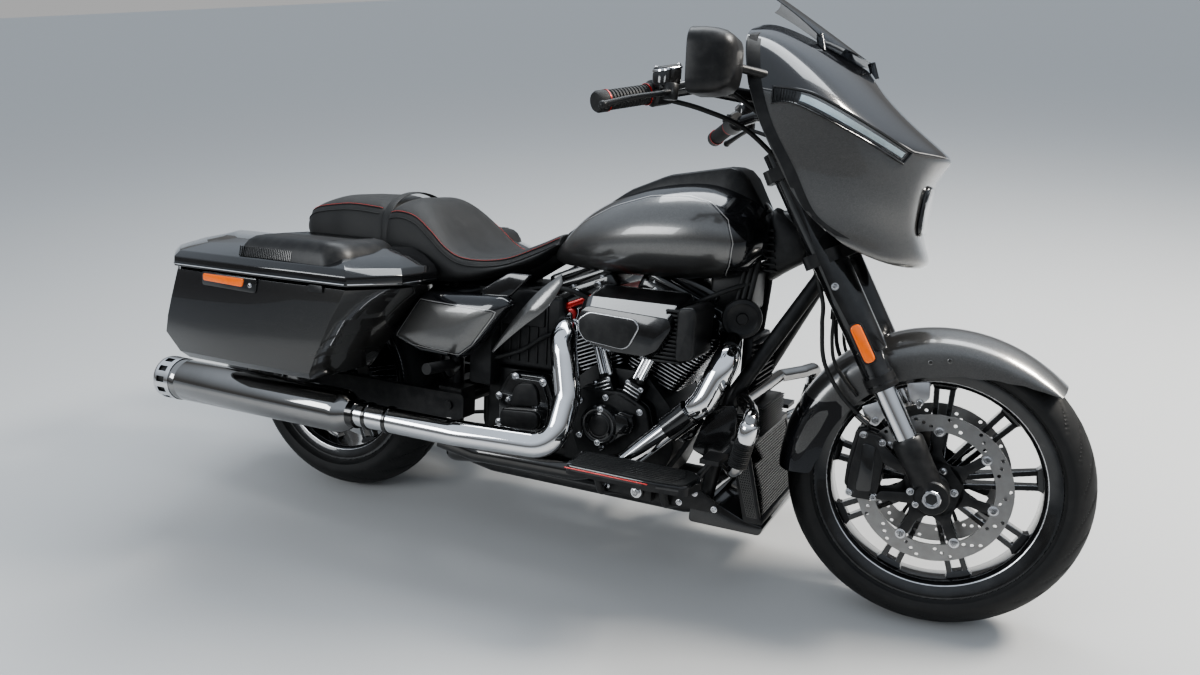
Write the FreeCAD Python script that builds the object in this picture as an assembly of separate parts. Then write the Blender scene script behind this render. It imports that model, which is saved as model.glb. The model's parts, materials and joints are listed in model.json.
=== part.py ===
"""Touring cruiser motorcycle, parked on its side stand.

Every piece is drawn on the upright machine: x runs forward from the rear axle, y to the
rider's left and z up from the ground, in millimetres. The steered pieces are then turned to
the rest angle of the steering, and the whole machine is leaned over on to its side stand.
"""
import FreeCAD, Part
import math
import os

V = FreeCAD.Vector
UP, AHEAD, LEFT = V(0, 0, 1), V(1, 0, 0), V(0, 1, 0)
FULL_TURN = 360.0

# General
seat_gap = 0.3          # between curved pieces that seat on each other
panel_gap = 2.0         # seams round a lid or a door
lean_deg = 12.0         # on the side stand
steer_rest_deg = 4.5    # turned a little to the left
steer_lock_deg = 30.0   # from straight ahead, each way

# Wheels
wheelbase = 1625.0
front_tyre_half_width = 64.0
front_crown_radius = 68.0
front_rim_seat_radius = 241.3
front_tyre_section = 78.0
front_tyre_radius = front_rim_seat_radius + front_tyre_section
front_rim_half_width = 50.0
rear_tyre_half_width = 88.0
rear_crown_radius = 100.0
rear_rim_seat_radius = 228.6
rear_tyre_section = 99.0
rear_tyre_radius = rear_rim_seat_radius + rear_tyre_section
rear_rim_half_width = 71.0
rim_flange_height = 13.0
rim_flange_width = 6.0
rim_depth = 24.0
spoke_pairs = 9
spoke_width = 13.0
spoke_depth = 26.0
spoke_gap = 30.0        # between the two spokes of a pair, at the rim
hub_radius = 40.0
front_hub_half_length = 80.0
rear_hub_half_length = 135.0
axle_radius = 12.5
running_gap = 0.05
front_disc_radius = 160.0
front_disc_offset = 68.0
rear_disc_radius = 150.0
rear_disc_offset = 104.0
disc_ring_width = 36.0
disc_thickness = 5.0
disc_arms = 7
disc_hole_radius = 4.0
rear_axle_reach = 184.0
pulley_radius = 151.0
pulley_offset = 118.0
pulley_width = 30.0
pulley_web = 8.0
drive_pulley_radius = 71.0
drive_pulley_x, drive_pulley_z = 575.0, 362.0
belt_thickness = 6.0
belt_gap = 0.6

# Fenders
fender_wall = 3.0
fender_tip_deg = 70.0       # where the curve that tapers the tip has its middle, ahead of straight up
fender_tip_shift = 120.0
fender_tip_room = 115.6
fender_bracket_drop = 49.0   # of the brackets' tops under the crown
front_fender_gap = 18.7     # over the tread
front_fender_side_gap = 20.0
rear_fender_gap = 88.4
front_fender_radius = front_tyre_radius + front_fender_gap
front_fender_half_width = front_tyre_half_width + front_fender_side_gap
rear_fender_radius = rear_tyre_radius + rear_fender_gap

# Steering and fork
rake_deg = 26.0
trail = 170.0
fork_angle_deg = 29.5
stanchion_radius = 23.5
slider_radius = 30.0
slider_top_z = 1005.0
slider_socket = 60.0
lug_radius = 31.0
lug_length = 112.7         # from the axle up
stanchion_show = 99.0      # bright length between the lug and the slider
lug_top_z = front_tyre_radius + lug_length
slider_bottom_z = lug_top_z + stanchion_show
fender_bracket_room = 7.0
fork_half_spacing = front_fender_half_width + fender_bracket_room + lug_radius
head_z = 900.0
head_length = 166.0
head_radius = 32.0
stem_radius = 14.0
clamp_thickness = 28.0
clamp_gap = 1.5
axle_nut_radius = 17.0
axle_nut_length = 8.0

# Engine
crank_x, crank_z = 900.0, 372.0
cylinder_angle_deg = 22.5
barrel_start, barrel_end = 112.0, 285.0
vee_gap = 2.0           # between the two barrels where they meet at the bottom of the vee
head_end, rocker_end = 322.0, 376.0
engine_floor_z = 208.0
case_half_width = 108.0
fin_count = 15
fin_thickness = 3.0
bore_radius = 66.0
tappet_shift = 17.0     # of the tappet blocks ahead of the crankshaft

# Exhaust
muffler_radius = 57.0
muffler_y, muffler_z = 300.0, 316.0
muffler_front_x, muffler_rear_x = 235.0, -345.0
muffler_cone = 40.0
tip_length = 55.0
tip_wall = 4.0
header_radius = 25.0
shield_radius = 32.0

# Luggage
bag_wall = 5.0
bag_inner_y = 190.0
bag_outer_y = 440.0
bag_bottom_z = 415.0
bag_waist_z = 485.0
bag_hip_z = 575.0
bag_top_z = 658.0
lid_lip_z = 684.0
lid_shoulder_z = 700.0
lid_top_z = 738.0
lid_wall = 4.0
lid_overhang = 5.0
lid_gap = 0.6
hinge_radius = 4.0

# Tank, seat and bodywork
cover_inner_y = 166.0
tunnel_half_width = 98.0
tunnel_top_z = 764.0
fairing_wall = 5.0
lamp_half_width = 128.0
lamp_low_z, lamp_high_z = 856.0, 942.0
lamp_depth = 46.0
shield_thickness = 4.0

tail_x = -466.0
plate_bracket_thickness = 6.0
plate_hole_spacing = 146.0
plate_hole_radius = 3.3

# Frame
tube_radius = 17.0
rail_radius = 19.0
backbone_radius = 30.0
rail_half_spacing = 125.0
rail_z = 190.0
post_x, post_half_spacing = 420.0, 80.0
seat_rail_radius = 13.0
seat_rail_half_spacing = 132.0
seat_rail_z = 628.0
rear_fender_half_width = seat_rail_half_spacing - seat_rail_radius - seat_gap
swingarm_inner_y = 146.0
swingarm_thickness = 22.0
pivot_bolt_radius = 12.0
swingarm_pivot_x, swingarm_pivot_z = 455.0, 340.0

# Footboards
footboard_top_z, footboard_thickness = 316.0, 16.0

# Side stand
stand_pivot = V(1010.0, 150.0, 160.0)
stand_ahead, stand_out = 70.0, 176.0   # from the pivot to the foot, seen from above
stand_stowed = V(-0.98, 0.2, 0.0)      # the leg's direction when it is swung up
stand_radius = 11.0
stand_knuckle_radius = 16.0
stand_knuckle_height = 26.0
stand_bolt_radius = 6.0
stand_bracket_radius = 24.0
stand_bracket_thickness = 7.0
stand_foot_radius = 24.0
stand_foot_height = 10.0


# Basic shapes


def rod(start, end, radius):
    return Part.makeCylinder(radius, (end - start).Length, start, end - start)


def block(x, y, z):
    """A box from three (low, high) pairs."""
    return Part.makeBox(x[1] - x[0], y[1] - y[0], z[1] - z[0], V(x[0], y[0], z[0]))


def rounded_wire(points, radius):
    """A closed flat outline whose corners are arcs of one radius, or of one radius each."""
    count = len(points)
    radii = radius if isinstance(radius, (list, tuple)) else [radius] * count
    corners = []
    for i, corner in enumerate(points):
        back, ahead = points[i - 1] - corner, points[(i + 1) % count] - corner
        half = back.getAngle(ahead) / 2
        room = 0.48 * min(back.Length, ahead.Length)
        reach = min(radii[i] / math.tan(half), room)
        inward = (back.normalize() + ahead.normalize()).normalize()
        depth = reach / math.cos(half) - reach * math.tan(half)
        corners.append((corner + back * reach, corner + inward * depth, corner + ahead * reach))
    edges = []
    for i, (start, middle, end) in enumerate(corners):
        edges.append(Part.LineSegment(corners[i - 1][2], start).toShape())
        edges.append(Part.Arc(start, middle, end).toShape())
    return Part.Wire(edges)


def plate(points, radius, along):
    """A flat outline with round corners, pushed out along a vector."""
    return Part.Face(rounded_wire(points, radius)).extrude(along)


def loft(wires, ruled=False):
    return Part.makeLoft(wires, True, ruled)


def tube(points, radius, bend, bore=0.0):
    """A round bar or pipe along straight runs joined by arcs."""
    edges, here = [], points[0]
    for before, corner, after in zip(points, points[1:], points[2:]):
        back, ahead = (before - corner), (after - corner)
        half = back.getAngle(ahead) / 2
        reach = min(bend / math.tan(half), 0.48 * min(back.Length, ahead.Length))
        inward = (back.normalize() + ahead.normalize()).normalize()
        depth = reach / math.cos(half) - reach * math.tan(half)
        start, end = corner + back * reach, corner + ahead * reach
        edges.append(Part.LineSegment(here, start).toShape())
        edges.append(Part.Arc(start, corner + inward * depth, end).toShape())
        here = end
    edges.append(Part.LineSegment(here, points[-1]).toShape())
    path, along = Part.Wire(edges), points[1] - points[0]

    def swept(size):
        ring = Part.Wire(Part.makeCircle(size, points[0], along))
        return path.makePipeShell([ring], True, False)

    return swept(radius).cut(swept(bore)) if bore else swept(radius)


def both_sides(shape):
    """The shape and its mirror image across the middle plane, as two solids."""
    return Part.makeCompound([shape, shape.mirror(V(0, 0, 0), LEFT)])


def joined(pieces):
    """The pieces as one solid, with the seams between flush faces taken out where that is sound."""
    fused = pieces[0].multiFuse(pieces[1:])
    clean = fused.removeSplitter()
    return clean if clean.isValid() else fused


def about(shape, centre, axis, angle):
    turned = shape.copy()
    turned.rotate(centre, axis, angle)
    return turned


# Places on the steering geometry


def axis_point(z):
    """The point of the steering axis at a height."""
    return V(wheelbase + trail - z * math.tan(math.radians(rake_deg)), 0, z)


def fork_point(z, side=1, out=0.0):
    """The point of a fork leg's middle line at a height. side is 1 on the left and -1 on the right."""
    run = (z - front_tyre_radius) * math.tan(math.radians(fork_angle_deg))
    return V(wheelbase - run, side * (fork_half_spacing + out), z)


front_axle = V(wheelbase, 0, front_tyre_radius)
rear_axle = V(0, 0, rear_tyre_radius)
steer_axis = V(-math.sin(math.radians(rake_deg)), 0, math.cos(math.radians(rake_deg)))


# Wheels


def spin(profile, centre):
    """A closed outline of (y, radius) points and arcs, turned round a wheel's axis."""
    face = Part.Face(Part.Wire(profile))
    solid = face.revolve(V(0, 0, 0), LEFT, FULL_TURN)
    solid.translate(centre)
    return solid


def line(a, b):
    return Part.LineSegment(V(0, a[0], a[1]), V(0, b[0], b[1])).toShape()


def arc(a, b, c):
    return Part.Arc(*(V(0, p[0], p[1]) for p in (a, b, c))).toShape()


def outline(points):
    """Straight lines round (y, radius) points."""
    return [line(a, b) for a, b in zip(points, points[1:] + points[:1])]


def tyre(centre, radius, half_width, crown, seat_radius, rim_half_width):
    shoulder = radius - crown + math.sqrt(crown ** 2 - half_width ** 2)
    bead = rim_half_width - rim_flange_width - seat_gap
    lip = seat_radius + rim_flange_height + 7.0
    bulge = (half_width + 1.0, shoulder - 14.0)
    seat = seat_radius + seat_gap
    return spin(
        [
            arc((-half_width, shoulder), (0, radius), (half_width, shoulder)),
            arc((half_width, shoulder), bulge, (bead, lip)),
            line((bead, lip), (bead, seat)),
            line((bead, seat), (-bead, seat)),
            line((-bead, seat), (-bead, lip)),
            arc((-bead, lip), (-bulge[0], bulge[1]), (-half_width, shoulder)),
        ],
        centre,
    )


def rim_ring(centre, seat_radius, half_width):
    flange, lip = seat_radius + rim_flange_height, half_width - rim_flange_width
    floor = seat_radius - rim_depth
    side = [
        (half_width, flange), (half_width, floor + 8.0), (half_width - 16.0, floor),
    ]
    mirrored = [(-y, r) for y, r in reversed(side)]
    well = [(-lip, flange), (-lip, seat_radius), (-lip + 14.0, seat_radius), (-lip + 20.0, floor + 7.0),
            (lip - 20.0, floor + 7.0), (lip - 14.0, seat_radius), (lip, seat_radius), (lip, flange)]
    return spin(outline(side + mirrored + well), centre)


def spoke_pair(centre, reach, half_depth_in):
    """Two slim spokes from the hub that end in one foot on the rim, standing up from the centre."""
    foot_height = 12.0
    half = spoke_depth / 2
    arms = []
    for side in (-1, 1):
        near, far = side * spoke_gap * 0.3, side * spoke_gap / 2
        face = Part.Face(Part.makePolygon([
            V(near - spoke_width / 2, -half_depth_in, hub_radius - 6), V(near + spoke_width / 2, -half_depth_in, hub_radius - 6),
            V(near + spoke_width / 2, half_depth_in, hub_radius - 6), V(near - spoke_width / 2, half_depth_in, hub_radius - 6),
            V(near - spoke_width / 2, -half_depth_in, hub_radius - 6)]))
        top = Part.Face(Part.makePolygon([
            V(far - spoke_width / 2, -half, reach - foot_height + 1), V(far + spoke_width / 2, -half, reach - foot_height + 1),
            V(far + spoke_width / 2, half, reach - foot_height + 1), V(far - spoke_width / 2, half, reach - foot_height + 1),
            V(far - spoke_width / 2, -half, reach - foot_height + 1)]))
        arms.append(loft([face.OuterWire, top.OuterWire], True))
    wide = spoke_gap / 2 + spoke_width + 3.0
    foot = block((-wide, wide), (-half - 2, half + 2), (reach - foot_height, reach + 5.0))
    pair = arms + [foot]
    for piece in pair:
        piece.translate(centre)
    return pair


def wheel(centre, seat_radius, rim_half_width, hub_half_length, extra=()):
    """A cast wheel: rim, hub and pairs of slim spokes, bored for its axle."""
    pieces = [rim_ring(centre, seat_radius, rim_half_width)]
    wide, step = rim_half_width * 0.6, hub_radius - 8
    pieces.append(spin(outline([(-hub_half_length, 0), (hub_half_length, 0), (hub_half_length, step), (wide + 10, step),
                                (wide, hub_radius), (-wide, hub_radius), (-wide - 10, step), (-hub_half_length, step)]), centre))
    for n in range(spoke_pairs):
        for piece in spoke_pair(centre, seat_radius - rim_depth, rim_half_width * 0.55):
            pieces.append(about(piece, centre, LEFT, n * FULL_TURN / spoke_pairs))
    pieces += extra
    bored = rod(centre + LEFT * -200, centre + LEFT * 200, axle_radius + running_gap)
    return joined(pieces).cut(bored)


def brake_disc(centre, y, radius, carrier_inner, hole_rows):
    """A drilled ring on a spider of arms."""
    inner = radius - disc_ring_width
    middle = centre + LEFT * y
    back = middle - LEFT * (disc_thickness / 2)

    def slab(outer, hole, thickness, start):
        body = Part.makeCylinder(outer, thickness, start, LEFT)
        return body.cut(Part.makeCylinder(hole, thickness, start, LEFT)) if hole else body

    ring = slab(radius, inner, disc_thickness, back)
    pieces = [ring, slab(carrier_inner + 22, carrier_inner, disc_thickness, back)]
    for n in range(disc_arms):
        arm = block((-9, 9), (y - disc_thickness / 2, y + disc_thickness / 2), (carrier_inner + 10, inner + 6))
        lobe = Part.makeCylinder(13, disc_thickness, V(0, y - disc_thickness / 2, inner + 2), LEFT)
        for piece in (arm, lobe):
            piece.translate(centre)
            pieces.append(about(piece, centre, LEFT, n * FULL_TURN / disc_arms))
    holes = []
    for row, hole_at in enumerate(hole_rows):
        hole = Part.makeCylinder(disc_hole_radius, disc_thickness, V(0, y - disc_thickness / 2, radius - hole_at), LEFT)
        hole.translate(centre)
        for n in range(disc_arms * 2):
            holes.append(about(hole, centre, LEFT, (n + 0.25 + 0.22 * row) * FULL_TURN / (2 * disc_arms)))
    return joined(pieces).cut(Part.makeCompound(holes))


def front_discs():
    rows = (8.0, 17.0, 26.0)
    return Part.makeCompound([
        brake_disc(front_axle, side * front_disc_offset, front_disc_radius, hub_radius - 8 + seat_gap, rows)
        for side in (1, -1)
    ])


def rear_disc():
    return brake_disc(rear_axle, -rear_disc_offset, rear_disc_radius, hub_radius - 8 + seat_gap, (8.0, 20.0))


def rear_pulley():
    """The toothed belt pulley, with lightening holes in its web."""
    low, high = pulley_offset - pulley_width / 2, pulley_offset + pulley_width / 2
    boss, web = hub_radius - 8 + seat_gap, pulley_web / 2
    body = spin(outline([
        (low, pulley_radius), (high, pulley_radius), (high, pulley_radius - 14), (pulley_offset + web, pulley_radius - 18),
        (pulley_offset + web, boss + 16), (high, boss + 12), (high, boss), (low, boss), (low, boss + 12),
        (pulley_offset - web, boss + 16), (pulley_offset - web, pulley_radius - 18), (low, pulley_radius - 14)]), rear_axle)
    holes = []
    for n in range(disc_arms):
        hole = Part.makeCylinder(22, pulley_width, V(0, low, 92), LEFT)
        hole.translate(rear_axle)
        holes.append(about(hole, rear_axle, LEFT, n * FULL_TURN / disc_arms))
    return body.cut(Part.makeCompound(holes))


# Fork and steering


def fork_sliders():
    """The two black outer tubes of the upside-down fork, socketed for the stanchions."""
    bottom, top = fork_point(slider_bottom_z), fork_point(slider_top_z)
    along = (top - bottom).normalize()
    body = rod(bottom, top, slider_radius)
    collar = rod(bottom, bottom + along * 34, slider_radius + 3)
    socket = rod(bottom, bottom + along * slider_socket, stanchion_radius + seat_gap)
    return both_sides(joined([body, collar]).cut(socket))


def fork_stanchions():
    bottom, top = fork_point(lug_top_z), fork_point(slider_bottom_z)
    along = (top - bottom).normalize()
    return both_sides(rod(bottom, top + along * (slider_socket - 2), stanchion_radius))


def fork_lugs():
    """The lower legs with the wheel axle through them."""
    legs = []
    for side in (1, -1):
        foot, top = fork_point(front_tyre_radius, side), fork_point(lug_top_z, side)
        legs.append(rod(foot, top, lug_radius))
        legs.append(Part.makeCylinder(lug_radius + 2, 2 * lug_radius - 6, foot - LEFT * (lug_radius - 3), LEFT))
    reach = fork_half_spacing + lug_radius + axle_nut_length
    legs.append(rod(front_axle - LEFT * reach, front_axle + LEFT * reach, axle_nut_radius))
    keep = fork_half_spacing - lug_radius + 3
    body = joined(legs[:4])
    axle = rod(front_axle - LEFT * reach, front_axle + LEFT * reach, axle_radius)
    nuts = [rod(front_axle + LEFT * side * keep, front_axle + LEFT * side * reach, axle_nut_radius) for side in (1, -1)]
    return joined([body, axle] + nuts)


def clamp_outline(z, thickness):
    """A fork yoke square to the steering axis, centred on the axis at a height."""
    centre = axis_point(z)
    across = steer_axis.cross(LEFT).normalize() * -1
    back = (fork_point(z) - centre).dot(across)
    ring = [(34, 50), (back + 38, 162), (back - 40, 162), (back - 40, 116), (back - 24, 90), (-30, 56)]
    ring = ring + [(a, -b) for a, b in reversed(ring)]
    start = centre - steer_axis * (thickness / 2)
    return plate([start + across * a + LEFT * b for a, b in ring], 14, steer_axis * thickness)


def head_end_point(end):
    """An end of the head tube, on the steering axis. end is -1 at the bottom and 1 at the top."""
    return axis_point(head_z) + steer_axis * (end * head_length / 2)


def triple_clamps():
    """Both yokes and the steering stem, bored for the fork tubes."""
    pieces = []
    for end in (-1, 1):
        middle = head_end_point(end) + steer_axis * (end * (clamp_gap + clamp_thickness / 2))
        pieces.append(clamp_outline(middle.z, clamp_thickness))
    low = head_end_point(-1) - steer_axis * (clamp_gap + clamp_thickness + 6)
    high = head_end_point(1) + steer_axis * (clamp_gap + clamp_thickness + 10)
    pieces.append(rod(low, high, stem_radius))
    body = joined(pieces)
    for side in (1, -1):
        body = body.cut(rod(fork_point(slider_bottom_z, side), fork_point(slider_top_z + 40, side), slider_radius))
    return body


def fork_covers():
    """Painted deflector panels on the front of the fork tubes."""
    along = (fork_point(slider_top_z) - fork_point(slider_bottom_z)).normalize()
    ahead = along.cross(LEFT) * -1
    base = fork_point(slider_bottom_z + 92)
    shape = [(0, slider_radius + 4), (90, slider_radius + 30), (215, slider_radius + 22), (282, slider_radius + 4)]
    points = [base + along * s + ahead * t for s, t in shape]
    panel = plate([p - LEFT * 9 for p in points], 8, LEFT * 22)
    strap = rod(base + along * 120, base + along * 150, slider_radius + 6)
    strap = strap.cut(rod(base + along * 120, base + along * 150, slider_radius + seat_gap))
    return both_sides(joined([panel, strap]))


def fender_profile(half, radius, crown, edge):
    """A fender's cross-section as (y, radius) edges: a crowned top and straight sides down to an edge."""
    inner, side, foot = half - fender_wall, radius - crown, radius - edge
    return [
        arc((-half, side), (0, radius), (half, side)),
        line((half, side), (half, foot)),
        line((half, foot), (inner, foot)),
        line((inner, foot), (inner, side - fender_wall)),
        arc((inner, side - fender_wall), (0, radius - fender_wall), (-inner, side - fender_wall)),
        line((-inner, side - fender_wall), (-inner, foot)),
        line((-inner, foot), (-half, foot)),
        line((-half, foot), (-half, side)),
    ]


def fender_sweep(profile, centre, front_deg, sweep_deg):
    """A profile turned round a wheel's axis, from an angle ahead of the top towards the back."""
    face = Part.Face(Part.Wire(profile))
    face.rotate(V(0, 0, 0), LEFT, front_deg)
    body = face.revolve(V(0, 0, 0), LEFT, -sweep_deg)
    body.translate(centre)
    return body


def front_fender():
    """A deep fender over the tyre, tapered at its front tip, with a bracket to each fork leg."""
    half = front_fender_half_width
    body = fender_sweep(fender_profile(half, front_fender_radius, 34.0, 66.0), front_axle, 44.0, 136.0)
    tilt = math.radians(fender_tip_deg)
    scoop = front_axle + V(math.sin(tilt), 0, math.cos(tilt)) * fender_tip_shift
    reach = front_fender_radius - fender_tip_room
    body = body.cut(rod(scoop - LEFT * (half + 9), scoop + LEFT * (half + 9), reach))
    outer = fork_half_spacing - lug_radius - seat_gap
    along = (fork_point(slider_top_z) - fork_point(slider_bottom_z)).normalize()
    across = along.cross(LEFT) * -1
    brackets = []
    for side in (1, -1):
        start = side * (half - fender_wall / 2)
        push = LEFT * (side * outer - start)
        low = front_axle + along * (lug_length * 0.74)
        high = front_axle + along * (front_fender_radius - fender_bracket_drop)
        ring = [V(p.x, start, p.z) for p in (low - across * 20, low + across * 20, high + across * 46, high - across * 46)]
        brackets.append(plate(ring, 12, push))
    return joined([body] + brackets)


def front_calipers():
    """Radial calipers behind the fork legs, slotted over the discs."""
    bodies = []
    for side in (1, -1):
        y = side * front_disc_offset
        centre = front_axle + LEFT * y
        shape = [V(-168, 0, 78), V(-120, 0, 118), V(-84, 0, 84), V(-104, 0, -8), V(-150, 0, -18), V(-172, 0, 20)]
        width = 58.0
        body = plate([p + centre - LEFT * width / 2 for p in shape], 12, LEFT * width)
        slot = Part.makeCylinder(front_disc_radius + 6, disc_thickness + 5, centre - LEFT * (disc_thickness + 5) / 2, LEFT)
        body = body.cut(slot)
        bridge = plate([p + centre - LEFT * width / 2 for p in (V(-186, 0, 74), V(-160, 0, 92), V(-160, 0, 0), V(-186, 0, 6))],
                       6, LEFT * width)
        foot = fork_point(front_tyre_radius + 40, side)
        arm_y = (y + 8, foot.y - 14) if side > 0 else (foot.y + 14, y - 8)
        arm = block((foot.x - 92, foot.x - 8), arm_y, (foot.z - 24, foot.z + 14))
        lug = rod(fork_point(front_tyre_radius, side), fork_point(lug_top_z, side), lug_radius + seat_gap)
        bodies.append(joined([body, bridge, arm]).cut(lug))
    return Part.makeCompound(bodies)


# Handlebar and controls

bar_radius = 15.0
# x from the front axle
bar_points = [(-373, 0, 1066), (-375, 84, 1066), (-420, 205, 1104), (-527, 288, 1116), (-595, 324, 1098), (-673, 438, 1066)]


def bar_point(n, side=1):
    x, y, z = bar_points[n]
    return V(wheelbase + x, side * y, z)


def handlebar():
    points = [bar_point(n, -1) for n in range(5, 0, -1)] + [bar_point(n) for n in range(1, 6)]
    pieces = [tube(points, bar_radius, 42)]
    base = head_end_point(1) + steer_axis * (clamp_gap + clamp_thickness / 2)
    for side in (1, -1):
        pieces.append(rod(base + V(-8, side * 46, 0), V(bar_point(1).x, side * 46, bar_point(1).z), 17))
    return joined(pieces)


def grip_axis(side):
    start, end = bar_point(4, side), bar_point(5, side)
    return start, (end - start).normalize(), (end - start).Length


def hand_grips():
    grips = []
    for side in (1, -1):
        start, along, length = grip_axis(side)
        body = rod(start + along * 22, start + along * (length - 1), 18.5)
        end = rod(start + along * (length - 12), start + along * (length + 8), 19.5)
        hole = rod(start, start + along * length, bar_radius + seat_gap)
        grips.append(joined([body, end]).cut(hole))
    return Part.makeCompound(grips)


def hand_controls():
    """Switch housings, fluid reservoirs and the brake and clutch levers."""
    pieces = []
    for side in (1, -1):
        start, along, length = grip_axis(side)
        out = V(along.y * side, -along.x * side, 0).normalize()
        ahead = out if out.x > 0 else out * -1
        housing = rod(start - along * 26, start + along * 21, 27)
        tank = rod(start + UP * 12 + ahead * 22, start + UP * 46 + ahead * 22, 26)
        pivot = start + ahead * 44 + along * 2
        mount = rod(start + ahead * 14, pivot, 13)
        lever = tube([pivot, pivot + along * 46 + ahead * 12, pivot + along * 158 - ahead * 2 - UP * 6], 6.5, 30)
        tip = Part.makeSphere(9, pivot + along * 158 - ahead * 2 - UP * 6)
        hole = tube([bar_point(3, side), bar_point(4, side), bar_point(5, side)], bar_radius, 42)
        pieces.append(joined([housing, tank, mount, lever, tip]).cut(hole))
    return Part.makeCompound(pieces)


# Fairing

# Six points from the rear edge of the right side to the nose in each row: x from the front axle, y, z
fairing_rows = (
    ((-429, -240, 1240), (-397, -208, 1253), (-335, -152, 1233), (-280, -96, 1209), (-240, -45, 1192), (-223, 0, 1185)),
    ((-428, -322, 1214), (-370, -292, 1212), (-285, -214, 1187), (-233, -142, 1164), (-197, -66, 1143), (-185, 0, 1135)),
    ((-421, -339, 1165), (-335, -326, 1151), (-235, -258, 1119), (-167, -172, 1093), (-129, -82, 1077), (-118, 0, 1072)),
    ((-411, -343, 1117), (-315, -338, 1101), (-195, -292, 1056), (-108, -210, 1016), (-52, -106, 1011), (-31, 0, 1012)),
    ((-406, -343, 1104), (-309, -337, 1086), (-191, -289, 1041), (-108, -211, 1001), (-55, -108, 999), (-35, 0, 1001)),
    ((-385, -339, 1045), (-293, -327, 1028), (-183, -274, 985), (-115, -206, 962), (-79, -158, 950), (-73, 0, 952)),
    ((-341, -327, 968), (-253, -308, 950), (-165, -254, 920), (-113, -198, 905), (-85, -152, 902), (-85, 0, 902)),
    ((-296, -304, 884), (-223, -276, 868), (-159, -228, 852), (-113, -184, 846), (-87, -146, 846), (-87, 0, 846)),
    ((-225, -274, 836), (-173, -244, 812), (-125, -200, 797), (-89, -152, 792), (-63, -104, 790), (-55, 0, 790)),
    ((-221, -264, 828), (-173, -234, 805), (-129, -192, 790), (-97, -146, 785), (-75, -100, 783), (-69, 0, 783)),
)


def fairing_line(row):
    """The points of a row from its right end round the nose to its left end."""
    right = [V(wheelbase + x, y, z) for x, y, z in row]
    return right + [V(p.x, -p.y, p.z) for p in reversed(right[:-1])]


def fairing_grid(inset):
    """The points of the fairing's skin, moved inwards square to it."""
    rows = [fairing_line(row) for row in fairing_rows]
    grid = []
    for i, row in enumerate(rows):
        above, below = rows[max(i - 1, 0)], rows[min(i + 1, len(rows) - 1)]
        moved = []
        for j, point in enumerate(row):
            across = row[min(j + 1, len(row) - 1)] - row[max(j - 1, 0)]
            inward = across.cross(below[j] - above[j]).normalize()
            moved.append(point + inward * inset)
        grid.append(moved)
    return grid


def smooth_edge(points):
    curve = Part.BSplineCurve()
    curve.interpolate(points)
    return curve.toShape()


def straight_edge(a, b):
    return Part.LineSegment(a, b).toShape()


def sewn(faces):
    shell = Part.makeShell(faces)
    shell.sewShape()
    solid = Part.Solid(shell)
    if solid.Volume < 0:
        solid.reverse()
    return solid


def bands(edges):
    return [Part.makeRuledSurface(a, b) for a, b in zip(edges, edges[1:])]


def fairing_body(inset, count=len(fairing_rows)):
    """What the fairing's skin encloses down to a row, closed across its open back, top and bottom."""
    grid = fairing_grid(inset)[:count]
    edges = [smooth_edge(row) for row in grid]
    backs = [straight_edge(row[0], row[-1]) for row in grid]
    faces = bands(edges) + bands(backs)
    for n in (0, -1):
        faces.append(Part.makeRuledSurface(edges[n], backs[n]))
    return sewn(faces)


def fairing_outer():
    """The fork-mounted fairing shell, open at the back, top and bottom, with the opening for the headlamp."""
    outer, inner = fairing_grid(0.0), fairing_grid(fairing_wall)
    outer_edges, inner_edges = [smooth_edge(row) for row in outer], [smooth_edge(row) for row in inner]
    faces = bands(outer_edges) + bands(inner_edges)
    for n in (0, -1):
        faces.append(Part.makeRuledSurface(outer_edges[n], inner_edges[n]))
        rims = [straight_edge(a[n], b[n]) for a, b in zip(outer, inner)]
        faces += bands(rims)
    return sewn(faces).cut(lamp_window(0.0))


def lamp_window(gap):
    """The opening for the headlamp in the nose, or what fits in it with a gap all round."""
    half = lamp_half_width - gap
    return block((wheelbase - 300, wheelbase + 60), (-half, half), (lamp_low_z + gap, lamp_high_z - gap))


def headlamp():
    """The wide headlamp unit, set in the nose and flush with it."""
    nose_x = wheelbase + fairing_rows[6][-1][0]
    behind = block((wheelbase - 700, nose_x - lamp_depth), (-400, 400), (700, 1100))
    return fairing_body(0.0).common(lamp_window(seat_gap)).cut(behind)


def fairing_inner():
    """The panel that closes the back of the fairing and carries the instruments, with its struts."""
    rear = [V(wheelbase + row[0][0] + 6, -400, row[0][2] + (12 if n == 0 else 0)) for n, row in enumerate(fairing_rows[:6])]
    ahead = [p + AHEAD * 14 for p in reversed(rear)]
    panel = Part.Face(Part.makePolygon(rear + ahead + rear[:1])).extrude(LEFT * 800).common(fairing_body(fairing_wall, 7))
    face = wheelbase - 411
    binnacle = plate([V(face, -172, 1120), V(face, 172, 1120), V(face, 160, 1236), V(face, -160, 1236)], 18, AHEAD * -26)
    struts = []
    top = head_end_point(1) + steer_axis * (clamp_gap + clamp_thickness / 2)
    for side in (1, -1):
        struts.append(rod(top + V(16, side * 88, 0), V(wheelbase - 388, side * 120, 1084), 9))
    bar = tube([bar_point(n, -1) for n in range(5, 0, -1)] + [bar_point(n) for n in range(1, 6)], bar_radius + 6, 42)
    return joined([panel, binnacle] + struts).cut(bar)


# z in the middle and at the sides, x of the middle and of the sides from the front axle, half width
shield_rows = (
    (1202, 1228, -222, -306, 160),
    (1270, 1286, -322, -378, 166),
    (1345, 1345, -435, -475, 158),
)


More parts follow.
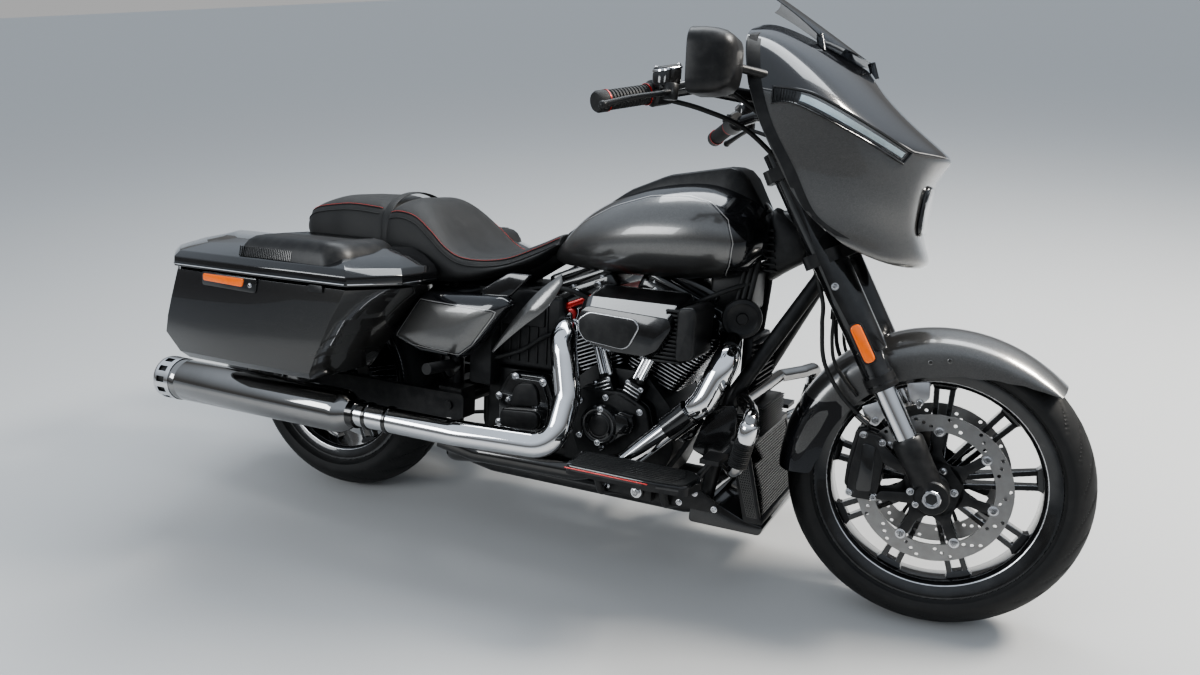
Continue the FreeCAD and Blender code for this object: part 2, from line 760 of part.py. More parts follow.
def windshield():
    """A short curved screen on three posts, clear of the top of the fairing."""
    wires = []
    t = shield_thickness
    for z, side_z, centre_x, side_x, half in shield_rows:
        tilt = (z - side_z) / (centre_x - side_x)

        def at(x, y):
            return V(wheelbase + x, y, side_z + (x - side_x) * tilt)

        left, right = at(side_x, half), at(side_x, -half)
        left_in, right_in = at(side_x - t, half), at(side_x - t, -half)
        wires.append(Part.Wire([
            Part.Arc(left, at(centre_x, 0), right).toShape(),
            straight_edge(right, right_in),
            Part.Arc(right_in, at(centre_x - 1.3 * t, 0), left_in).toShape(),
            straight_edge(left_in, left),
        ]))
    posts = [rod(V(wheelbase - 226, 0, 1206), V(wheelbase - 214, 0, 1172), 8)]
    for side in (1, -1):
        posts.append(rod(V(wheelbase - 316, side * 150, 1238), V(wheelbase - 306, side * 164, 1204), 8))
    return joined([loft(wires)] + posts)


mirror_x = -493.0   # from the front axle


def mirrors():
    """Mirror heads on short arms from the fairing's sides."""
    x = wheelbase + mirror_x
    shape = [V(x, 352, 1090), V(x, 478, 1102), V(x, 485, 1184), V(x, 462, 1202), V(x, 358, 1190)]
    back = [V(x + 44, 368, 1110), V(x + 44, 456, 1114), V(x + 44, 462, 1170), V(x + 44, 446, 1182), V(x + 44, 374, 1176)]
    head = loft([rounded_wire(shape, 18), rounded_wire(back, 14)])
    arm = tube([V(x + 30, 386, 1140), V(x + 74, 366, 1140), V(x + 112, 326, 1134)], 9, 24)
    return both_sides(joined([head, arm]))


# Frame and running gear


def backbone_tube(gap):
    """The main tube from the head back under the tank, or what leaves a gap round it."""
    neck = head_end_point(-1) + steer_axis * 52 - AHEAD * 8
    return tube([neck, V(1180, 0, 842), V(760, 0, 790), V(600, 0, 690)], backbone_radius + gap, 160)


def neck_route(side):
    """A downtube's way out of the head tube, close to the middle so that the lower yoke can turn past it."""
    back = steer_axis.cross(LEFT).normalize()
    bottom = head_end_point(-1)
    stations = ((50, 14, 8), (10, 74, 10), (-45, 72, 12))   # along the head tube, behind it, out from the middle
    return [bottom + steer_axis * s + back * b + LEFT * side * y for s, b, y in stations]


def main_frame():
    """Head tube, backbone, two downtubes, lower rails and seat rails."""
    pieces = [rod(head_end_point(-1), head_end_point(1), head_radius)]
    pieces.append(backbone_tube(0.0))
    for side in (1, -1):
        y = side * rail_half_spacing
        pieces.append(tube(neck_route(side) + [V(1190, side * 112, 470), V(1140, y, rail_z), V(570, y, rail_z),
                            V(post_x + 5, side * post_half_spacing, rail_z + 2), V(post_x, side * post_half_spacing, 560),
                            V(590, side * 34, 664)], tube_radius, 60))
        rail_y = side * seat_rail_half_spacing
        pieces.append(tube([V(600, side * 20, 676), V(480, rail_y, seat_rail_z), V(-140, rail_y, seat_rail_z)], seat_rail_radius, 60))
        for x in (-100, 150):
            pieces.append(rod(V(x, rail_y, seat_rail_z), V(x, side * (bag_inner_y - seat_gap), seat_rail_z), 9))
        pieces.append(rod(V(250, rail_y, 612), V(250, side * 178, 612), 9))
        pieces.append(rod(V(420, side * post_half_spacing, 540), V(420, side * (cover_inner_y - seat_gap), 540), 9))
        pieces.append(rod(V(1160, side * 118, 340), V(1212, side * 118, 340), 9))
        pivot = sorted((side * post_half_spacing, side * (swingarm_inner_y - seat_gap)))
        pieces.append(block((408, 478), pivot, (300, 380)))
    for x in (560, 960):
        pieces.append(block((x, x + 40), (-rail_half_spacing, rail_half_spacing), (rail_z - 6, engine_floor_z)))
    reach = swingarm_inner_y + swingarm_thickness + 6
    pieces.append(rod(V(swingarm_pivot_x, -reach, swingarm_pivot_z), V(swingarm_pivot_x, reach, swingarm_pivot_z), pivot_bolt_radius))
    axis = stand_axis()
    top = stand_pivot + axis * (stand_knuckle_height / 2 + panel_gap / 2)
    pieces.append(rod(top, top + axis * stand_bracket_thickness, stand_bracket_radius))
    pieces.append(rod(top, stand_pivot - axis * (stand_knuckle_height / 2 + 5), stand_bolt_radius))
    body = joined(pieces)
    return body.cut(rod(head_end_point(-1) - steer_axis, head_end_point(1) + steer_axis, stem_radius + running_gap))


def swingarm():
    """The rear fork with its pivot tube and the wheel axle through its ends."""
    pieces = []
    near, far = swingarm_inner_y, swingarm_inner_y + swingarm_thickness
    for side in (1, -1):
        start = side * near
        points = [V(x, start, z) for x, z in ((-34, 300), (-34, 356), (120, 372), (500, 372), (500, 308), (120, 290))]
        pieces.append(plate(points, 12, LEFT * side * swingarm_thickness))
    pieces.append(block((352, 398), (-near - 1, near + 1), (318, 366)))
    body = joined(pieces)
    pivot = rod(V(swingarm_pivot_x, -far - 9, swingarm_pivot_z), V(swingarm_pivot_x, far + 9, swingarm_pivot_z), pivot_bolt_radius + seat_gap)
    axle = rod(rear_axle - LEFT * rear_axle_reach, rear_axle + LEFT * rear_axle_reach, axle_radius)
    spacers = [rod(rear_axle + LEFT * s * (rear_hub_half_length + 1), rear_axle + LEFT * s * (near + 1), 20) for s in (1, -1)]
    return joined([body.cut(pivot), axle] + spacers)


def rear_shocks():
    y = swingarm_inner_y + swingarm_thickness / 2
    low, high = V(40, y, 360), V(250, y, 612)
    along = (high - low).normalize()
    return both_sides(joined([rod(low, high, 12), rod(low + along * 44, high - along * 34, 20)]))


def cylinder_axis(end):
    """Direction of a cylinder. end is 1 for the front one and -1 for the rear one."""
    angle = math.radians(cylinder_angle_deg)
    return V(end * math.sin(angle), 0, math.cos(angle))


def cylinder_plate(end, start, thickness, inner, outer, half, corner):
    """A slab square to a cylinder, from start along its axis."""
    axis = cylinder_axis(end)
    across = V(axis.z * end, 0, -axis.x * end)
    base = V(crank_x, 0, crank_z) + axis * start
    points = [base + across * a + LEFT * b for a, b in ((-inner, -half), (outer, -half), (outer, half), (-inner, half))]
    return plate(points, corner, axis * thickness)


def cylinder_half(end):
    """The side of the vee that a cylinder keeps to."""
    edge = crank_x + end * vee_gap / 2
    return block(sorted((edge, edge + end * 400)), (-200, 200), (crank_z, crank_z + 500))


def cylinders():
    """Two finned cylinders in a narrow vee."""
    bodies = []
    pitch = (barrel_end - barrel_start) / fin_count
    for end in (1, -1):
        axis = cylinder_axis(end)
        base = V(crank_x, 0, crank_z)
        pieces = [rod(base + axis * barrel_start, base + axis * barrel_end, bore_radius)]
        for n in range(fin_count):
            at = barrel_start + pitch * (n + 0.6)
            grow = n / (fin_count - 1)
            pieces.append(cylinder_plate(end, at, fin_thickness, 60 + 34 * grow, 84 + 36 * grow, 78 + 10 * grow, 28))
        pieces.append(cylinder_plate(end, barrel_end - 1, head_end - barrel_end + 1, 96, 122, 92, 30))
        bodies.append(joined(pieces).common(cylinder_half(end)))
    return Part.makeCompound(bodies)


def rocker_covers():
    bodies = []
    for end in (1, -1):
        low = cylinder_plate(end, head_end, 26, 98, 118, 88, 26)
        high = cylinder_plate(end, head_end + 25, rocker_end - head_end - 25, 78, 96, 66, 24)
        bodies.append(joined([low, high]))
    return Part.makeCompound(bodies)


def crankcase():
    """Crankcase, gear cover on the right and gearbox behind, in one casting."""
    half = case_half_width
    profile = [V(765, -half, engine_floor_z), V(1010, -half, engine_floor_z), V(1050, -half, 300), V(1040, -half, 410), V(968, -half, 490),
               V(832, -half, 490), V(764, -half, 430)]
    body = plate(profile, 24, LEFT * 2 * half)
    for end in (1, -1):
        body = body.cut(cylinder_plate(end, barrel_start, 260, 150, 180, 140, 10))
    gearbox = block((530, 775), (-half + 4, pulley_offset - pulley_width / 2 - 6), (engine_floor_z, 448))
    cover = plate([V(crank_x + x, -half + 1, z) for x, z in ((-100, 330), (-72, 262), (40, 250), (118, 330), (96, 414), (34, 446), (-78, 440))],
                  34, LEFT * -56)
    round_cover = rod(V(crank_x - 12, -half - 50, 362), V(crank_x - 12, -half - 74, 362), 52)
    return joined([body, gearbox, cover, round_cover])


def gearbox_cover():
    """The stepped cover on the right of the gearbox."""
    face = -case_half_width + 4
    low = plate([V(x, face, z) for x, z in ((588, 296), (738, 296), (746, 380), (716, 446), (612, 446), (586, 380))], 26, LEFT * -34)
    high = plate([V(x, face - 34, z) for x, z in ((604, 308), (712, 308), (712, 366), (604, 366))], 18, LEFT * -18)
    return joined([low, high])


def drive_pulley():
    """The small belt pulley on the gearbox's output shaft."""
    start = V(drive_pulley_x, pulley_offset - pulley_width / 2, drive_pulley_z)
    shaft = rod(start - LEFT * 6, start, 22)
    return joined([rod(start, start + LEFT * pulley_width, drive_pulley_radius), shaft])


def primary_cover():
    """The long chaincase on the left, from the crankshaft back to the clutch."""
    inner = pulley_offset + pulley_width / 2 + 6
    ring = [(600, 232), (950, 262), (1026, 330), (1012, 440), (940, 486), (690, 482), (566, 430), (548, 300)]
    deep = plate([V(x, inner, z) for x, z in ring], 60, LEFT * 48)
    crown = plate([V(x * 0.86 + 0.14 * 790, inner + 48, z * 0.86 + 0.14 * 362) for x, z in ring], 52, LEFT * 20)
    root = plate([V(x, case_half_width, z) for x, z in ((790, 262), (950, 266), (1012, 330), (1004, 430), (930, 476), (790, 470))],
                 40, LEFT * (inner + 1 - case_half_width))
    return joined([deep, crown, root])


def pushrod_tubes():
    """Bright tubes from the tappet blocks up to the heads, two to a cylinder."""
    groups = []
    middle_x = crank_x + tappet_shift
    for end in (1, -1):
        pieces = []
        for n in (0, 1):
            foot = V(middle_x + end * (28 + 18 * n), -122 - 4 * n, 462)
            pieces.append(rod(foot, V(foot.x + end * 72, -96, 640), 8))
        low = middle_x + end * 37
        pieces.append(block((low - 24, low + 24), (-146, -case_half_width), (424, 470)))
        groups.append(joined(pieces))
    return Part.makeCompound(groups)


def air_cleaner():
    """The long intake housing on the right of the vee, and the neck that carries it."""
    near, far = -128.0, -252.0
    back = [V(x, near, z) for x, z in ((828, 598), (850, 690), (1150, 680), (1150, 560), (1060, 532), (880, 548))]
    face = [V(x, far, z) for x, z in ((842, 606), (862, 668), (1136, 660), (1136, 578), (1052, 548), (892, 560))]
    shell = loft([rounded_wire(back, 16), rounded_wire(face, 14)], True)
    return joined([shell, rod(V(crank_x + 60, -80, 612), V(crank_x + 60, near - 1, 612), 34)])


def exhaust_headers():
    """Front and rear header pipes that run back to the right silencer, with the link to the left one."""
    end_x = muffler_front_x + muffler_cone
    rear = tube([V(762, -78, 588), V(790, -196, 566), V(824, -222, 430), V(815, -muffler_y + 34, muffler_z), V(560, -muffler_y, muffler_z),
                 V(end_x, -muffler_y, muffler_z)], shield_radius, 58)
    front = tube([V(1050, -60, 590), V(1168, -80, 592), V(1194, -192, 566), V(1152, -208, 466), V(968, -216, 290), V(860, -232, 262), V(600, -262, 268),
                  V(520, -292, 296)], header_radius, 54)
    link = tube([V(620, -256, 264), V(500, -220, 238), V(500, 220, 238), V(430, muffler_y, muffler_z), V(end_x, muffler_y, muffler_z)],
                header_radius - 3, 48)
    return joined([rear, front, link])


def mufflers():
    bodies = []
    for side in (-1, 1):
        y = side * muffler_y
        front, rear = V(muffler_front_x, y, muffler_z), V(muffler_rear_x, y, muffler_z)
        body = rod(front, rear, muffler_radius)
        cone = Part.makeCone(muffler_radius, shield_radius, muffler_cone, front, AHEAD)
        tip = rod(rear, rear - AHEAD * tip_length, muffler_radius + 2)
        hollow = rod(rear - AHEAD * 5, rear - AHEAD * (tip_length + 1), muffler_radius + 2 - tip_wall)
        bodies.append(joined([body, cone, tip]).cut(hollow))
    return bodies


def radiator():
    """The radiator with its frame, and the deep cowl under it."""
    points = [V(1206, -168, 372), V(1244, -168, 372), V(1288, -168, 200), V(1250, -168, 196)]
    body = plate(points, 4, LEFT * 336)
    cowl = plate([V(1118, -160, 166), V(1290, -160, 166), V(1296, -160, 192), V(1250, -160, 195), V(1160, -160, 232), V(1118, -160, 200)], 8, LEFT * 320)
    cooler = block((1212, 1254), (-90, 90), (371, 444))
    return joined([body, cowl, cooler])


def engine_guard():
    right = tube([V(1224, 0, 468), V(1224, -150, 468), V(1264, -230, 470), V(1288, -304, 474), V(1262, -304, 352), V(1172, -118, 318)], 16, 40)
    return joined([right, right.mirror(V(0, 0, 0), LEFT)])


# Tank, seat and bodywork

# x, half width, bottom z, widest z, shoulder half width, shoulder z, top z
tank_rows = (
    (690, 52, 722, 742, 34, 762, 772),
    (760, 104, 712, 756, 70, 822, 842),
    (860, 142, 712, 776, 96, 872, 898),
    (980, 166, 716, 800, 108, 908, 936),
    (1100, 168, 724, 818, 104, 916, 944),
    (1176, 146, 740, 822, 84, 890, 916),
    (1226, 84, 784, 826, 44, 850, 864),
)


def tank_section(row):
    x, half, low, wide_z, top_half, top_side, top = row
    floor = half * 0.55
    a, b, c = V(x, floor, low), V(x, half, wide_z), V(x, top_half, top_side)
    flip = lambda p: V(p.x, -p.y, p.z)
    return Part.Wire([
        Part.LineSegment(flip(a), a).toShape(),
        Part.Arc(a, b, c).toShape(),
        Part.Arc(c, V(x, 0, top), flip(c)).toShape(),
        Part.Arc(flip(c), flip(b), flip(a)).toShape(),
    ])


def tank_solid():
    return loft([tank_section(row) for row in tank_rows])


def fuel_tank():
    """The teardrop tank, tunnelled for the frame's backbone and the rocker covers."""
    slot = block((640, 1260), (-tunnel_half_width, tunnel_half_width), (690, tunnel_top_z))
    return tank_solid().cut(backbone_tube(seat_gap)).cut(slot)


# x, half width, base z, top z
console_rows = (
    (706, 30, 752, 792),
    (780, 46, 800, 846),
    (880, 58, 850, 910),
    (980, 66, 880, 950),
    (1134, 66, 870, 976),
    (1206, 44, 820, 880),
)
door_x = (1012.0, 1108.0)
door_half_width = 40.0
door_thickness = 6.0


def console_slope():
    (x0, _, _, z0), (x1, _, _, z1) = console_rows[3], console_rows[4]
    return (z1 - z0) / (x1 - x0)


def console_top(x):
    x0, _, _, z0 = console_rows[3]
    return z0 + (x - x0) * console_slope()


def door_slab(grow, depth):
    """A slab in the top of the console, with its upper face on the console's."""
    low, high = door_x[0] - grow, door_x[1] + grow
    half = door_half_width + grow
    corners = ((low, -half), (high, -half), (high, half), (low, half))
    return plate([V(x, y, console_top(x) - depth) for x, y in corners], 10, UP * depth)


def tank_console():
    """The raised black console along the tank's top, with a recess for the filler door."""
    wires = []
    for x, half, low, high in console_rows:
        wires.append(rounded_wire([V(x, half, low), V(x, half * 0.82, high), V(x, -half * 0.82, high), V(x, -half, low)], 5))
    body = loft(wires, True).cut(tank_solid())
    body = max(body.Solids, key=lambda s: s.Volume)
    return body.cut(door_slab(panel_gap, door_thickness + 1.0))


def fuel_door():
    return door_slab(0.0, door_thickness)


# x, half width, bottom z, top z
seat_rows = (
    (-84, 62, 738, 776),
    (-72, 96, 740, 802),
    (-30, 128, 716, 832),
    (50, 144, 702, 852),
    (130, 150, 692, 858),
    (200, 150, 686, 852),
    (232, 146, 684, 834),
    (252, 166, 680, 846),
    (290, 178, 664, 858),
    (335, 182, 652, 850),
    (385, 184, 647, 806),
    (430, 184, 647, 760),
    (475, 182, 652, 730),
    (530, 166, 667, 722),
    (590, 128, 696, 734),
    (645, 88, 718, 764),
    (686, 58, 750, 784),
)


def seat_section(row):
    x, half, low, high = row
    edge = high - min(26.0, (high - low) * 0.5)
    a, b = V(x, half * 0.86, low), V(x, half, edge)
    flip = lambda p: V(p.x, -p.y, p.z)
    c = V(x, half * 0.72, high - 4)
    return Part.Wire([
        Part.LineSegment(flip(a), a).toShape(), Part.LineSegment(a, b).toShape(), Part.Arc(b, V(x, half * 0.93, high - 10), c).toShape(),
        Part.Arc(c, V(x, 0, high), flip(c)).toShape(), Part.Arc(flip(c), V(x, -half * 0.93, high - 10), flip(b)).toShape(),
        Part.LineSegment(flip(b), flip(a)).toShape(),
    ])


def seat():
    """Rider's and passenger's cushions in one, hollowed underneath for the rear fender."""
    body = loft([seat_section(row) for row in seat_rows], True)
    half = rear_fender_half_width + seat_gap
    under = rod(rear_axle - LEFT * half, rear_axle + LEFT * half, rear_fender_radius + seat_gap)
    return body.cut(backbone_tube(seat_gap)).cut(under)


def rear_fender():
    """A deep fender over the rear tyre, between the seat rails."""
    return fender_sweep(fender_profile(rear_fender_half_width, rear_fender_radius, 44.0, 80.0), rear_axle, 38.0, 142.0)


def side_covers():
    """Painted covers between the seat and the swingarm, one a side."""
    y = cover_inner_y
    cover = [V(304, y, 508), V(520, y, 476), V(566, y, 520), V(650, y, 634), V(398, y, 630)]
    inner = plate(cover, 22, LEFT * 30)
    crown = loft([rounded_wire([p + LEFT * 29 for p in cover], 22),
                  rounded_wire([V(p.x * 0.86 + 0.14 * 480, y + 54, p.z * 0.86 + 0.14 * 560) for p in cover], 18)], True)
    fin = [V(586, y + 16, 508), V(650, y + 16, 560), V(764, y + 16, 642), V(746, y + 16, 706), V(700, y + 16, 690)]
    web = block((560, 640), (y, y + 22), (560, 600))
    return both_sides(joined([inner, crown, plate(fin, 10, LEFT * 18), web]))


# Luggage


def bag_outline(z, front_in, front_out, rear_out, rear_shoulder, rear_in, outer, inset=0.0):
    """A pannier's outline at a height, on the left side, with a swept rear corner."""
    inner = bag_inner_y + inset
    outer -= inset
    points = [V(front_in - inset, inner, z), V(front_in - inset, outer - 118 + inset, z), V(front_out - inset, outer, z), V(rear_out + inset, outer, z),
              V(rear_shoulder + inset, outer - 90 + inset, z), V(rear_in + inset, inner, z)]
    return rounded_wire(points, 24 - inset)


# z, front x inside, front x outside, rear x outside, at the swept corner and inside, outer y
bag_rows = (
    (bag_bottom_z, 226, 222, -180, -214, -236, bag_outer_y - 22),
    (bag_waist_z, 276, 262, -240, -282, -310, bag_outer_y),
    (bag_hip_z, 352, 308, -212, -288, -322, bag_outer_y + 4),
    (bag_top_z, 424, 352, -186, -290, -330, bag_outer_y + 4),
)


def bag_loft(rows, inset=0.0, lifts=(0, 0, 0, 0)):
    return loft([bag_outline(row[0] + up, *row[1:], inset=inset) for row, up in zip(rows, lifts)], True)


def saddlebag():
    """A left pannier: an open box with the real wall thickness."""
    return bag_loft(bag_rows).cut(bag_loft(bag_rows, bag_wall, (bag_wall, 0, 0, 1.0)))


def lid_rows():
    """A lid's outlines: a lip round the pannier's rim, a shoulder and a crown that slopes in."""
    front_in, front_out, rear_out, shoulder, rear_in, outer = bag_rows[3][1:]
    over = lid_overhang
    rim = (front_in + over, front_out + over, rear_out - over, shoulder - over, rear_in - over, outer + over)
    top = (front_in - 74, front_out - 90, rear_out + 126, shoulder + 114, rear_in + 94, outer - 78)
    return ((bag_top_z + lid_gap,) + rim, (lid_lip_z,) + rim, (lid_shoulder_z, front_in - 4, front_out - 6, rear_out + 6, shoulder + 4, rear_in + 4, outer - 4),
            (lid_top_z,) + top)


def saddlebag_lid():
    """A left lid: a shallow shell with a raised crown."""
    rows = lid_rows()
    shell = bag_loft(rows)
    lifts = (-1.0, -3.0, -lid_wall, -lid_wall)
    return shell.cut(bag_loft(rows, lid_wall + 6, lifts))


def lid_hinge_point():
    """A point on the left lid's hinge, beside its lower outer edge."""
    return V(0, bag_rows[-1][-1] + lid_overhang + hinge_radius, bag_top_z + lid_gap)


def saddlebags():
    return both_sides(saddlebag())


# Footboards, controls, belt and lamps


def footboards():
    """Rider's footboards with their arms, the pedal ahead of each, and the passenger's pegs."""
    low = footboard_top_z - footboard_thickness
    outline = ((884, 262), (1168, 262), (1192, 300), (1180, 366), (1100, 376), (900, 372))
    board = plate([V(x, y, low) for x, y in outline], 18, UP * footboard_thickness)
    arms = [tube([V(x, rail_half_spacing + 8, rail_z + 6), V(x, 240, 226), V(x, 290, low + 8)], 9, 24) for x in (930, 1090)]
    pedal = tube([V(1120, 268, low + 6), V(1160, 250, low + 2), V(1192, 250, 346), V(1206, 262, 362)], 7, 16)
    pad = block((1188, 1230), (252, 318), (362, 372))
    arm = tube([V(post_x, post_half_spacing, 424), V(470, 186, 430), V(484, 214, 452)], 11, 30)
    peg = rod(V(484, 204, 456), V(484, 306, 462), 14)
    return both_sides(joined([board, pedal, pad] + arms)), both_sides(joined([arm, peg]))


def belt():
    """The toothed drive belt, round both pulleys."""
    y0 = pulley_offset - pulley_width / 2 + 1
    width = pulley_width - 2
    big, small = pulley_radius + belt_gap, drive_pulley_radius + belt_gap
    centre = V(drive_pulley_x, 0, drive_pulley_z)
    gap = centre - rear_axle
    distance = gap.Length
    tilt = math.atan2(gap.z, gap.x)

    def loop(grow):
        a, b = big + grow, small + grow
        side = math.acos((a - b) / distance)
        up = [V(math.cos(tilt + side), 0, math.sin(tilt + side)), V(math.cos(tilt - side), 0, math.sin(tilt - side))]
        far = V(math.cos(tilt), 0, math.sin(tilt))
        y = LEFT * y0
        return Part.Wire([
            Part.LineSegment(rear_axle + up[0] * a + y, centre + up[0] * b + y).toShape(),
            Part.Arc(centre + up[0] * b + y, centre + far * b + y, centre + up[1] * b + y).toShape(),
            Part.LineSegment(centre + up[1] * b + y, rear_axle + up[1] * a + y).toShape(),
            Part.Arc(rear_axle + up[1] * a + y, rear_axle - far * a + y, rear_axle + up[0] * a + y).toShape(),
        ])

    body = Part.Face(loop(belt_thickness)).extrude(LEFT * width)
    return body.cut(Part.Face(loop(0.0)).extrude(LEFT * width))


def plate_hole_points():
    """Middles of the two holes for a number plate, on the bracket's rear face."""
    return [V(tail_x, side * plate_hole_spacing / 2, 545) for side in (1, -1)]


def rear_lamps():
    """The tail lamp bar on its stay, and the plate bracket under it."""
    bar = plate([V(tail_x + 60, y, z) for y, z in ((-150, 600), (150, 600), (150, 640), (-150, 640))], 12, AHEAD * -34)
    bracket = block((tail_x, tail_x + plate_bracket_thickness), (-90, 90), (430, 590))
    stay = block((tail_x + 1, -310), (-20, 20), (560, 610))
    body = joined([bar, bracket, stay])
    for point in plate_hole_points():
        body = body.cut(rod(point - AHEAD, point + AHEAD * (plate_bracket_thickness + 1), plate_hole_radius))
    return body


# Side stand


def ground_under(x, y):
    """The point of the ground, on the upright machine, that the parked machine has under x and y."""
    parked = parked_placement()
    high, low = parked.multVec(V(x, y, 1)).z, parked.multVec(V(x, y, 0)).z
    return V(x, y, -low / (high - low))


def stand_foot():
    return ground_under(stand_pivot.x + stand_ahead, stand_pivot.y + stand_out)


def stand_axis():
    """The hinge's direction: the leg swings about it straight from the ground to its stowed place."""
    return (stand_foot() - stand_pivot).cross(stand_stowed).normalize()


def stand_swing_deg():
    return math.degrees((stand_foot() - stand_pivot).getAngle(stand_stowed))


def side_stand():
    """The stand's leg and foot, swung out and a little forward."""
    foot = stand_foot()
    ground_up = parked_placement().Rotation.inverted().multVec(UP)
    axis = stand_axis()
    half = axis * (stand_knuckle_height / 2)
    knuckle = rod(stand_pivot - half, stand_pivot + half, stand_knuckle_radius)
    leg = rod(stand_pivot, foot + ground_up * (stand_foot_height - 2), stand_radius)
    pad = rod(foot, foot + ground_up * stand_foot_height, stand_foot_radius)
    bolt = rod(stand_pivot - half * 2, stand_pivot + half * 2, stand_bolt_radius + running_gap)
    under = rod(foot - ground_up * 60, foot, 3 * stand_foot_radius)
    return joined([knuckle, leg, pad]).cut(bolt).cut(under)


# Parking the machine


def tyre_bottom(centre, axle, radius, crown):
    """Lowest height of a leaned tyre, from its centre and the direction of its axle."""
    return centre.z - (radius - crown) * math.sqrt(1 - axle.z ** 2) - crown


def steered(shape):
    return about(shape, axis_point(0), steer_axis, steer_rest_deg)


def parked_placement():
    """Leans the machine to the left, and sets both tyres down on z = 0."""
    lean = FreeCAD.Rotation(AHEAD, -lean_deg)
    turn = FreeCAD.Rotation(steer_axis, steer_rest_deg)
    centre = axis_point(0) + turn.multVec(front_axle - axis_point(0))
    front = tyre_bottom(lean.multVec(centre), lean.multVec(turn.multVec(LEFT)), front_tyre_radius, front_crown_radius)
    rear = tyre_bottom(lean.multVec(rear_axle), lean.multVec(LEFT), rear_tyre_radius, rear_crown_radius)
    pitch = FreeCAD.Rotation(LEFT, math.degrees(math.atan2(front - rear, wheelbase)))
    return FreeCAD.Placement(V(0, 0, -rear), pitch.multiply(lean))


steered_nodes = {
    "fork_sliders": fork_sliders, "fork_stanchions": fork_stanchions, "fork_lugs": fork_lugs, "triple_clamps": triple_clamps,
    "fork_covers": fork_covers, "front_fender": front_fender, "front_calipers": front_calipers, "handlebar": handlebar,
    "hand_grips": hand_grips, "hand_controls": hand_controls, "fairing_outer": fairing_outer, "fairing_inner": fairing_inner,
    "windshield": windshield, "headlamp": headlamp, "mirrors": mirrors,
}


def front_tyre():
    return tyre(front_axle, front_tyre_radius, front_tyre_half_width, front_crown_radius, front_rim_seat_radius, front_rim_half_width)


def front_wheel():
    return wheel(front_axle, front_rim_seat_radius, front_rim_half_width, front_hub_half_length)


def rear_tyre():
    return tyre(rear_axle, rear_tyre_radius, rear_tyre_half_width, rear_crown_radius, rear_rim_seat_radius, rear_rim_half_width)


def rear_wheel():
    return wheel(rear_axle, rear_rim_seat_radius, rear_rim_half_width, rear_hub_half_length)


front_wheel_nodes = {"front_tyre": front_tyre, "front_wheel": front_wheel, "front_discs": front_discs}
fixed_nodes = {
    "rear_tyre": rear_tyre, "rear_wheel": rear_wheel, "rear_disc": rear_disc, "rear_pulley": rear_pulley,
    "main_frame": main_frame, "swingarm": swingarm, "rear_shocks": rear_shocks, "cylinders": cylinders, "rocker_covers": rocker_covers,
    "crankcase": crankcase, "gearbox_cover": gearbox_cover, "drive_pulley": drive_pulley, "primary_cover": primary_cover, "pushrod_tubes": pushrod_tubes,
    "air_cleaner": air_cleaner, "exhaust_headers": exhaust_headers, "radiator": radiator, "engine_guard": engine_guard,
    "fuel_tank": fuel_tank, "tank_console": tank_console, "fuel_door": fuel_door, "seat": seat, "rear_fender": rear_fender,
    "side_covers": side_covers, "saddlebags": saddlebags, "footboards": footboards, "belt": belt, "rear_lamps": rear_lamps,
    "side_stand": side_stand,
}


# Pieces that are cut to sit flush against what carries them
trimmed_by = {
    "handlebar": ("triple_clamps",),
    "fork_covers": ("triple_clamps",),
    "front_fender": ("fork_sliders", "fork_lugs"),
    "fairing_inner": ("triple_clamps", "handlebar"),
    "windshield": ("fairing_outer",),
    "mirrors": ("fairing_outer",),
    "air_cleaner": ("cylinders", "rocker_covers", "crankcase"),
    "pushrod_tubes": ("cylinders", "crankcase", "air_cleaner"),
    "exhaust_headers": ("cylinders", "crankcase"),
    "radiator": ("main_frame",),
    "footboards": ("main_frame",),
    "engine_guard": ("main_frame",),
    "rear_shocks": ("swingarm", "main_frame"),
    "rear_lamps": ("rear_fender",),
}


def upright():
    """Every piece on the upright machine, by its name."""
    shapes = {name: make() for name, make in {**steered_nodes, **front_wheel_nodes, **fixed_nodes}.items()}
    shapes["muffler_right"], shapes["muffler_left"] = mufflers()
    shapes["footboards"] = Part.makeCompound(shapes["footboards"])
    lid = saddlebag_lid()
    shapes["lid_left"] = lid
    shapes["lid_right"] = lid.mirror(V(0, 0, 0), LEFT)
    for name, neighbours in trimmed_by.items():
        count = len(shapes[name].Solids)
        for neighbour in neighbours:
            shapes[name] = shapes[name].cut(shapes[neighbour])
        largest = sorted(shapes[name].Solids, key=lambda solid: solid.Volume)[-count:]
        shapes[name] = Part.makeCompound(largest) if count > 1 else largest[0]
    return shapes


def overall_box(shapes):
    box = FreeCAD.BoundBox()
    for shape in shapes.values():
        box.add(shape.optimalBoundingBox(False, False))
    return box


def parked():
    """Every piece as the machine stands, and the placement that took the upright machine there.

    The origin is on the ground, under the middle of the overall box.
    """
    shapes = upright()
    for name in list(steered_nodes) + list(front_wheel_nodes):
        shapes[name] = steered(shapes[name])
    placement = parked_placement()
    for shape in shapes.values():
        shape.transformShape(placement.toMatrix())
    box = overall_box(shapes)
    shift = V(-(box.XMin + box.XMax) / 2, -(box.YMin + box.YMax) / 2, -box.ZMin)
    for shape in shapes.values():
        shape.translate(shift)
    return shapes, FreeCAD.Placement(placement.Base + shift, placement.Rotation)


def main():
    os.makedirs("parts", exist_ok=True)
    shapes, _ = parked()
    for name, shape in shapes.items():
        shape.exportStep(f"parts/{name}.step")


if __name__ == "__main__":
    main()
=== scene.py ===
# Touring motorcycle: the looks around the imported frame.
# Pieces are drawn upright in millimetres, as the bike stands with both wheels straight under it,
# and then leaned onto the side stand with the rest of the frame.
import math
import json
import bpy
import bmesh
from mathutils import Matrix, Vector
from mathutils.bvhtree import BVHTree


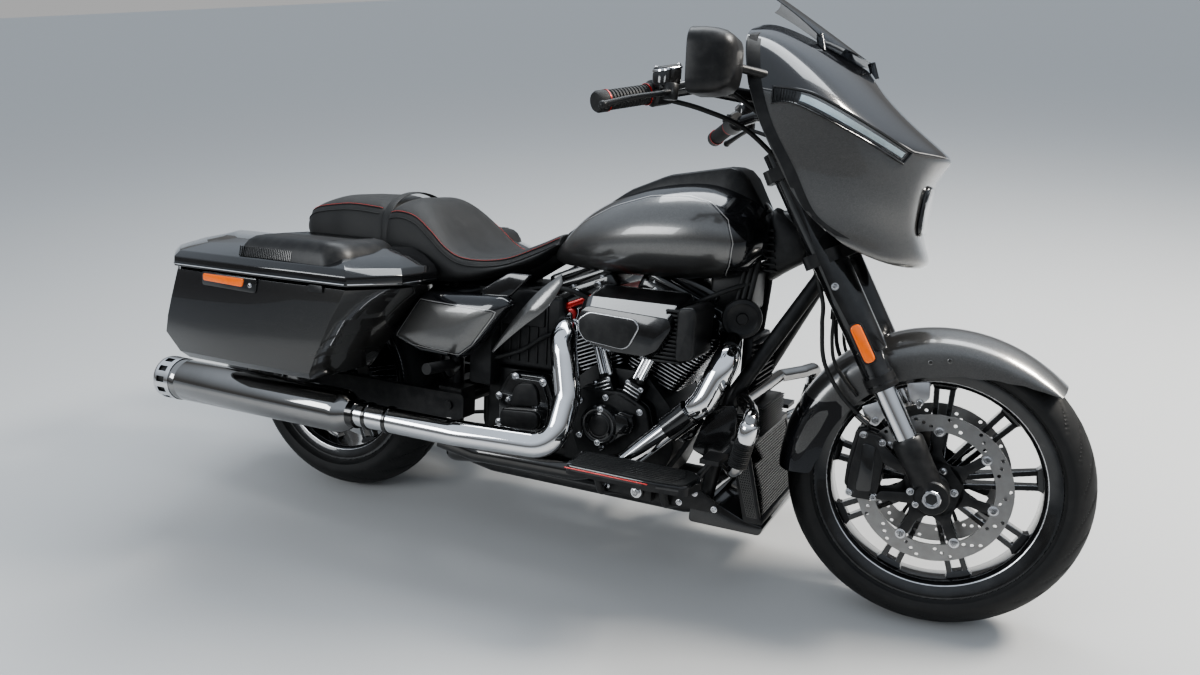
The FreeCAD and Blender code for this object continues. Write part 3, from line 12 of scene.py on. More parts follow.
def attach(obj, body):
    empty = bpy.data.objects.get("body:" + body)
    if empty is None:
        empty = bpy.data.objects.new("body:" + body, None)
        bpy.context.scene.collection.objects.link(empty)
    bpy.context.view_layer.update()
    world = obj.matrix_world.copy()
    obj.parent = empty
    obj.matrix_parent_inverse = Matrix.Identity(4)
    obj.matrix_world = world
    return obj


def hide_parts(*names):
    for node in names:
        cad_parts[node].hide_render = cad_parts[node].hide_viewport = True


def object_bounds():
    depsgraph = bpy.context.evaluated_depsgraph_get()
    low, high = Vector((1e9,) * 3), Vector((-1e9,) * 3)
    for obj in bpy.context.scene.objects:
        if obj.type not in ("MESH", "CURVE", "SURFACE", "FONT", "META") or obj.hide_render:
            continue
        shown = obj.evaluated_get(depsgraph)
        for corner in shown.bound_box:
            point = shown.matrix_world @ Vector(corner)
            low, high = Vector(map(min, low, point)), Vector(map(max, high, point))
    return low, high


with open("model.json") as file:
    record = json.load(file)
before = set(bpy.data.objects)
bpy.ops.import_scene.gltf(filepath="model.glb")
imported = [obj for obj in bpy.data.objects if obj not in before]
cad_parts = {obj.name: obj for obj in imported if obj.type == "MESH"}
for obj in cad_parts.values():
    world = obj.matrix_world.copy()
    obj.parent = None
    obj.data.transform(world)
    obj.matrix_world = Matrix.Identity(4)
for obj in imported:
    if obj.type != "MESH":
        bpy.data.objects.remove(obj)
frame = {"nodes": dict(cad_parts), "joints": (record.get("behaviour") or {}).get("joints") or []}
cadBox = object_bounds()
print("frame loaded:", len(frame["nodes"]), "nodes")

bike = {
    "rearAxleZ": 327.6,
    "frontAxle": (1625.0, 0.0, 319.3),
    "steerFoot": (1795.0, 0.0, 0.0),
    "rakeDeg": 26.0,
    "steerRestDeg": 4.5,
}
axleX, axleZ = bike["frontAxle"][0], bike["frontAxle"][2]


def jointNamed(name):
    return next(j for j in frame["joints"] if j["name"] == name)


# The frame's own axes: ahead, left and up of the leaned bike
leftDir = Vector(jointNamed("rear_wheel_spin")["axis"]).normalized()
aheadDir = Vector(jointNamed("lid_right_open")["axis"]).normalized()
upDir = aheadDir.cross(leftDir).normalized()
origin = Vector(jointNamed("rear_wheel_spin")["pos_m"]) - upDir * bike["rearAxleZ"] * 0.001
mm = 0.001
bikeFrame = Matrix((
    (aheadDir.x * mm, leftDir.x * mm, upDir.x * mm, origin.x),
    (aheadDir.y * mm, leftDir.y * mm, upDir.y * mm, origin.y),
    (aheadDir.z * mm, leftDir.z * mm, upDir.z * mm, origin.z),
    (0, 0, 0, 1),
))
rake = math.radians(bike["rakeDeg"])
steerAxis = Vector((-math.sin(rake), 0, math.cos(rake)))
steerFoot = Vector(bike["steerFoot"])
steerTurn = (
    Matrix.Translation(steerFoot)
    @ Matrix.Rotation(math.radians(bike["steerRestDeg"]), 4, steerAxis)
    @ Matrix.Translation(-steerFoot)
)
frontFrame = bikeFrame @ steerTurn


# Helpers, one for each kind of form
def vec(x, y, z):
    return Vector((x, y, z))


def meshObject(name, verts, faces, indices=None):
    mesh = bpy.data.meshes.new(name)
    mesh.from_pydata([tuple(v) for v in verts], [], faces)
    if indices:
        mesh.polygons.foreach_set("material_index", indices)
    mesh.update()
    obj = bpy.data.objects.new(name, mesh)
    bpy.context.scene.collection.objects.link(obj)
    return obj


def baked(obj):
    # the object's modifiers become its plain mesh
    graph = bpy.context.evaluated_depsgraph_get()
    mesh = bpy.data.meshes.new_from_object(obj.evaluated_get(graph))
    obj.modifiers.clear()
    if obj.type == "MESH":
        obj.data = mesh
        return obj
    name = obj.name
    collection = bpy.context.scene.collection
    collection.objects.unlink(obj)
    obj.name = name + ".line"
    made = bpy.data.objects.new(name, mesh)
    collection.objects.link(made)
    return made


def settle(obj, body, slot, materials, replaces=(), sharp=34.0, flat=False):
    # stands the mesh in the frame, turned with the fork if it is steered, and lets it ride on its body
    if obj.modifiers or obj.type != "MESH":
        obj = baked(obj)
    mesh = obj.data
    if not isinstance(materials, (list, tuple)):
        materials = [materials]
    kept = [0] * len(mesh.polygons)
    mesh.polygons.foreach_get("material_index", kept)
    mesh.materials.clear()
    for material in materials:
        mesh.materials.append(material)
    mesh.polygons.foreach_set("material_index", [min(k, len(materials) - 1) for k in kept])
    mesh.transform(frontFrame if body in ("steering", "front_wheel") else bikeFrame)
    if not flat:
        mesh.shade_smooth()
        mesh.set_sharp_from_angle(angle=math.radians(sharp))
    mesh.update()
    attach(obj, body)
    if replaces:
        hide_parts(*replaces)
    return obj


def joinMeshes(name, objects):
    # one object from several, in the order given, with their material numbers kept
    verts, faces, indices = [], [], []
    for obj in objects:
        if obj.modifiers:
            obj = baked(obj)
        base = len(verts)
        verts += [v.co.copy() for v in obj.data.vertices]
        faces += [[base + i for i in p.vertices] for p in obj.data.polygons]
        indices += [p.material_index for p in obj.data.polygons]
        bpy.data.objects.remove(obj)
    return meshObject(name, verts, faces, indices)


def settleJoined(name, objects, *where, **more):
    return settle(joinMeshes(name, objects), *where, **more)


def bevelled(obj, width, segments=2, angle=30.0):
    bevel = obj.modifiers.new("bevel", "BEVEL")
    bevel.width = width
    bevel.segments = segments
    bevel.limit_method = "ANGLE"
    bevel.angle_limit = math.radians(angle)
    return obj


def subdivided(obj, levels=2):
    sub = obj.modifiers.new("subdivision", "SUBSURF")
    sub.levels = levels
    sub.render_levels = levels
    return obj


def thickened(obj, wall, offset=-1.0):
    shell = obj.modifiers.new("wall", "SOLIDIFY")
    shell.thickness = wall
    shell.offset = offset
    shell.use_even_offset = True
    return obj


def outward(obj, merge=0.01):
    # doubles merged and every face turned outward
    bm = bmesh.new()
    bm.from_mesh(obj.data)
    if merge:
        bmesh.ops.remove_doubles(bm, verts=bm.verts, dist=merge)
    bmesh.ops.recalc_face_normals(bm, faces=bm.faces)
    bm.to_mesh(obj.data)
    bm.free()
    return obj


def mirrored(obj):
    # the same piece on the other side
    verts = [vec(v.co.x, -v.co.y, v.co.z) for v in obj.data.vertices]
    faces = [list(reversed(p.vertices)) for p in obj.data.polygons]
    indices = [p.material_index for p in obj.data.polygons]
    return meshObject(obj.name + "Left", verts, faces, indices)


def bothSides(name, obj):
    if obj.modifiers:
        obj = baked(obj)
    return joinMeshes(name, [obj, mirrored(obj)])


def gridObject(name, rows, closedRows=False, closedCols=False, caps=False):
    # rows of points, all of one length, joined by four-sided faces
    wide, deep = len(rows[0]), len(rows)
    faces = []
    for i in range(deep if closedCols else deep - 1):
        for j in range(wide if closedRows else wide - 1):
            near, far, beside = i * wide, (i + 1) % deep * wide, (j + 1) % wide
            faces.append((near + j, near + beside, far + beside, far + j))
    if caps:
        faces.append(tuple(reversed(range(wide))))
        faces.append(tuple((deep - 1) * wide + j for j in range(wide)))
    return meshObject(name, [p for row in rows for p in row], faces)


def ringOf(centre, axis, radius, count):
    axis = Vector(axis).normalized()
    side = axis.orthogonal().normalized()
    other = axis.cross(side)
    angles = [math.tau * k / count for k in range(count)]
    return [Vector(centre) + (side * math.cos(a) + other * math.sin(a)) * radius for a in angles]


def lathe(name, profile, start, axis, steps=48):
    # (distance along the axis, radius) turned about a line; radius 0 closes an end
    ahead = Vector(axis).normalized()
    rows = [ringOf(Vector(start) + ahead * along, axis, max(radius, 0.001), steps)
            for along, radius in profile]
    return outward(gridObject(name, rows, closedRows=True))


def rodBetween(name, a, b, radius, steps=24, chamfer=0.8):
    a, b = Vector(a), Vector(b)
    length = (b - a).length
    c = min(chamfer, radius * 0.5, length * 0.4)
    profile = [(0, 0), (0, radius - c), (c, radius), (length - c, radius), (length, radius - c),
               (length, 0)]
    return lathe(name, profile, a, b - a, steps)


def slab(name, outline, depth, toWorld, bevel=0.0, segments=2):
    # a flat outline [(u, v)] with a thickness, placed by toWorld(u, v, w)
    count = len(outline)
    verts = [toWorld(u, v, 0) for u, v in outline] + [toWorld(u, v, depth) for u, v in outline]
    faces = [tuple(reversed(range(count))), tuple(range(count, 2 * count))]
    faces += [(i, (i + 1) % count, count + (i + 1) % count, count + i) for i in range(count)]
    obj = outward(meshObject(name, verts, faces))
    return bevelled(obj, bevel, segments) if bevel else obj


def roundedOutline(corners, radius, steps=5):
    # an outline with its corners rounded
    count = len(corners)
    made = []
    for i in range(count):
        corner = Vector(corners[i])
        before, after = Vector(corners[i - 1]) - corner, Vector(corners[(i + 1) % count]) - corner
        reach = min(radius, before.length * 0.48, after.length * 0.48)
        a, b = corner + before.normalized() * reach, corner + after.normalized() * reach
        for k in range(steps + 1):
            t = k / steps
            made.append(tuple(a * (1 - t) ** 2 + corner * 2 * t * (1 - t) + b * t ** 2))
    return made


def wireAlong(name, points, radius, steps):
    # a bead or wire along its points
    curve = bpy.data.curves.new(name, "CURVE")
    curve.dimensions = "3D"
    spline = curve.splines.new("POLY")
    spline.points.add(len(points) - 1)
    for k, p in enumerate(points):
        spline.points[k].co = (*p, 1)
    curve.bevel_depth = radius
    curve.bevel_resolution = max(1, steps // 4)
    curve.use_fill_caps = True
    obj = bpy.data.objects.new(name, curve)
    bpy.context.scene.collection.objects.link(obj)
    return baked(obj)


def facing(y, turn=1):
    # stands a flat outline of (x, z) at y; its depth runs to the left, or to the right where turn is -1
    return lambda u, v, w: vec(u, y + turn * w, v)


def flatSlab(name, outline, y, depth, corner=6.0, bevel=2.5):
    # an outline in (x, z) on the right side, its face towards the viewer
    return slab(name, roundedOutline(outline, corner, 4), depth, facing(y, -1), bevel, 3)


def scaledOutline(outline, share):
    middle = [sum(axis) / len(outline) for axis in zip(*outline)]
    return [(middle[0] + (u - middle[0]) * share, middle[1] + (v - middle[1]) * share) for u, v in outline]


def pillow(name, outline, levels, place):
    # an outline drawn again at each (height, share), closed at both ends
    rows = [[place(u, v, w) for u, v in scaledOutline(outline, share)] for w, share in levels]
    return outward(gridObject(name, rows, closedRows=True, caps=True))


def sweptTube(name, path, radius, steps=32, radii=None):
    # a round tube whose rings turn with the path
    rings = []
    angles = [math.tau * k / steps for k in range(steps)]
    side = (path[1] - path[0]).orthogonal().normalized()
    for i, p in enumerate(path):
        before, after = path[max(i - 1, 0)], path[min(i + 1, len(path) - 1)]
        along = (after - before).normalized()
        side = (side - along * side.dot(along)).normalized()
        other = along.cross(side)
        r = radii[i] if radii else radius
        rings.append([p + (side * math.cos(a) + other * math.sin(a)) * r for a in angles])
    return outward(gridObject(name, rings, closedRows=True, caps=True))


def barMesh(name, corners, across, down, width, depth):
    # crossed bars over a four-cornered field; corners run round it
    a, b, c, d = (Vector(corner) for corner in corners)
    normal = (b - a).cross(d - a).normalized()
    lines = [(a.lerp(b, k / across), d.lerp(c, k / across)) for k in range(across + 1)]
    lines += [(a.lerp(d, k / down), b.lerp(c, k / down)) for k in range(down + 1)]
    verts, faces = [], []
    for n, (p, q) in enumerate(lines):
        wide = (q - p).cross(normal).normalized() * width / 2
        foot = [p - wide, p + wide, q + wide, q - wide]
        verts += foot + [v + normal * depth for v in foot]
        sides = ((0, 3, 2, 1), (4, 5, 6, 7), (0, 1, 5, 4), (1, 2, 6, 5), (2, 3, 7, 6), (3, 0, 4, 7))
        faces += [tuple(n * 8 + k for k in side) for side in sides]
    return outward(meshObject(name, verts, faces), merge=None)


def boxPiece(name, low, high, bevel=2.0, segments=2):
    (x0, y0, z0), (x1, y1, z1) = low, high
    return slab(name, [(x0, y0), (x1, y0), (x1, y1), (x0, y1)], z1 - z0,
                lambda u, v, w: vec(u, v, z0 + w), bevel, segments)


def smoothLine(points, count):
    # count points evenly spaced in parameter on a curve through the given ones
    points = [Vector(p) for p in points]
    made = []
    for k in range(count):
        t = k / (count - 1) * (len(points) - 1)
        i = min(int(t), len(points) - 2)
        f = t - i
        p0 = points[max(i - 1, 0)]
        p1, p2 = points[i], points[i + 1]
        p3 = points[min(i + 2, len(points) - 1)]
        made.append(0.5 * (2 * p1 + (p2 - p0) * f + (2 * p0 - 5 * p1 + 4 * p2 - p3) * f * f
                           + (3 * p1 - 3 * p2 + p3 - p0) * f ** 3))
    return made


# Shader groups, each built once and placed in many materials
def addNode(tree, kind, **settings):
    node = tree.nodes.new(kind)
    for key, value in settings.items():
        if key in node.inputs:
            node.inputs[key].default_value = value
        else:
            setattr(node, key, value)
    return node


def wire(tree, nodes, routes):
    # routes such as "at.Object > cells.Vector"; a number picks a socket by its place
    for route in routes.split(", "):
        (source, output), (target, entry) = (end.split(".") for end in route.split(" > "))
        output, entry = (int(s) if s.isdigit() else s for s in (output, entry))
        tree.links.new(nodes[source].outputs[output], nodes[target].inputs[entry])


def newGroup(name, inputs, outputs):
    # a group with its named inputs and outputs, and its ends and coordinates by name
    group = bpy.data.node_groups.new(name, "ShaderNodeTree")
    for socket, kind, value in inputs:
        made = group.interface.new_socket(name=socket, in_out="INPUT", socket_type="NodeSocket" + kind)
        made.default_value = value
    for socket, kind in outputs:
        group.interface.new_socket(name=socket, in_out="OUTPUT", socket_type="NodeSocket" + kind)
    return group, {"given": group.nodes.new("NodeGroupInput"), "out": group.nodes.new("NodeGroupOutput"),
                   "at": addNode(group, "ShaderNodeTexCoord")}


def flakeGroup():
    # metallic paint: small bright flakes over a base colour
    group, nodes = newGroup("flakeTone", (
        ("Colour", "Color", (0.3, 0.3, 0.3, 1)), ("Flake", "Color", (0.8, 0.8, 0.8, 1)),
        ("Size", "Float", 2200.0), ("Amount", "Float", 0.3)), (("Colour", "Color"),))
    nodes.update(
        cells=addNode(group, "ShaderNodeTexVoronoi", feature="F1"),
        split=addNode(group, "ShaderNodeSeparateColor"),
        pick=addNode(group, "ShaderNodeMapRange", **{"From Min": 0.55, "From Max": 1.0}),
        amount=addNode(group, "ShaderNodeMath", operation="MULTIPLY"),
        mix=addNode(group, "ShaderNodeMix", data_type="RGBA"))
    wire(group, nodes, "at.Object > cells.Vector, given.Size > cells.Scale, cells.Color > split.Color, "
         "split.Red > pick.Value, pick.Result > amount.0, given.Amount > amount.1, "
         "amount.Value > mix.Factor, given.Colour > mix.A, given.Flake > mix.B, mix.Result > out.Colour")
    return group


def grainGroup():
    # leather and moulded grain: raised cells with creases between, over a finer noise
    group, nodes = newGroup("grainHeight", (("Size", "Float", 400.0), ("Crease", "Float", 0.5)),
                            (("Height", "Float"),))
    nodes.update(
        cells=addNode(group, "ShaderNodeTexVoronoi", feature="DISTANCE_TO_EDGE"),
        fine=addNode(group, "ShaderNodeTexNoise", Detail=4.0),
        larger=addNode(group, "ShaderNodeMath", operation="MULTIPLY"),
        edge=addNode(group, "ShaderNodeMapRange", **{"From Max": 0.12}),
        total=addNode(group, "ShaderNodeMix", data_type="FLOAT"))
    nodes["larger"].inputs[1].default_value = 2.3
    wire(group, nodes, "at.Object > cells.Vector, at.Object > fine.Vector, given.Size > cells.Scale, "
         "given.Size > larger.0, larger.Value > fine.Scale, cells.Distance > edge.Value, "
         "given.Crease > total.Factor, fine.Fac > total.A, edge.Result > total.B, total.Result > out.Height")
    return group


def wearGroup():
    # a little dust and handling: noise that lifts the roughness and lightens the colour
    group, nodes = newGroup("handledTone", (
        ("Clean", "Color", (0.02, 0.02, 0.02, 1)), ("Dusty", "Color", (0.2, 0.2, 0.2, 1)),
        ("Low", "Float", 0.2), ("High", "Float", 0.3), ("Size", "Float", 60.0)),
        (("Colour", "Color"), ("Roughness", "Float")))
    nodes.update(
        cloud=addNode(group, "ShaderNodeTexNoise", Detail=8.0, Roughness=0.62),
        band=addNode(group, "ShaderNodeMapRange", **{"From Min": 0.42, "From Max": 0.78}),
        mix=addNode(group, "ShaderNodeMix", data_type="RGBA"),
        rough=addNode(group, "ShaderNodeMapRange"))
    wire(group, nodes, "at.Object > cloud.Vector, given.Size > cloud.Scale, cloud.Fac > band.Value, "
         "band.Result > mix.Factor, given.Clean > mix.A, given.Dusty > mix.B, cloud.Fac > rough.Value, "
         "given.Low > rough.To Min, given.High > rough.To Max, mix.Result > out.Colour, "
         "rough.Result > out.Roughness")
    return group


def brushGroup():
    # turned or brushed metal: fine lines drawn out along one direction
    group, nodes = newGroup("brushLines", (
        ("Stretch", "Vector", (900.0, 900.0, 20.0)), ("Low", "Float", 0.2), ("High", "Float", 0.4)),
        (("Height", "Float"), ("Roughness", "Float")))
    nodes.update(
        scale=addNode(group, "ShaderNodeVectorMath", operation="MULTIPLY"),
        lines=addNode(group, "ShaderNodeTexNoise", Scale=1.0, Detail=3.0),
        rough=addNode(group, "ShaderNodeMapRange"))
    wire(group, nodes, "at.Object > scale.0, given.Stretch > scale.1, scale.Vector > lines.Vector, "
         "lines.Fac > rough.Value, given.Low > rough.To Min, given.High > rough.To Max, "
         "lines.Fac > out.Height, rough.Result > out.Roughness")
    return group


groups = {"flake": flakeGroup(), "grain": grainGroup(), "wear": wearGroup(), "brush": brushGroup()}


def newMaterial(name, constants):
    material = bpy.data.materials.new(name)
    material.use_nodes = True
    shader = material.node_tree.nodes["Principled BSDF"]
    for socket, value in constants.items():
        shader.inputs[socket].default_value = value
    return material, material.node_tree, shader


def finish(name, colour, metallic=0.0, rough=(0.2, 0.3), dusty=None, wearSize=45.0, coat=0.0, coatRough=0.03,
           flake=None, grain=None, brush=None, glass=0.0, glow=((1, 1, 1), 0), bump=0.2, bumpDepth=0.0004,
           sheen=0.0):
    # one material: colours and patterns from the groups, constants on the shader itself
    material, tree, shader = newMaterial(name, {
        "Metallic": metallic, "Coat Weight": coat, "Coat Roughness": coatRough, "Transmission Weight": glass,
        "IOR": 1.45, "Sheen Weight": sheen, "Emission Color": (*glow[0], 1), "Emission Strength": glow[1],
        "Base Color": (*colour, 1)})
    link = tree.links.new
    low, high = rough
    dusty = dusty or [min(1.0, c * 1.25 + 0.004) for c in colour]
    wear = addNode(tree, "ShaderNodeGroup", node_tree=groups["wear"], Clean=(*colour, 1), Dusty=(*dusty, 1),
                   Low=low, High=high, Size=wearSize)
    link(wear.outputs["Roughness"], shader.inputs["Roughness"])
    if glass:
        return material
    tone, height = wear.outputs["Colour"], None
    if flake:
        flakes = addNode(tree, "ShaderNodeGroup", node_tree=groups["flake"], Flake=(*flake[0], 1),
                         Size=flake[1], Amount=flake[2])
        link(tone, flakes.inputs["Colour"])
        tone = flakes.outputs["Colour"]
    link(tone, shader.inputs["Base Color"])
    if grain:
        grained = addNode(tree, "ShaderNodeGroup", node_tree=groups["grain"], Size=grain[0],
                          Crease=grain[1])
        height = grained.outputs["Height"]
    if brush:
        brushed = addNode(tree, "ShaderNodeGroup", node_tree=groups["brush"], Stretch=brush, Low=low,
                          High=high)
        link(brushed.outputs["Roughness"], shader.inputs["Roughness"])
        height = brushed.outputs["Height"]
    if height:
        relief = addNode(tree, "ShaderNodeBump", Strength=bump, Distance=bumpDepth)
        link(height, relief.inputs["Height"])
        link(relief.outputs["Normal"], shader.inputs["Normal"])
    return material


# Finishes, by the names a painter would use: colour, metallic, roughness, dusty colour, wear size, coat
paintGrey = finish("paintGrey", (0.135, 0.133, 0.129), 0.75, (0.24, 0.33), (0.155, 0.152, 0.146), 9.0, 1.0,
                   0.03, flake=((0.5, 0.49, 0.48), 2600.0, 0.4))
paintBlack = finish("paintBlack", (0.006, 0.006, 0.0065), 0.0, (0.08, 0.14), (0.012, 0.012, 0.013), 9.0,
                    1.0, 0.02, flake=((0.05, 0.05, 0.055), 3000.0, 0.25))
glossBlack = finish("glossBlack", (0.009, 0.009, 0.0095), 0.0, (0.1, 0.2), (0.03, 0.03, 0.03), 30.0, 0.8,
                    0.05)
satinBlack = finish("satinBlack", (0.014, 0.014, 0.0145), 0.1, (0.32, 0.46), (0.035, 0.034, 0.033), 40.0,
                    grain=(900.0, 0.2), bump=0.08)
engineBlack = finish("engineBlack", (0.012, 0.012, 0.0125), 0.15, (0.38, 0.52), (0.03, 0.03, 0.029), 55.0,
                     grain=(620.0, 0.15), bump=0.3)
finEdge = finish("finEdge", (0.62, 0.62, 0.63), 1.0, (0.2, 0.34), None, 60.0, brush=(40.0, 1400.0, 40.0),
                 bump=0.05)
chrome = finish("chrome", (0.78, 0.78, 0.79), 1.0, (0.03, 0.075), (0.74, 0.74, 0.74), 25.0)
darkChrome = finish("darkChrome", (0.33, 0.325, 0.32), 1.0, (0.05, 0.11), (0.3, 0.295, 0.29), 18.0)
blackChrome = finish("blackChrome", (0.1, 0.098, 0.096), 1.0, (0.07, 0.14), (0.12, 0.118, 0.115), 18.0)
steel = finish("steel", (0.5, 0.5, 0.51), 1.0, (0.24, 0.38), (0.42, 0.41, 0.4), 40.0,
               brush=(700.0, 30.0, 700.0), bump=0.12)
discSteel = finish("discSteel", (0.36, 0.355, 0.35), 1.0, (0.26, 0.4), (0.3, 0.29, 0.28), 40.0,
                   brush=(26.0, 900.0, 26.0), bump=0.08)
fastener = finish("fastener", (0.66, 0.66, 0.67), 1.0, (0.14, 0.24), None, 80.0)
redTrim = finish("redTrim", (0.42, 0.012, 0.008), 0.35, (0.24, 0.34), (0.5, 0.03, 0.02), 60.0, 0.4, 0.1)
tyreRubber = finish("tyreRubber", (0.009, 0.009, 0.009), 0.0, (0.5, 0.7), (0.02, 0.0195, 0.019), 30.0,
                    grain=(520.0, 0.3), bump=0.15)
softRubber = finish("softRubber", (0.014, 0.014, 0.014), 0.0, (0.5, 0.66), (0.03, 0.03, 0.029), 60.0,
                    grain=(700.0, 0.3))
mouldedBlack = finish("mouldedBlack", (0.013, 0.013, 0.0135), 0.0, (0.4, 0.56), (0.03, 0.03, 0.03), 45.0,
                      grain=(1100.0, 0.35), bump=0.25)
leather = finish("leather", (0.011, 0.0107, 0.0103), 0.0, (0.44, 0.58), (0.02, 0.0195, 0.019), 26.0,
                 grain=(330.0, 0.6), bump=0.42, bumpDepth=0.0006, sheen=0.05)
redThread = finish("redThread", (0.5, 0.02, 0.012), 0.0, (0.5, 0.6), None, 200.0, grain=(1500.0, 0.4),
                   bump=0.5)
# amber lens with a faint glow: on the bag marker lamps the glow is their light, on the fork reflectors, which
# are no lamps, it is a painted glow
amberLens = finish("amberLens", (0.9, 0.17, 0.02), 0.0, (0.06, 0.1), (0.95, 0.22, 0.03), 60.0, 1.0, 0.03,
                   glow=((1.0, 0.16, 0.01), 0.12))
redLens = finish("redLens", (0.45, 0.008, 0.006), 0.0, (0.06, 0.1), None, 60.0, 1.0, 0.03,
                 glow=((1.0, 0.02, 0.01), 0.05))
smokedGlass = finish("smokedGlass", (0.07, 0.075, 0.085), 0.0, (0.0, 0.02), None, 20.0, glass=0.85)
lampGlass = finish("lampGlass", (0.93, 0.95, 0.97), 0.0, (0.0, 0.02), None, 20.0, glass=0.95)
lampCore = finish("lampCore", (0.5, 0.58, 0.6), 0.6, (0.1, 0.18), None, 60.0, 1.0, 0.02,
                  glow=((0.6, 0.75, 0.8), 0.15))
mirrorGlass = finish("mirrorGlass", (0.82, 0.83, 0.84), 1.0, (0.01, 0.03), None, 20.0)
print("finishes made:", len(bpy.data.materials))

# Every node of the frame gets the finish of the real piece; the rest is satin black
nodeFinish = {}
for material, named in (
        (engineBlack, "cylinders crankcase"), (leather, "seat"), (softRubber, "belt hand_grips"),
        (glossBlack, "rocker_covers primary_cover air_cleaner engine_guard fork_sliders fork_lugs"),
        (glossBlack, "fork_covers handlebar mirrors front_wheel rear_wheel fuel_door"),
        (mouldedBlack, "fairing_inner"),
        (chrome, "pushrod_tubes exhaust_headers fork_stanchions"), (tyreRubber, "front_tyre rear_tyre"),
        (paintGrey, "fuel_tank side_covers front_fender fairing_outer"), (discSteel, "front_discs rear_disc"),
        (paintBlack, "rear_fender saddlebags lid_left lid_right"), (darkChrome, "muffler_right muffler_left"),
        (smokedGlass, "windshield"), (lampGlass, "headlamp")):
    nodeFinish.update(dict.fromkeys(named.split(), material))
for nodeName, node in frame["nodes"].items():
    node.data.materials.clear()
    node.data.materials.append(nodeFinish.get(nodeName, satinBlack))


# Two-tone paint follows an attribute that holds the distance to the painted edge, in millimetres
def outlineDistance(points):
    # a function of two coordinates: distance to the outline, positive inside
    count = len(points)

    def measure(u, v):
        inside, best = False, 1e9
        for i in range(count):
            (ax, ay), (bx, by) = points[i], points[(i + 1) % count]
            dx, dy = bx - ax, by - ay
            t = max(0.0, min(1.0, ((u - ax) * dx + (v - ay) * dy) / (dx * dx + dy * dy + 1e-9)))
            best = min(best, math.hypot(u - ax - t * dx, v - ay - t * dy))
            if (ay > v) != (by > v) and u < ax + (v - ay) * dx / dy:
                inside = not inside
        return best if inside else -best

    return measure


def markPaint(obj, measure):
    edge = obj.data.attributes.new("paintEdge", "FLOAT", "POINT")
    edge.data.foreach_set("value", [measure(v.co) for v in obj.data.vertices])


def twoTonePaint(name, outer, inner, soft=0.6, line=None):
    # outer and inner are (colour, flake colour, metallic, roughness); line is (colour, from mm, to mm)
    material, tree, shader = newMaterial(name, {"Coat Weight": 1.0, "Coat Roughness": 0.02})
    link = tree.links.new
    edge = addNode(tree, "ShaderNodeAttribute", attribute_name="paintEdge")
    step = addNode(tree, "ShaderNodeMapRange", **{"From Min": -soft, "From Max": soft})
    mix = addNode(tree, "ShaderNodeMix", data_type="RGBA")
    link(edge.outputs["Fac"], step.inputs["Value"])
    link(step.outputs["Result"], mix.inputs["Factor"])
    for end, tone in (("A", outer), ("B", inner)):
        flakes = addNode(tree, "ShaderNodeGroup", node_tree=groups["flake"], Colour=(*tone[0], 1),
                         Flake=(*tone[1], 1), Size=2600.0, Amount=0.4)
        link(flakes.outputs["Colour"], mix.inputs[end])
    colourOut = mix.outputs["Result"]
    if line:
        lineTone, start, end = line
        near = addNode(tree, "ShaderNodeMath", operation="COMPARE")
        near.inputs[1].default_value = (start + end) / 2
        near.inputs[2].default_value = (end - start) / 2
        lined = addNode(tree, "ShaderNodeMix", data_type="RGBA")
        lined.inputs["B"].default_value = (*lineTone, 1)
        link(edge.outputs["Fac"], near.inputs[0])
        link(near.outputs["Value"], lined.inputs["Factor"])
        link(colourOut, lined.inputs["A"])
        colourOut = lined.outputs["Result"]
    link(colourOut, shader.inputs["Base Color"])
    for socket, place in (("Metallic", 2), ("Roughness", 3)):
        varied = addNode(tree, "ShaderNodeMix", data_type="FLOAT")
        varied.inputs["A"].default_value = outer[place]
        varied.inputs["B"].default_value = inner[place]
        link(step.outputs["Result"], varied.inputs["Factor"])
        link(varied.outputs["Result"], shader.inputs[socket])
    return material


blackTone = ((0.006, 0.006, 0.0068), (0.05, 0.05, 0.06), 0.0, 0.14)
greyTone = ((0.125, 0.123, 0.119), (0.48, 0.47, 0.46), 0.75, 0.28)
fadeTone = ((0.035, 0.034, 0.032), (0.22, 0.21, 0.2), 0.6, 0.28)
lineColour = (0.34, 0.33, 0.32)
bodyPaint = twoTonePaint("bodyPaint", blackTone, greyTone, 0.5, (lineColour, -4.5, -2.5))
fenderPaint = twoTonePaint("fenderPaint", blackTone, greyTone, 0.5)
bagPaint = twoTonePaint("bagPaint", blackTone, fadeTone, 110.0)


def evenRows(rows, count):
    # the same surface with its rows resampled on a smooth curve through them
    return [list(row) for row in zip(*(smoothLine(column, count) for column in zip(*rows)))]


def reflectRows(rows):
    # right half rows (from the side to the middle) completed to the left side
    return [[Vector(p) for p in row] + [vec(p[0], -p[1], p[2]) for p in reversed(row[:-1])] for row in rows]


def surfaceTree(obj, back=Matrix()):
    # a search tree of the piece's surface; back undoes the frame of a piece that stands in it
    points = [back @ v.co for v in obj.data.vertices]
    return BVHTree.FromPolygons(points, [tuple(p.vertices) for p in obj.data.polygons])


def onSide(tree, p, lift):
    # the place on the right-hand surface that is seen from the side at (x, z), raised by lift
    hit, normal, _, _ = tree.ray_cast(vec(p.x, -900, p.z), vec(0, 1, 0))
    if not hit:
        return vec(p.x, -lift, p.z)
    return hit + (-normal if normal.y > 0 else normal) * lift


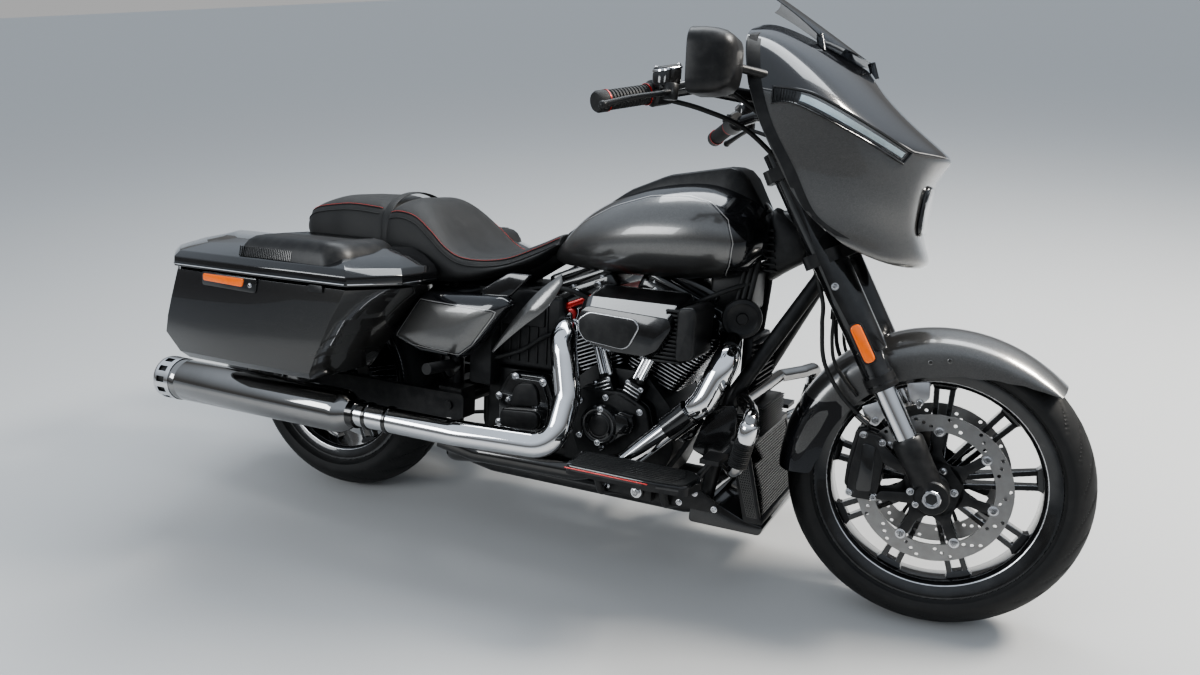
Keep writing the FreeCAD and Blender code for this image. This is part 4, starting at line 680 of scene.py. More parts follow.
# Fairing: rows from the top edge down to the lip, each from the rear edge on the right to the nose
fairing = {
    "wall": 5.0,
    "rows": (
        ((1196, -240, 1240), (1228, -208, 1253), (1290, -152, 1233), (1345, -96, 1209), (1385, -45, 1192),
         (1402, 0, 1185)),
        ((1197, -322, 1214), (1255, -292, 1212), (1340, -214, 1187), (1392, -142, 1164), (1428, -66, 1143),
         (1440, 0, 1135)),
        ((1204, -339, 1165), (1290, -326, 1151), (1390, -258, 1119), (1458, -172, 1093), (1496, -82, 1077),
         (1507, 0, 1072)),
        ((1214, -343, 1117), (1310, -338, 1101), (1430, -292, 1056), (1517, -210, 1016), (1573, -106, 1011),
         (1594, 0, 1012)),
        ((1219, -343, 1104), (1316, -337, 1086), (1434, -289, 1041), (1517, -211, 1001), (1570, -108, 999),
         (1590, 0, 1001)),
        ((1240, -339, 1045), (1332, -327, 1028), (1442, -274, 985), (1510, -206, 962), (1546, -158, 950),
         (1552, 0, 952)),
        ((1284, -327, 968), (1372, -308, 950), (1460, -254, 920), (1512, -198, 905), (1540, -152, 902),
         (1540, 0, 902)),
        ((1329, -304, 884), (1402, -276, 868), (1466, -228, 852), (1512, -184, 846), (1538, -146, 846),
         (1538, 0, 846)),
        ((1400, -274, 836), (1452, -244, 812), (1500, -200, 797), (1536, -152, 792), (1562, -104, 790),
         (1570, 0, 790)),
        ((1404, -264, 828), (1452, -234, 805), (1496, -192, 790), (1528, -146, 785), (1550, -100, 783),
         (1556, 0, 783)),
    ),
    "trimRear": ((1199, 1208), (1207, 1164), (1217, 1116), (1243, 1046), (1287, 970), (1332, 886),
                 (1396, 842)),
    # the line between the dark upper paint and the grey, seen from the side
    "paintSplit": ((1204, 1111), (1316, 1094), (1436, 1048), (1520, 1008), (1600, 1006)),
}


def splitHeight(points, x):
    for (x0, z0), (x1, z1) in zip(points, points[1:]):
        if x <= x1:
            return z0 + (z1 - z0) * (x - x0) / (x1 - x0)
    return points[-1][1]


def buildFairing():
    shell = baked(subdivided(gridObject("fairingShell", reflectRows(fairing["rows"])), 3))
    tree = surfaceTree(shell)
    shell = baked(thickened(shell, fairing["wall"], 1.0 if shell.data.polygons[0].normal.x < 0 else -1.0))
    markPaint(shell, lambda p: splitHeight(fairing["paintSplit"], p.x) - p.z)
    settle(shell, "steering", "grey_paint", bodyPaint, replaces=("fairing_outer",), sharp=50)
    return tree


fairingTree = buildFairing()


def stripOnSurface(name, tree, edge1, edge2, lift, count, across=3):
    # a thin skin laid on a side surface between two lines of (x, z)
    upper = smoothLine([vec(x, 0, z) for x, z in edge1], count)
    lower = smoothLine([vec(x, 0, z) for x, z in edge2], count)
    return gridObject(name, [[onSide(tree, a.lerp(b, k / across), lift) for k in range(across + 1)]
                             for a, b in zip(upper, lower)])


# The long lamp slot: a black frame, a louvred rear part and a clear lens
slotLamp = {
    "top": ((1262, 1112), (1300, 1109), (1345, 1098), (1430, 1055), (1513, 1009)),
    "bottom": ((1262, 1082), (1295, 1084), (1340, 1068), (1428, 1026), (1500, 987)),
    "lens": (0.34, 0.97), "louvres": 9,
}


def slotLine(points, share, count=40):
    line = smoothLine([vec(x, 0, z) for x, z in points], count)
    i = min(int(share * (count - 1)), count - 2)
    return line[i].lerp(line[i + 1], share * (count - 1) - i)


def buildSlotLamps():
    top, bottom = slotLamp["top"], slotLamp["bottom"]

    def place(share, across, lift):
        return onSide(fairingTree, slotLine(top, share).lerp(slotLine(bottom, share), across), lift)

    base = gridObject("slotBase", [[place(i / 40, k / 4, 1.2) for k in range(5)] for i in range(41)])
    path = [place(i / 30, 0.0, 2.0) for i in range(31)] + [place(1 - i / 30, 1.0, 2.0) for i in range(31)]
    rim = wireAlong("slotRim", path + path[:2], 2.6, 8)
    louvres = []
    for k in range(slotLamp["louvres"]):
        share = 0.03 + 0.28 * k / slotLamp["louvres"]
        louvres.append(wireAlong(f"louvre{k}", [place(share, 0.12, 3), place(share + 0.012, 0.88, 3)], 1.5,
                                 6))
    frameSet = joinMeshes("slotFrame", [base, rim] + louvres)
    settle(bothSides("fairingSlotFrames", frameSet), "steering", "black_satin", glossBlack)
    lo, hi = slotLamp["lens"]
    lens = gridObject("slotLens", [[place(lo + (hi - lo) * i / 40, 0.14 + 0.72 * k / 4,
                                          3.2 + 1.2 * math.sin(math.pi * k / 4)) for k in range(5)]
                                   for i in range(41)])
    core = gridObject("slotCore", [[place(lo + 0.01 + (hi - lo - 0.02) * i / 40, 0.3 + 0.4 * k / 2, 2.2)
                                    for k in range(3)] for i in range(41)])
    settle(bothSides("fairingSlotLenses", lens), "steering", "lamp", lampGlass)
    settle(bothSides("fairingSlotCores", core), "steering", "lamp", lampCore)


# The headlamp in the nose: a rounded field from low to high, with round reflectors in two rows
headlamp = {
    "half": 132.0, "low": 852.0, "high": 946.0, "corner": 24,
    "pods": (-92, -46, 0, 46, 92), "podRows": (878, 920), "podRadius": 18.0,
}


def noseHit(y, z, lift):
    # a point on the front of the fairing, seen from ahead
    hit = fairingTree.ray_cast(vec(2400, y, z), vec(-1, 0, 0))
    return hit[0] + vec(lift, 0, 0)


def buildHeadlamp():
    half, low, high = headlamp["half"], headlamp["low"], headlamp["high"]
    outline = roundedOutline([(-half, low), (half, low), (half - 8, high), (-half + 8, high)],
                             headlamp["corner"], 5)
    middle = (low + high) / 2

    def sheet(name, share, lift, bulge=0.0, rings=7):
        rows = []
        for k in range(rings):
            t = share * k / (rings - 1)
            rows.append([noseHit(y * t, middle + (z - middle) * t,
                                 lift + bulge * (1 - (k / (rings - 1)) ** 2)) for y, z in outline])
        return gridObject(name, rows, closedRows=True)

    back = sheet("headlampBack", 1.0, 1.5)
    path = [noseHit(y, z, 4.0) for y, z in outline]
    rim = wireAlong("headlampRim", path + path[:2], 4.0, 10)
    settle(joinMeshes("headlampBezel", [back, rim]), "steering", "black_satin", glossBlack)
    dishes, cores = [], []
    for z in headlamp["podRows"]:
        for y in headlamp["pods"]:
            at, r = noseHit(y, z, 1.0), headlamp["podRadius"]
            dishes.append(lathe("dish", [(0, 0), (0, r), (6, r), (6, r - 1.2), (2.5, r * 0.55), (1.6, 0)],
                                at, vec(1, 0, 0), 40))
            cores.append(lathe("core", [(1.5, 0), (1.5, 7), (4.5, 6.2), (6.5, 3.6), (7, 0)], at,
                               vec(1, 0, 0), 28))
    settleJoined("headlampDishes", dishes, "steering", "chrome", chrome)
    settleJoined("headlampCores", cores, "steering", "lamp", lampCore)
    settle(sheet("headlampLens", 0.985, 8.5, 3.0, 9), "steering", "smoke", lampGlass)


buildSlotLamps()
buildHeadlamp()
trim = stripOnSurface("rearTrim", fairingTree, fairing["trimRear"],
                      [(x + 25, z - 5) for x, z in fairing["trimRear"]], 1.6, 60, 4)
settle(bothSides("fairingRearTrim", outward(trim)), "steering", "plastic", mouldedBlack)
print("fairing built")


# Tank: x, half width, floor z, widest z, half width of the crown, crown side z, crown top z
tank = {
    "rows": (
        (676, 34, 724, 736, 22, 752, 758),
        (700, 62, 716, 740, 40, 768, 778),
        (760, 104, 710, 756, 70, 822, 842),
        (860, 142, 708, 776, 96, 872, 898),
        (980, 166, 710, 800, 108, 908, 936),
        (1100, 168, 718, 818, 104, 916, 944),
        (1180, 146, 738, 822, 84, 890, 914),
        (1212, 108, 768, 826, 58, 864, 880),
        (1226, 84, 784, 826, 44, 850, 864),
    ),
    "panel": ((640, 700), (690, 766), (770, 822), (860, 868), (960, 898), (1050, 904), (1110, 892),
              (1152, 858), (1168, 812), (1160, 764), (1128, 716), (1100, 690)),
}


def arcPoints(a, b, c, count):
    # points from a to c on the circle through a, b and c, in the plane that holds them
    a, b, c = Vector(a), Vector(b), Vector(c)
    ab, ac = b - a, c - a
    n = ab.cross(ac)
    centre = a + (n.cross(ab) * ac.length_squared + ac.cross(n) * ab.length_squared) / (2 * n.length_squared)
    u = a - centre
    axis = n.normalized()
    end = c - centre
    turn = math.atan2(axis.dot(u.cross(end)), u.dot(end)) % math.tau
    return [centre + Matrix.Rotation(turn * k / count, 3, axis) @ u for k in range(count + 1)]


def tankRing(row):
    x, half, low, wideZ, topHalf, topSide, top = row
    floor = half * 0.5
    side = arcPoints((x, -floor, low), (x, -half, wideZ), (x, -topHalf, topSide), 6)
    crown = arcPoints((x, -topHalf, topSide), (x, 0, top), (x, topHalf, topSide), 6)
    other = [vec(p.x, -p.y, p.z) for p in reversed(side)]
    return side + crown[1:-1] + other + [vec(x, floor * 0.4, low), vec(x, -floor * 0.4, low)]


def buildTank():
    rings = evenRows([tankRing(row) for row in tank["rows"]], 20)
    body = baked(subdivided(outward(gridObject("tankBody", rings, closedRows=True, caps=True)), 1))
    measure = outlineDistance(tank["panel"])
    markPaint(body, lambda p: measure(p.x, p.z))
    settle(body, "chassis", "grey_paint", bodyPaint, replaces=("fuel_tank",), sharp=60)


buildTank()
print("tank built")


# Bags and lids: outline corners at a height on the right side, as (x, y)
luggage = {
    "innerY": 190.0,
    # z, front x at the inner wall and the outer face, rear x at the outer face, the shoulder and the
    # inner wall, outer y
    "levels": (
        (416, 222, 218, -176, -208, -230, 404), (420, 226, 222, -184, -218, -240, 416),
        (436, 238, 232, -202, -240, -262, 430), (485, 276, 262, -238, -282, -308, 441),
        (530, 314, 286, -226, -286, -316, 444), (575, 352, 308, -212, -288, -322, 444),
        (615, 388, 334, -198, -290, -326, 444), (652, 422, 354, -186, -290, -330, 443),
    ),
    "lidLevels": (
        (660, 430, 360, -190, -294, -334, 449), (684, 430, 360, -190, -294, -334, 449),
        (700, 420, 350, -178, -284, -324, 440), (722, 388, 310, -120, -232, -282, 404),
        (737, 350, 262, -60, -176, -236, 366),
    ),
    "dome": ((8, 214), (2, 330), (10, 440), (296, 440), (330, 404), (344, 300), (338, 214)),
}


def bagRing(level, inset=0.0):
    z, frontIn, frontOut, rearOut, rearShoulder, rearIn, outer = level
    inner = luggage["innerY"] + inset
    outer -= inset
    return [
        vec(frontIn - inset, -inner, z), vec(frontIn - inset, -(outer - 118), z),
        vec(frontOut - inset, -outer, z),
        vec((frontOut + rearOut) / 2, -(outer + 5), z), vec(rearOut + inset, -outer, z),
        vec(rearShoulder + inset, -(outer - 90), z), vec(rearIn + inset, -inner, z),
    ]


def buildBags():
    rings = [bagRing(level) for level in luggage["levels"]]
    inner = [bagRing(level, 5.0) for level in reversed(luggage["levels"])]
    inner[-1] = [vec(p.x, p.y, p.z + 5) for p in inner[-1]]
    bag = outward(gridObject("bag", rings + inner, closedRows=True, caps=True))
    bag = bothSides("saddlebagShells", bevelled(bag, 20.0, 5, 16.0))
    measure = outlineDistance(((-330, 380), (60, 380), (420, 380), (420, 700), (290, 640), (120, 545),
                               (-330, 470)))
    markPaint(bag, lambda p: measure(p.x, p.z))
    settle(bag, "chassis", "black_paint", bagPaint, replaces=("saddlebags",), sharp=40)


def buildLid(side):
    rings = [bagRing(level) for level in luggage["lidLevels"]]
    under = [vec(p.x, p.y, 662) for p in bagRing(luggage["lidLevels"][0], 6.0)]
    lid = outward(gridObject("lid", [under] + rings, closedRows=True, caps=True))
    lid = baked(bevelled(lid, 9.0, 4, 14.0))
    if side == "left":
        right = lid
        lid = mirrored(right)
        bpy.data.objects.remove(right)
    lid.name = f"{side}Lid"
    settle(lid, f"lid_{side}", "black_paint", paintBlack, replaces=(f"lid_{side}",), sharp=40)


def buildLuggageTrim():
    # speaker domes and the bright line on the lids, marker lamps and latches on the bags
    line = roundedOutline([(p.x, p.y) for p in bagRing((0, 430.6, 360.6, -190.6, -294.6, -334.6, 449.6))],
                          16, 5)
    for side, s in (("left", 1), ("right", -1)):
        def place(u, v, w):
            return vec(u, s * v, w)
        dome = pillow(side + "SpeakerDome", roundedOutline(luggage["dome"], 30, 6),
                      ((684, 1.0), (706, 0.985), (728, 0.945), (744, 0.88), (753, 0.8), (757, 0.7),
                       (758, 0.6)), place)
        settle(dome, "lid_" + side, "black_satin", satinBlack, sharp=50)
        mesh = barMesh(side + "SpeakerMesh", (place(76, 262, 758.6), place(284, 262, 758.6),
                                              place(276, 396, 757.4), place(66, 396, 757.4)), 64, 34, 1.2,
                       1.4)
        settle(mesh, "lid_" + side, "black_satin", blackChrome, flat=True)
        slots = []
        for k in range(30):
            slots.append(slab("slot", [(0, 0), (2.4, 0), (2.4, 24), (0, 24)], 3.0,
                              lambda u, v, w: place(22 + k * 5.6 + u, 437.2 + w - v * 0.2, 704 + v), 0.5,
                              1))
        settleJoined(side + "SpeakerSlots", slots, "lid_" + side, "black_satin", blackChrome)
        path = [vec(u, -s * v, 666) for u, v in line if abs(v) > 200]
        settle(sweptTube(side + "LidLine", path, 1.5, 8), "lid_" + side, "chrome", chrome)
    frames, ambers, bolts, latches = [], [], [], []
    for s in (-1, 1):
        def out(u, v, w):
            return vec(u, s * (443.5 + 4.2 * (1 - abs(u - 40) / 260) + w), v)
        frames.append(slab("frame", roundedOutline([(-92, 622), (86, 618), (92, 655), (-92, 656)], 7, 4), 6,
                           out, 2.0))
        ambers.append(slab("amber", roundedOutline([(-86, 634), (46, 630), (52, 651), (-86, 652)], 6, 4),
                           8.5, out, 2.5, 3))
        bolts.append((out(70, 636, 6), vec(0, s, 0)))
        latches.append(slab("latch", roundedOutline([(250, 640), (292, 640), (292, 657), (250, 657)], 4, 3),
                            6, out, 2.0))
    settleJoined("markerFrames", frames, "chassis", "plastic", glossBlack)
    settleJoined("markerLenses", ambers, "chassis", "lamp", amberLens)
    fasten("chassis", "markerScrews", bolts, 4.5, 3.5)
    settleJoined("lidLatches", latches, "chassis", "black_satin", satinBlack)


buildBags()
for side in ("left", "right"):
    buildLid(side)
settle(boxPiece("tailLens", (-443.5, -138, 607), (-437, 138, 633), 2.0), "chassis", "lamp", redLens)
print("luggage built")


# Fenders: a crowned section swept round the wheel's centre; degrees are measured ahead of straight up
frontFender = {
    "centre": vec(*bike["frontAxle"]), "radius": 338.0, "half": 84.0, "wall": 3.0, "frontDeg": 44.0,
    "backDeg": -92.0, "steps": 44,
    # degrees ahead of the top, depth of the side, lift of the crown
    "depth": ((44, 2, 2), (40, 9, 1), (34, 18, 0), (24, 34, 0), (12, 52, 0), (-8, 64, 0), (-50, 66, 0),
              (-80, 62, 0), (-92, 50, 2)),
    "crown": 34.0, "bow": 0.8, "slim": ((44, 0.62), (34, 0.86), (24, 1.0), (-92, 1.0)),
    "tail": ((1200, 240), (1200, 480), (1332, 482), (1376, 474), (1420, 484), (1440, 240)),
    "inset": ((1329, 346), (1331, 373), (1349, 425), (1372, 452), (1391, 461), (1395, 451), (1379, 409),
              (1350, 359)),
}
rearFender = {
    "centre": vec(0, 0, bike["rearAxleZ"]), "radius": 416.0, "half": 118.5, "wall": 3.0, "frontDeg": 38.0,
    "backDeg": -104.0, "steps": 40,
    "depth": ((38, 80, 0), (0, 80, 0), (-60, 80, 0), (-104, 74, 0)),
    "crown": 44.0, "bow": 0.45, "slim": ((38, 1.0), (-104, 1.0)),
}


def tableValue(rows, at, column):
    rows = sorted(rows)
    for a, b in zip(rows, rows[1:]):
        if at <= b[0]:
            t = max(0.0, (at - a[0]) / (b[0] - a[0]))
            t = t * t * (3 - 2 * t)
            return a[column] + (b[column] - a[column]) * t
    return rows[-1][column]


def fenderRows(part):
    rows = []
    half, radius = part["half"], part["radius"]
    for i in range(part["steps"] + 1):
        deg = part["frontDeg"] + (part["backDeg"] - part["frontDeg"]) * i / part["steps"]
        deep, lift = tableValue(part["depth"], deg, 1), tableValue(part["depth"], deg, 2)
        crown = part["crown"] * tableValue(part["slim"], deg, 1)
        turn = math.radians(deg)
        out = vec(math.sin(turn), 0, math.cos(turn))
        section = [(-half, radius - crown - deep * 0.999 + lift)]
        section += [(-half, radius - crown - deep * 0.5 + lift), (-half * 0.995, radius - crown + lift)]
        for k in range(1, 16):
            across = 2 * k / 16 - 1
            section.append((half * across * 0.995,
                            radius - crown + crown * (1 - across ** 2) ** part["bow"] + lift))
        section += [(half * 0.995, radius - crown + lift), (half, radius - crown - deep * 0.5 + lift)]
        section += [(half, radius - crown - deep * 0.999 + lift)]
        rows.append([part["centre"] + out * r + vec(0, y, 0) for y, r in section])
    return rows


def fenderSkin(name, part):
    skin = baked(subdivided(gridObject(name, fenderRows(part)), 1))
    return baked(thickened(skin, part["wall"]))


def buildFrontFender():
    skin = fenderSkin("frontFenderSkin", frontFender)
    tail, inset = outlineDistance(frontFender["tail"]), outlineDistance(frontFender["inset"])

    def measure(p):
        # grey but for a black tail with a grey inset on its side
        grey = inset(p.x, p.z) if abs(p.y) > 76 else -20
        return max(-tail(p.x, p.z), grey)

    markPaint(skin, measure)
    settle(skin, "steering", "grey_paint", fenderPaint, replaces=("front_fender",), sharp=50)


buildFrontFender()
settle(fenderSkin("rearFenderSkin", rearFender), "chassis", "black_paint", paintBlack,
       replaces=("rear_fender",), sharp=50)
print("fenders built")


# Geometry Nodes: one tree sets small turned heads on points, another lays stitches along a line
def newTree(name, source, numbers, result):
    # a tree from one geometry to another, with its numbers and a finish
    tree = bpy.data.node_groups.new(name, "GeometryNodeTree")
    sockets = [(source, "Geometry", None)]
    sockets += [(number, "Float", value) for number, value in numbers]
    for socket, kind, value in sockets + [("Finish", "Material", None)]:
        made = tree.interface.new_socket(name=socket, in_out="INPUT", socket_type="NodeSocket" + kind)
        if value is not None:
            made.default_value = value
    tree.interface.new_socket(name=result, in_out="OUTPUT", socket_type="NodeSocketGeometry")
    return tree, tree.nodes.new("NodeGroupInput"), tree.nodes.new("NodeGroupOutput")


def placeEach(tree, points, piece, heading, finishGiven, result):
    # the piece on every point, its z along the heading, made real and given its finish
    link = tree.links.new
    align = addNode(tree, "FunctionNodeAlignRotationToVector", axis="Z")
    place = addNode(tree, "GeometryNodeInstanceOnPoints")
    real = addNode(tree, "GeometryNodeRealizeInstances")
    paint = addNode(tree, "GeometryNodeSetMaterial")
    link(heading, align.inputs["Vector"])
    link(points, place.inputs["Points"])
    link(piece, place.inputs["Instance"])
    link(align.outputs["Rotation"], place.inputs["Rotation"])
    link(place.outputs["Instances"], real.inputs["Geometry"])
    link(real.outputs["Geometry"], paint.inputs["Geometry"])
    link(finishGiven, paint.inputs["Material"])
    link(paint.outputs["Geometry"], result)
    return tree


def headTree():
    # bolt heads: a washer, a head with a chamfer and a recess, set along each point's facing
    tree, given, out = newTree("boltHeads", "Places", (
        ("Radius", 6.0), ("Height", 5.0), ("Washer", 1.45), ("Socket", 0.5)), "Heads")
    link = tree.links.new

    def scaled(name, factor):
        node = addNode(tree, "ShaderNodeMath", operation="MULTIPLY")
        link(given.outputs[name], node.inputs[0])
        if isinstance(factor, str):
            link(given.outputs[factor], node.inputs[1])
        else:
            node.inputs[1].default_value = factor
        return node.outputs["Value"]

    def turned(radius, topRadius, depth, lift):
        node = addNode(tree, "GeometryNodeMeshCone", Vertices=20)
        up = addNode(tree, "ShaderNodeCombineXYZ")
        move = addNode(tree, "GeometryNodeTransform")
        link(topRadius, node.inputs["Radius Top"])
        link(radius, node.inputs["Radius Bottom"])
        link(depth, node.inputs["Depth"])
        link(lift, up.inputs["Z"])
        link(up.outputs["Vector"], move.inputs["Translation"])
        link(node.outputs["Mesh"], move.inputs["Geometry"])
        return move.outputs["Geometry"]

    zero = addNode(tree, "ShaderNodeValue")
    zero.outputs[0].default_value = -0.2
    parts = [
        turned(scaled("Radius", "Washer"), scaled("Radius", "Washer"), scaled("Height", 0.2),
               zero.outputs[0]),
        turned(given.outputs["Radius"], given.outputs["Radius"], scaled("Height", 0.85), zero.outputs[0]),
        turned(given.outputs["Radius"], scaled("Radius", 0.8), scaled("Height", 0.15), scaled("Height", 0.8)),
        turned(scaled("Radius", 0.8), scaled("Radius", "Socket"), scaled("Height", -0.3),
               scaled("Height", 0.95)),
    ]
    join = tree.nodes.new("GeometryNodeJoinGeometry")
    for part in parts:
        link(part, join.inputs["Geometry"])
    facing = addNode(tree, "GeometryNodeInputNamedAttribute", data_type="FLOAT_VECTOR", Name="facing")
    return placeEach(tree, given.outputs["Places"], join.outputs["Geometry"], facing.outputs["Attribute"],
                     given.outputs["Finish"], out.inputs["Heads"])


def stitchTree():
    # stitches: short rounded threads at even spacing along a line
    tree, given, out = newTree("stitches", "Line", (("Spacing", 8.0), ("Length", 5.5), ("Thread", 0.9)),
                               "Stitches")
    link = tree.links.new
    curve = addNode(tree, "GeometryNodeMeshToCurve")
    points = addNode(tree, "GeometryNodeCurveToPoints", mode="LENGTH")
    thread = addNode(tree, "GeometryNodeMeshCone", Vertices=6)
    link(given.outputs["Line"], curve.inputs["Mesh"])
    link(curve.outputs["Curve"], points.inputs["Curve"])
    link(given.outputs["Spacing"], points.inputs["Length"])
    link(given.outputs["Thread"], thread.inputs["Radius Top"])
    link(given.outputs["Thread"], thread.inputs["Radius Bottom"])
    link(given.outputs["Length"], thread.inputs["Depth"])
    return placeEach(tree, points.outputs["Points"], thread.outputs["Mesh"], points.outputs["Tangent"],
                     given.outputs["Finish"], out.inputs["Stitches"])


trees = {"heads": headTree(), "stitches": stitchTree()}


def runTree(obj, tree, **values):
    modifier = obj.modifiers.new("nodes", "NODES")
    modifier.node_group = tree
    for item in tree.interface.items_tree:
        if item.item_type == "SOCKET" and item.in_out == "INPUT" and item.name in values:
            modifier[item.identifier] = values[item.name]
    return baked(obj)


def boltHeads(name, places, radius, height, washer=1.45, socket=0.5):
    # places are (point, facing)
    obj = meshObject(name, [p for p, _ in places], [])
    facing = obj.data.attributes.new("facing", "FLOAT_VECTOR", "POINT")
    facing.data.foreach_set("vector", [c for _, f in places for c in Vector(f).normalized()])
    return runTree(obj, trees["heads"], Radius=radius, Height=height, Washer=washer, Socket=socket,
                   Finish=fastener)


def toRight(y, places):
    # (point, facing) of heads at each (x, z) on the right side
    return [(vec(x, y, z), vec(0, -1, 0)) for x, z in places]


def fasten(body, *heads, **more):
    settle(boltHeads(*heads, **more), body, "steel", fastener)


def stitchLine(name, points):
    mesh = bpy.data.meshes.new(name)
    mesh.from_pydata([tuple(p) for p in points], [(i, i + 1) for i in range(len(points) - 1)], [])
    obj = bpy.data.objects.new(name, mesh)
    bpy.context.scene.collection.objects.link(obj)
    return runTree(obj, trees["stitches"], Finish=redThread, **seat["stitch"])


# Seat: x, half width and z of the base, half width and z of the shoulder, crown z, depth of the dish
seat = {
    "rider": (
        (238, 148, 690, 130, 800, 830, 0), (250, 162, 680, 148, 816, 848, 0),
        (290, 172, 666, 154, 822, 858, 2), (335, 176, 655, 156, 812, 850, 6),
        (385, 177, 650, 160, 778, 808, 10), (430, 177, 650, 164, 744, 762, 12),
        (475, 175, 655, 160, 722, 732, 10), (530, 162, 668, 144, 716, 726, 6),
        (590, 126, 690, 106, 726, 740, 2), (645, 88, 712, 70, 754, 768, 0), (686, 58, 748, 44, 778, 788, 0),
        (694, 50, 756, 36, 778, 784, 0),
    ),
    "pillion": (
        (-84, 60, 752, 46, 768, 776, 0), (-74, 96, 738, 84, 790, 804, 0), (-30, 128, 716, 112, 812, 832, 0),
        (50, 142, 700, 124, 826, 850, 0), (130, 148, 690, 128, 830, 856, 0),
        (200, 148, 684, 126, 826, 850, 0), (226, 142, 682, 118, 812, 834, 0),
    ),
    "stitch": {"Spacing": 7.0, "Length": 5.4, "Thread": 0.85},
    "strap": {"x": 238.0, "half": 152.0, "top": 862.0, "width": 16.0, "thick": 5.0},
}


def cushionRing(row):
    x, baseHalf, base, half, shoulder, crown, dish = row
    side = [
        vec(x, -baseHalf * 0.72, base - 2), vec(x, -baseHalf, base + 6),
        vec(x, -(baseHalf + 4), base + (shoulder - base) * 0.45),
        vec(x, -(half + 10), shoulder - 16), vec(x, -half, shoulder),
        vec(x, -half * 0.78, shoulder + (crown - shoulder) * 0.62),
        vec(x, -half * 0.42, crown - dish * 0.3),
    ]
    return side + [vec(x, 0, crown - dish)] + [vec(p.x, -p.y, p.z) for p in reversed(side)]


def cushion(name, rows, count):
    rings = evenRows([cushionRing(row) for row in rows], count)
    return outward(gridObject(name, rings, closedRows=True, caps=True))


def seamPath(rows, column):
    # the sewn line along one column of the cushion's rings, just clear of the leather
    line = [cushionRing(row)[column] for row in rows[1:-1]]
    return [p + vec(0, -0.7, 0.7) for p in smoothLine(line, 60)]


def buildSeat():
    rider = baked(subdivided(cushion("riderSeat", seat["rider"], 22), 2))
    pillion = baked(subdivided(cushion("pillionPad", seat["pillion"], 14), 2))
    for pad in (rider, pillion):
        # the padding swells a little between its seams and dips at the sewn line
        for v in pad.data.vertices:
            swell = 1.6 * math.sin(v.co.x * 0.045) * math.sin(abs(v.co.y) * 0.032)
            v.co += v.normal * swell
    settle(rider, "chassis", "leather", leather, replaces=("seat",), sharp=70)
    settle(pillion, "chassis", "leather", leather, sharp=70)
    welts, threads = [], []
    for pad, name in ((rider, "rider"), (pillion, "pillion")):
        tree = surfaceTree(pad, bikeFrame.inverted())
        for column, red in ((4, True), (3, False)):
            path = [nearOn(tree, p, 0.6) for p in seamPath(seat[name], column)]
            if red:
                threads.append(stitchLine(name + "Thread", path))
                threads.append(stitchLine(name + "ThreadLeft", [vec(p.x, -p.y, p.z) for p in path]))
            welts.append(bothSides(name + "WeltPair", wireAlong(name + "Welt", path, 1.7, 6)))
    settleJoined("seatWelts", welts, "chassis", "leather", leather)
    for thread in threads:
        for v in thread.data.vertices:
            v.co.z += 1.5
    settleJoined("seatStitches", threads, "chassis", "leather", redThread)
    strap = seat["strap"]
    rows = []
    for i in range(41):
        a = math.pi * (i / 40)
        y = -strap["half"] * math.cos(a)
        z = 700 + (strap["top"] - 700) * math.sin(a) ** 0.55
        out = vec(0, -math.cos(a), math.sin(a) + 0.3).normalized() * strap["thick"]
        x = strap["x"] - 18 * math.sin(a)
        w = strap["width"]
        rows.append([vec(x - w, y, z), vec(x - w * 0.7, y, z) + out, vec(x + w * 0.7, y, z) + out,
                     vec(x + w, y, z)])
    band = outward(gridObject("grabStrap", rows, closedRows=True, caps=True))
    settle(subdivided(band, 2), "chassis", "leather", leather, sharp=60)


def nearOn(tree, point, lift):
    hit, normal, _, _ = tree.find_nearest(point)
    return hit + normal * lift


buildSeat()
print("seat built")


# Tyres: a crowned section with a centre groove, sweeping side grooves and a raised rim band
tyres = {
    "front": {"centre": vec(*bike["frontAxle"]), "radius": 319.3, "half": 64.0, "crown": 68.0,
              "seat": 241.3, "rimHalf": 50.0,
              "body": "front_wheel", "node": "front_tyre", "repeats": 26},
    "rear": {"centre": vec(0, 0, bike["rearAxleZ"]), "radius": 327.6, "half": 88.0, "crown": 100.0,
             "seat": 228.6, "rimHalf": 71.0,
             "body": "rear_wheel", "node": "rear_tyre", "repeats": 24},
    "steps": 520, "grooveDepth": 4.0, "grooveWidth": 3.4,
}


def tyreSection(t):
    # (y, radius) from the bead up one side and down the other, with the share of the crown on the tread
    edge = math.asin(min(1.0, (t["half"] - 1.5) / t["crown"]))
    section = []
    shoulder = t["radius"] - t["crown"] + math.cos(edge) * t["crown"]
    low = t["seat"] + 9
    side = [(t["rimHalf"] - 8, t["seat"] + 2), (t["rimHalf"] - 1, low + 6), (t["rimHalf"] + 6, low + 12),
            (t["half"] - 4, (low + shoulder) / 2 - 4), (t["half"] - 0.5, (low + shoulder) / 2 + 8),
            (t["half"] - 0.5, shoulder - 5)]
    for y, r in side:
        section.append((-y, r, None))
    for k in range(41):
        a = -edge + 2 * edge * k / 40
        section.append((math.sin(a) * t["crown"], t["radius"] - t["crown"] + math.cos(a) * t["crown"],
                        k / 20 - 1))
    for y, r in reversed(side):
        section.append((y, r, None))
    return section


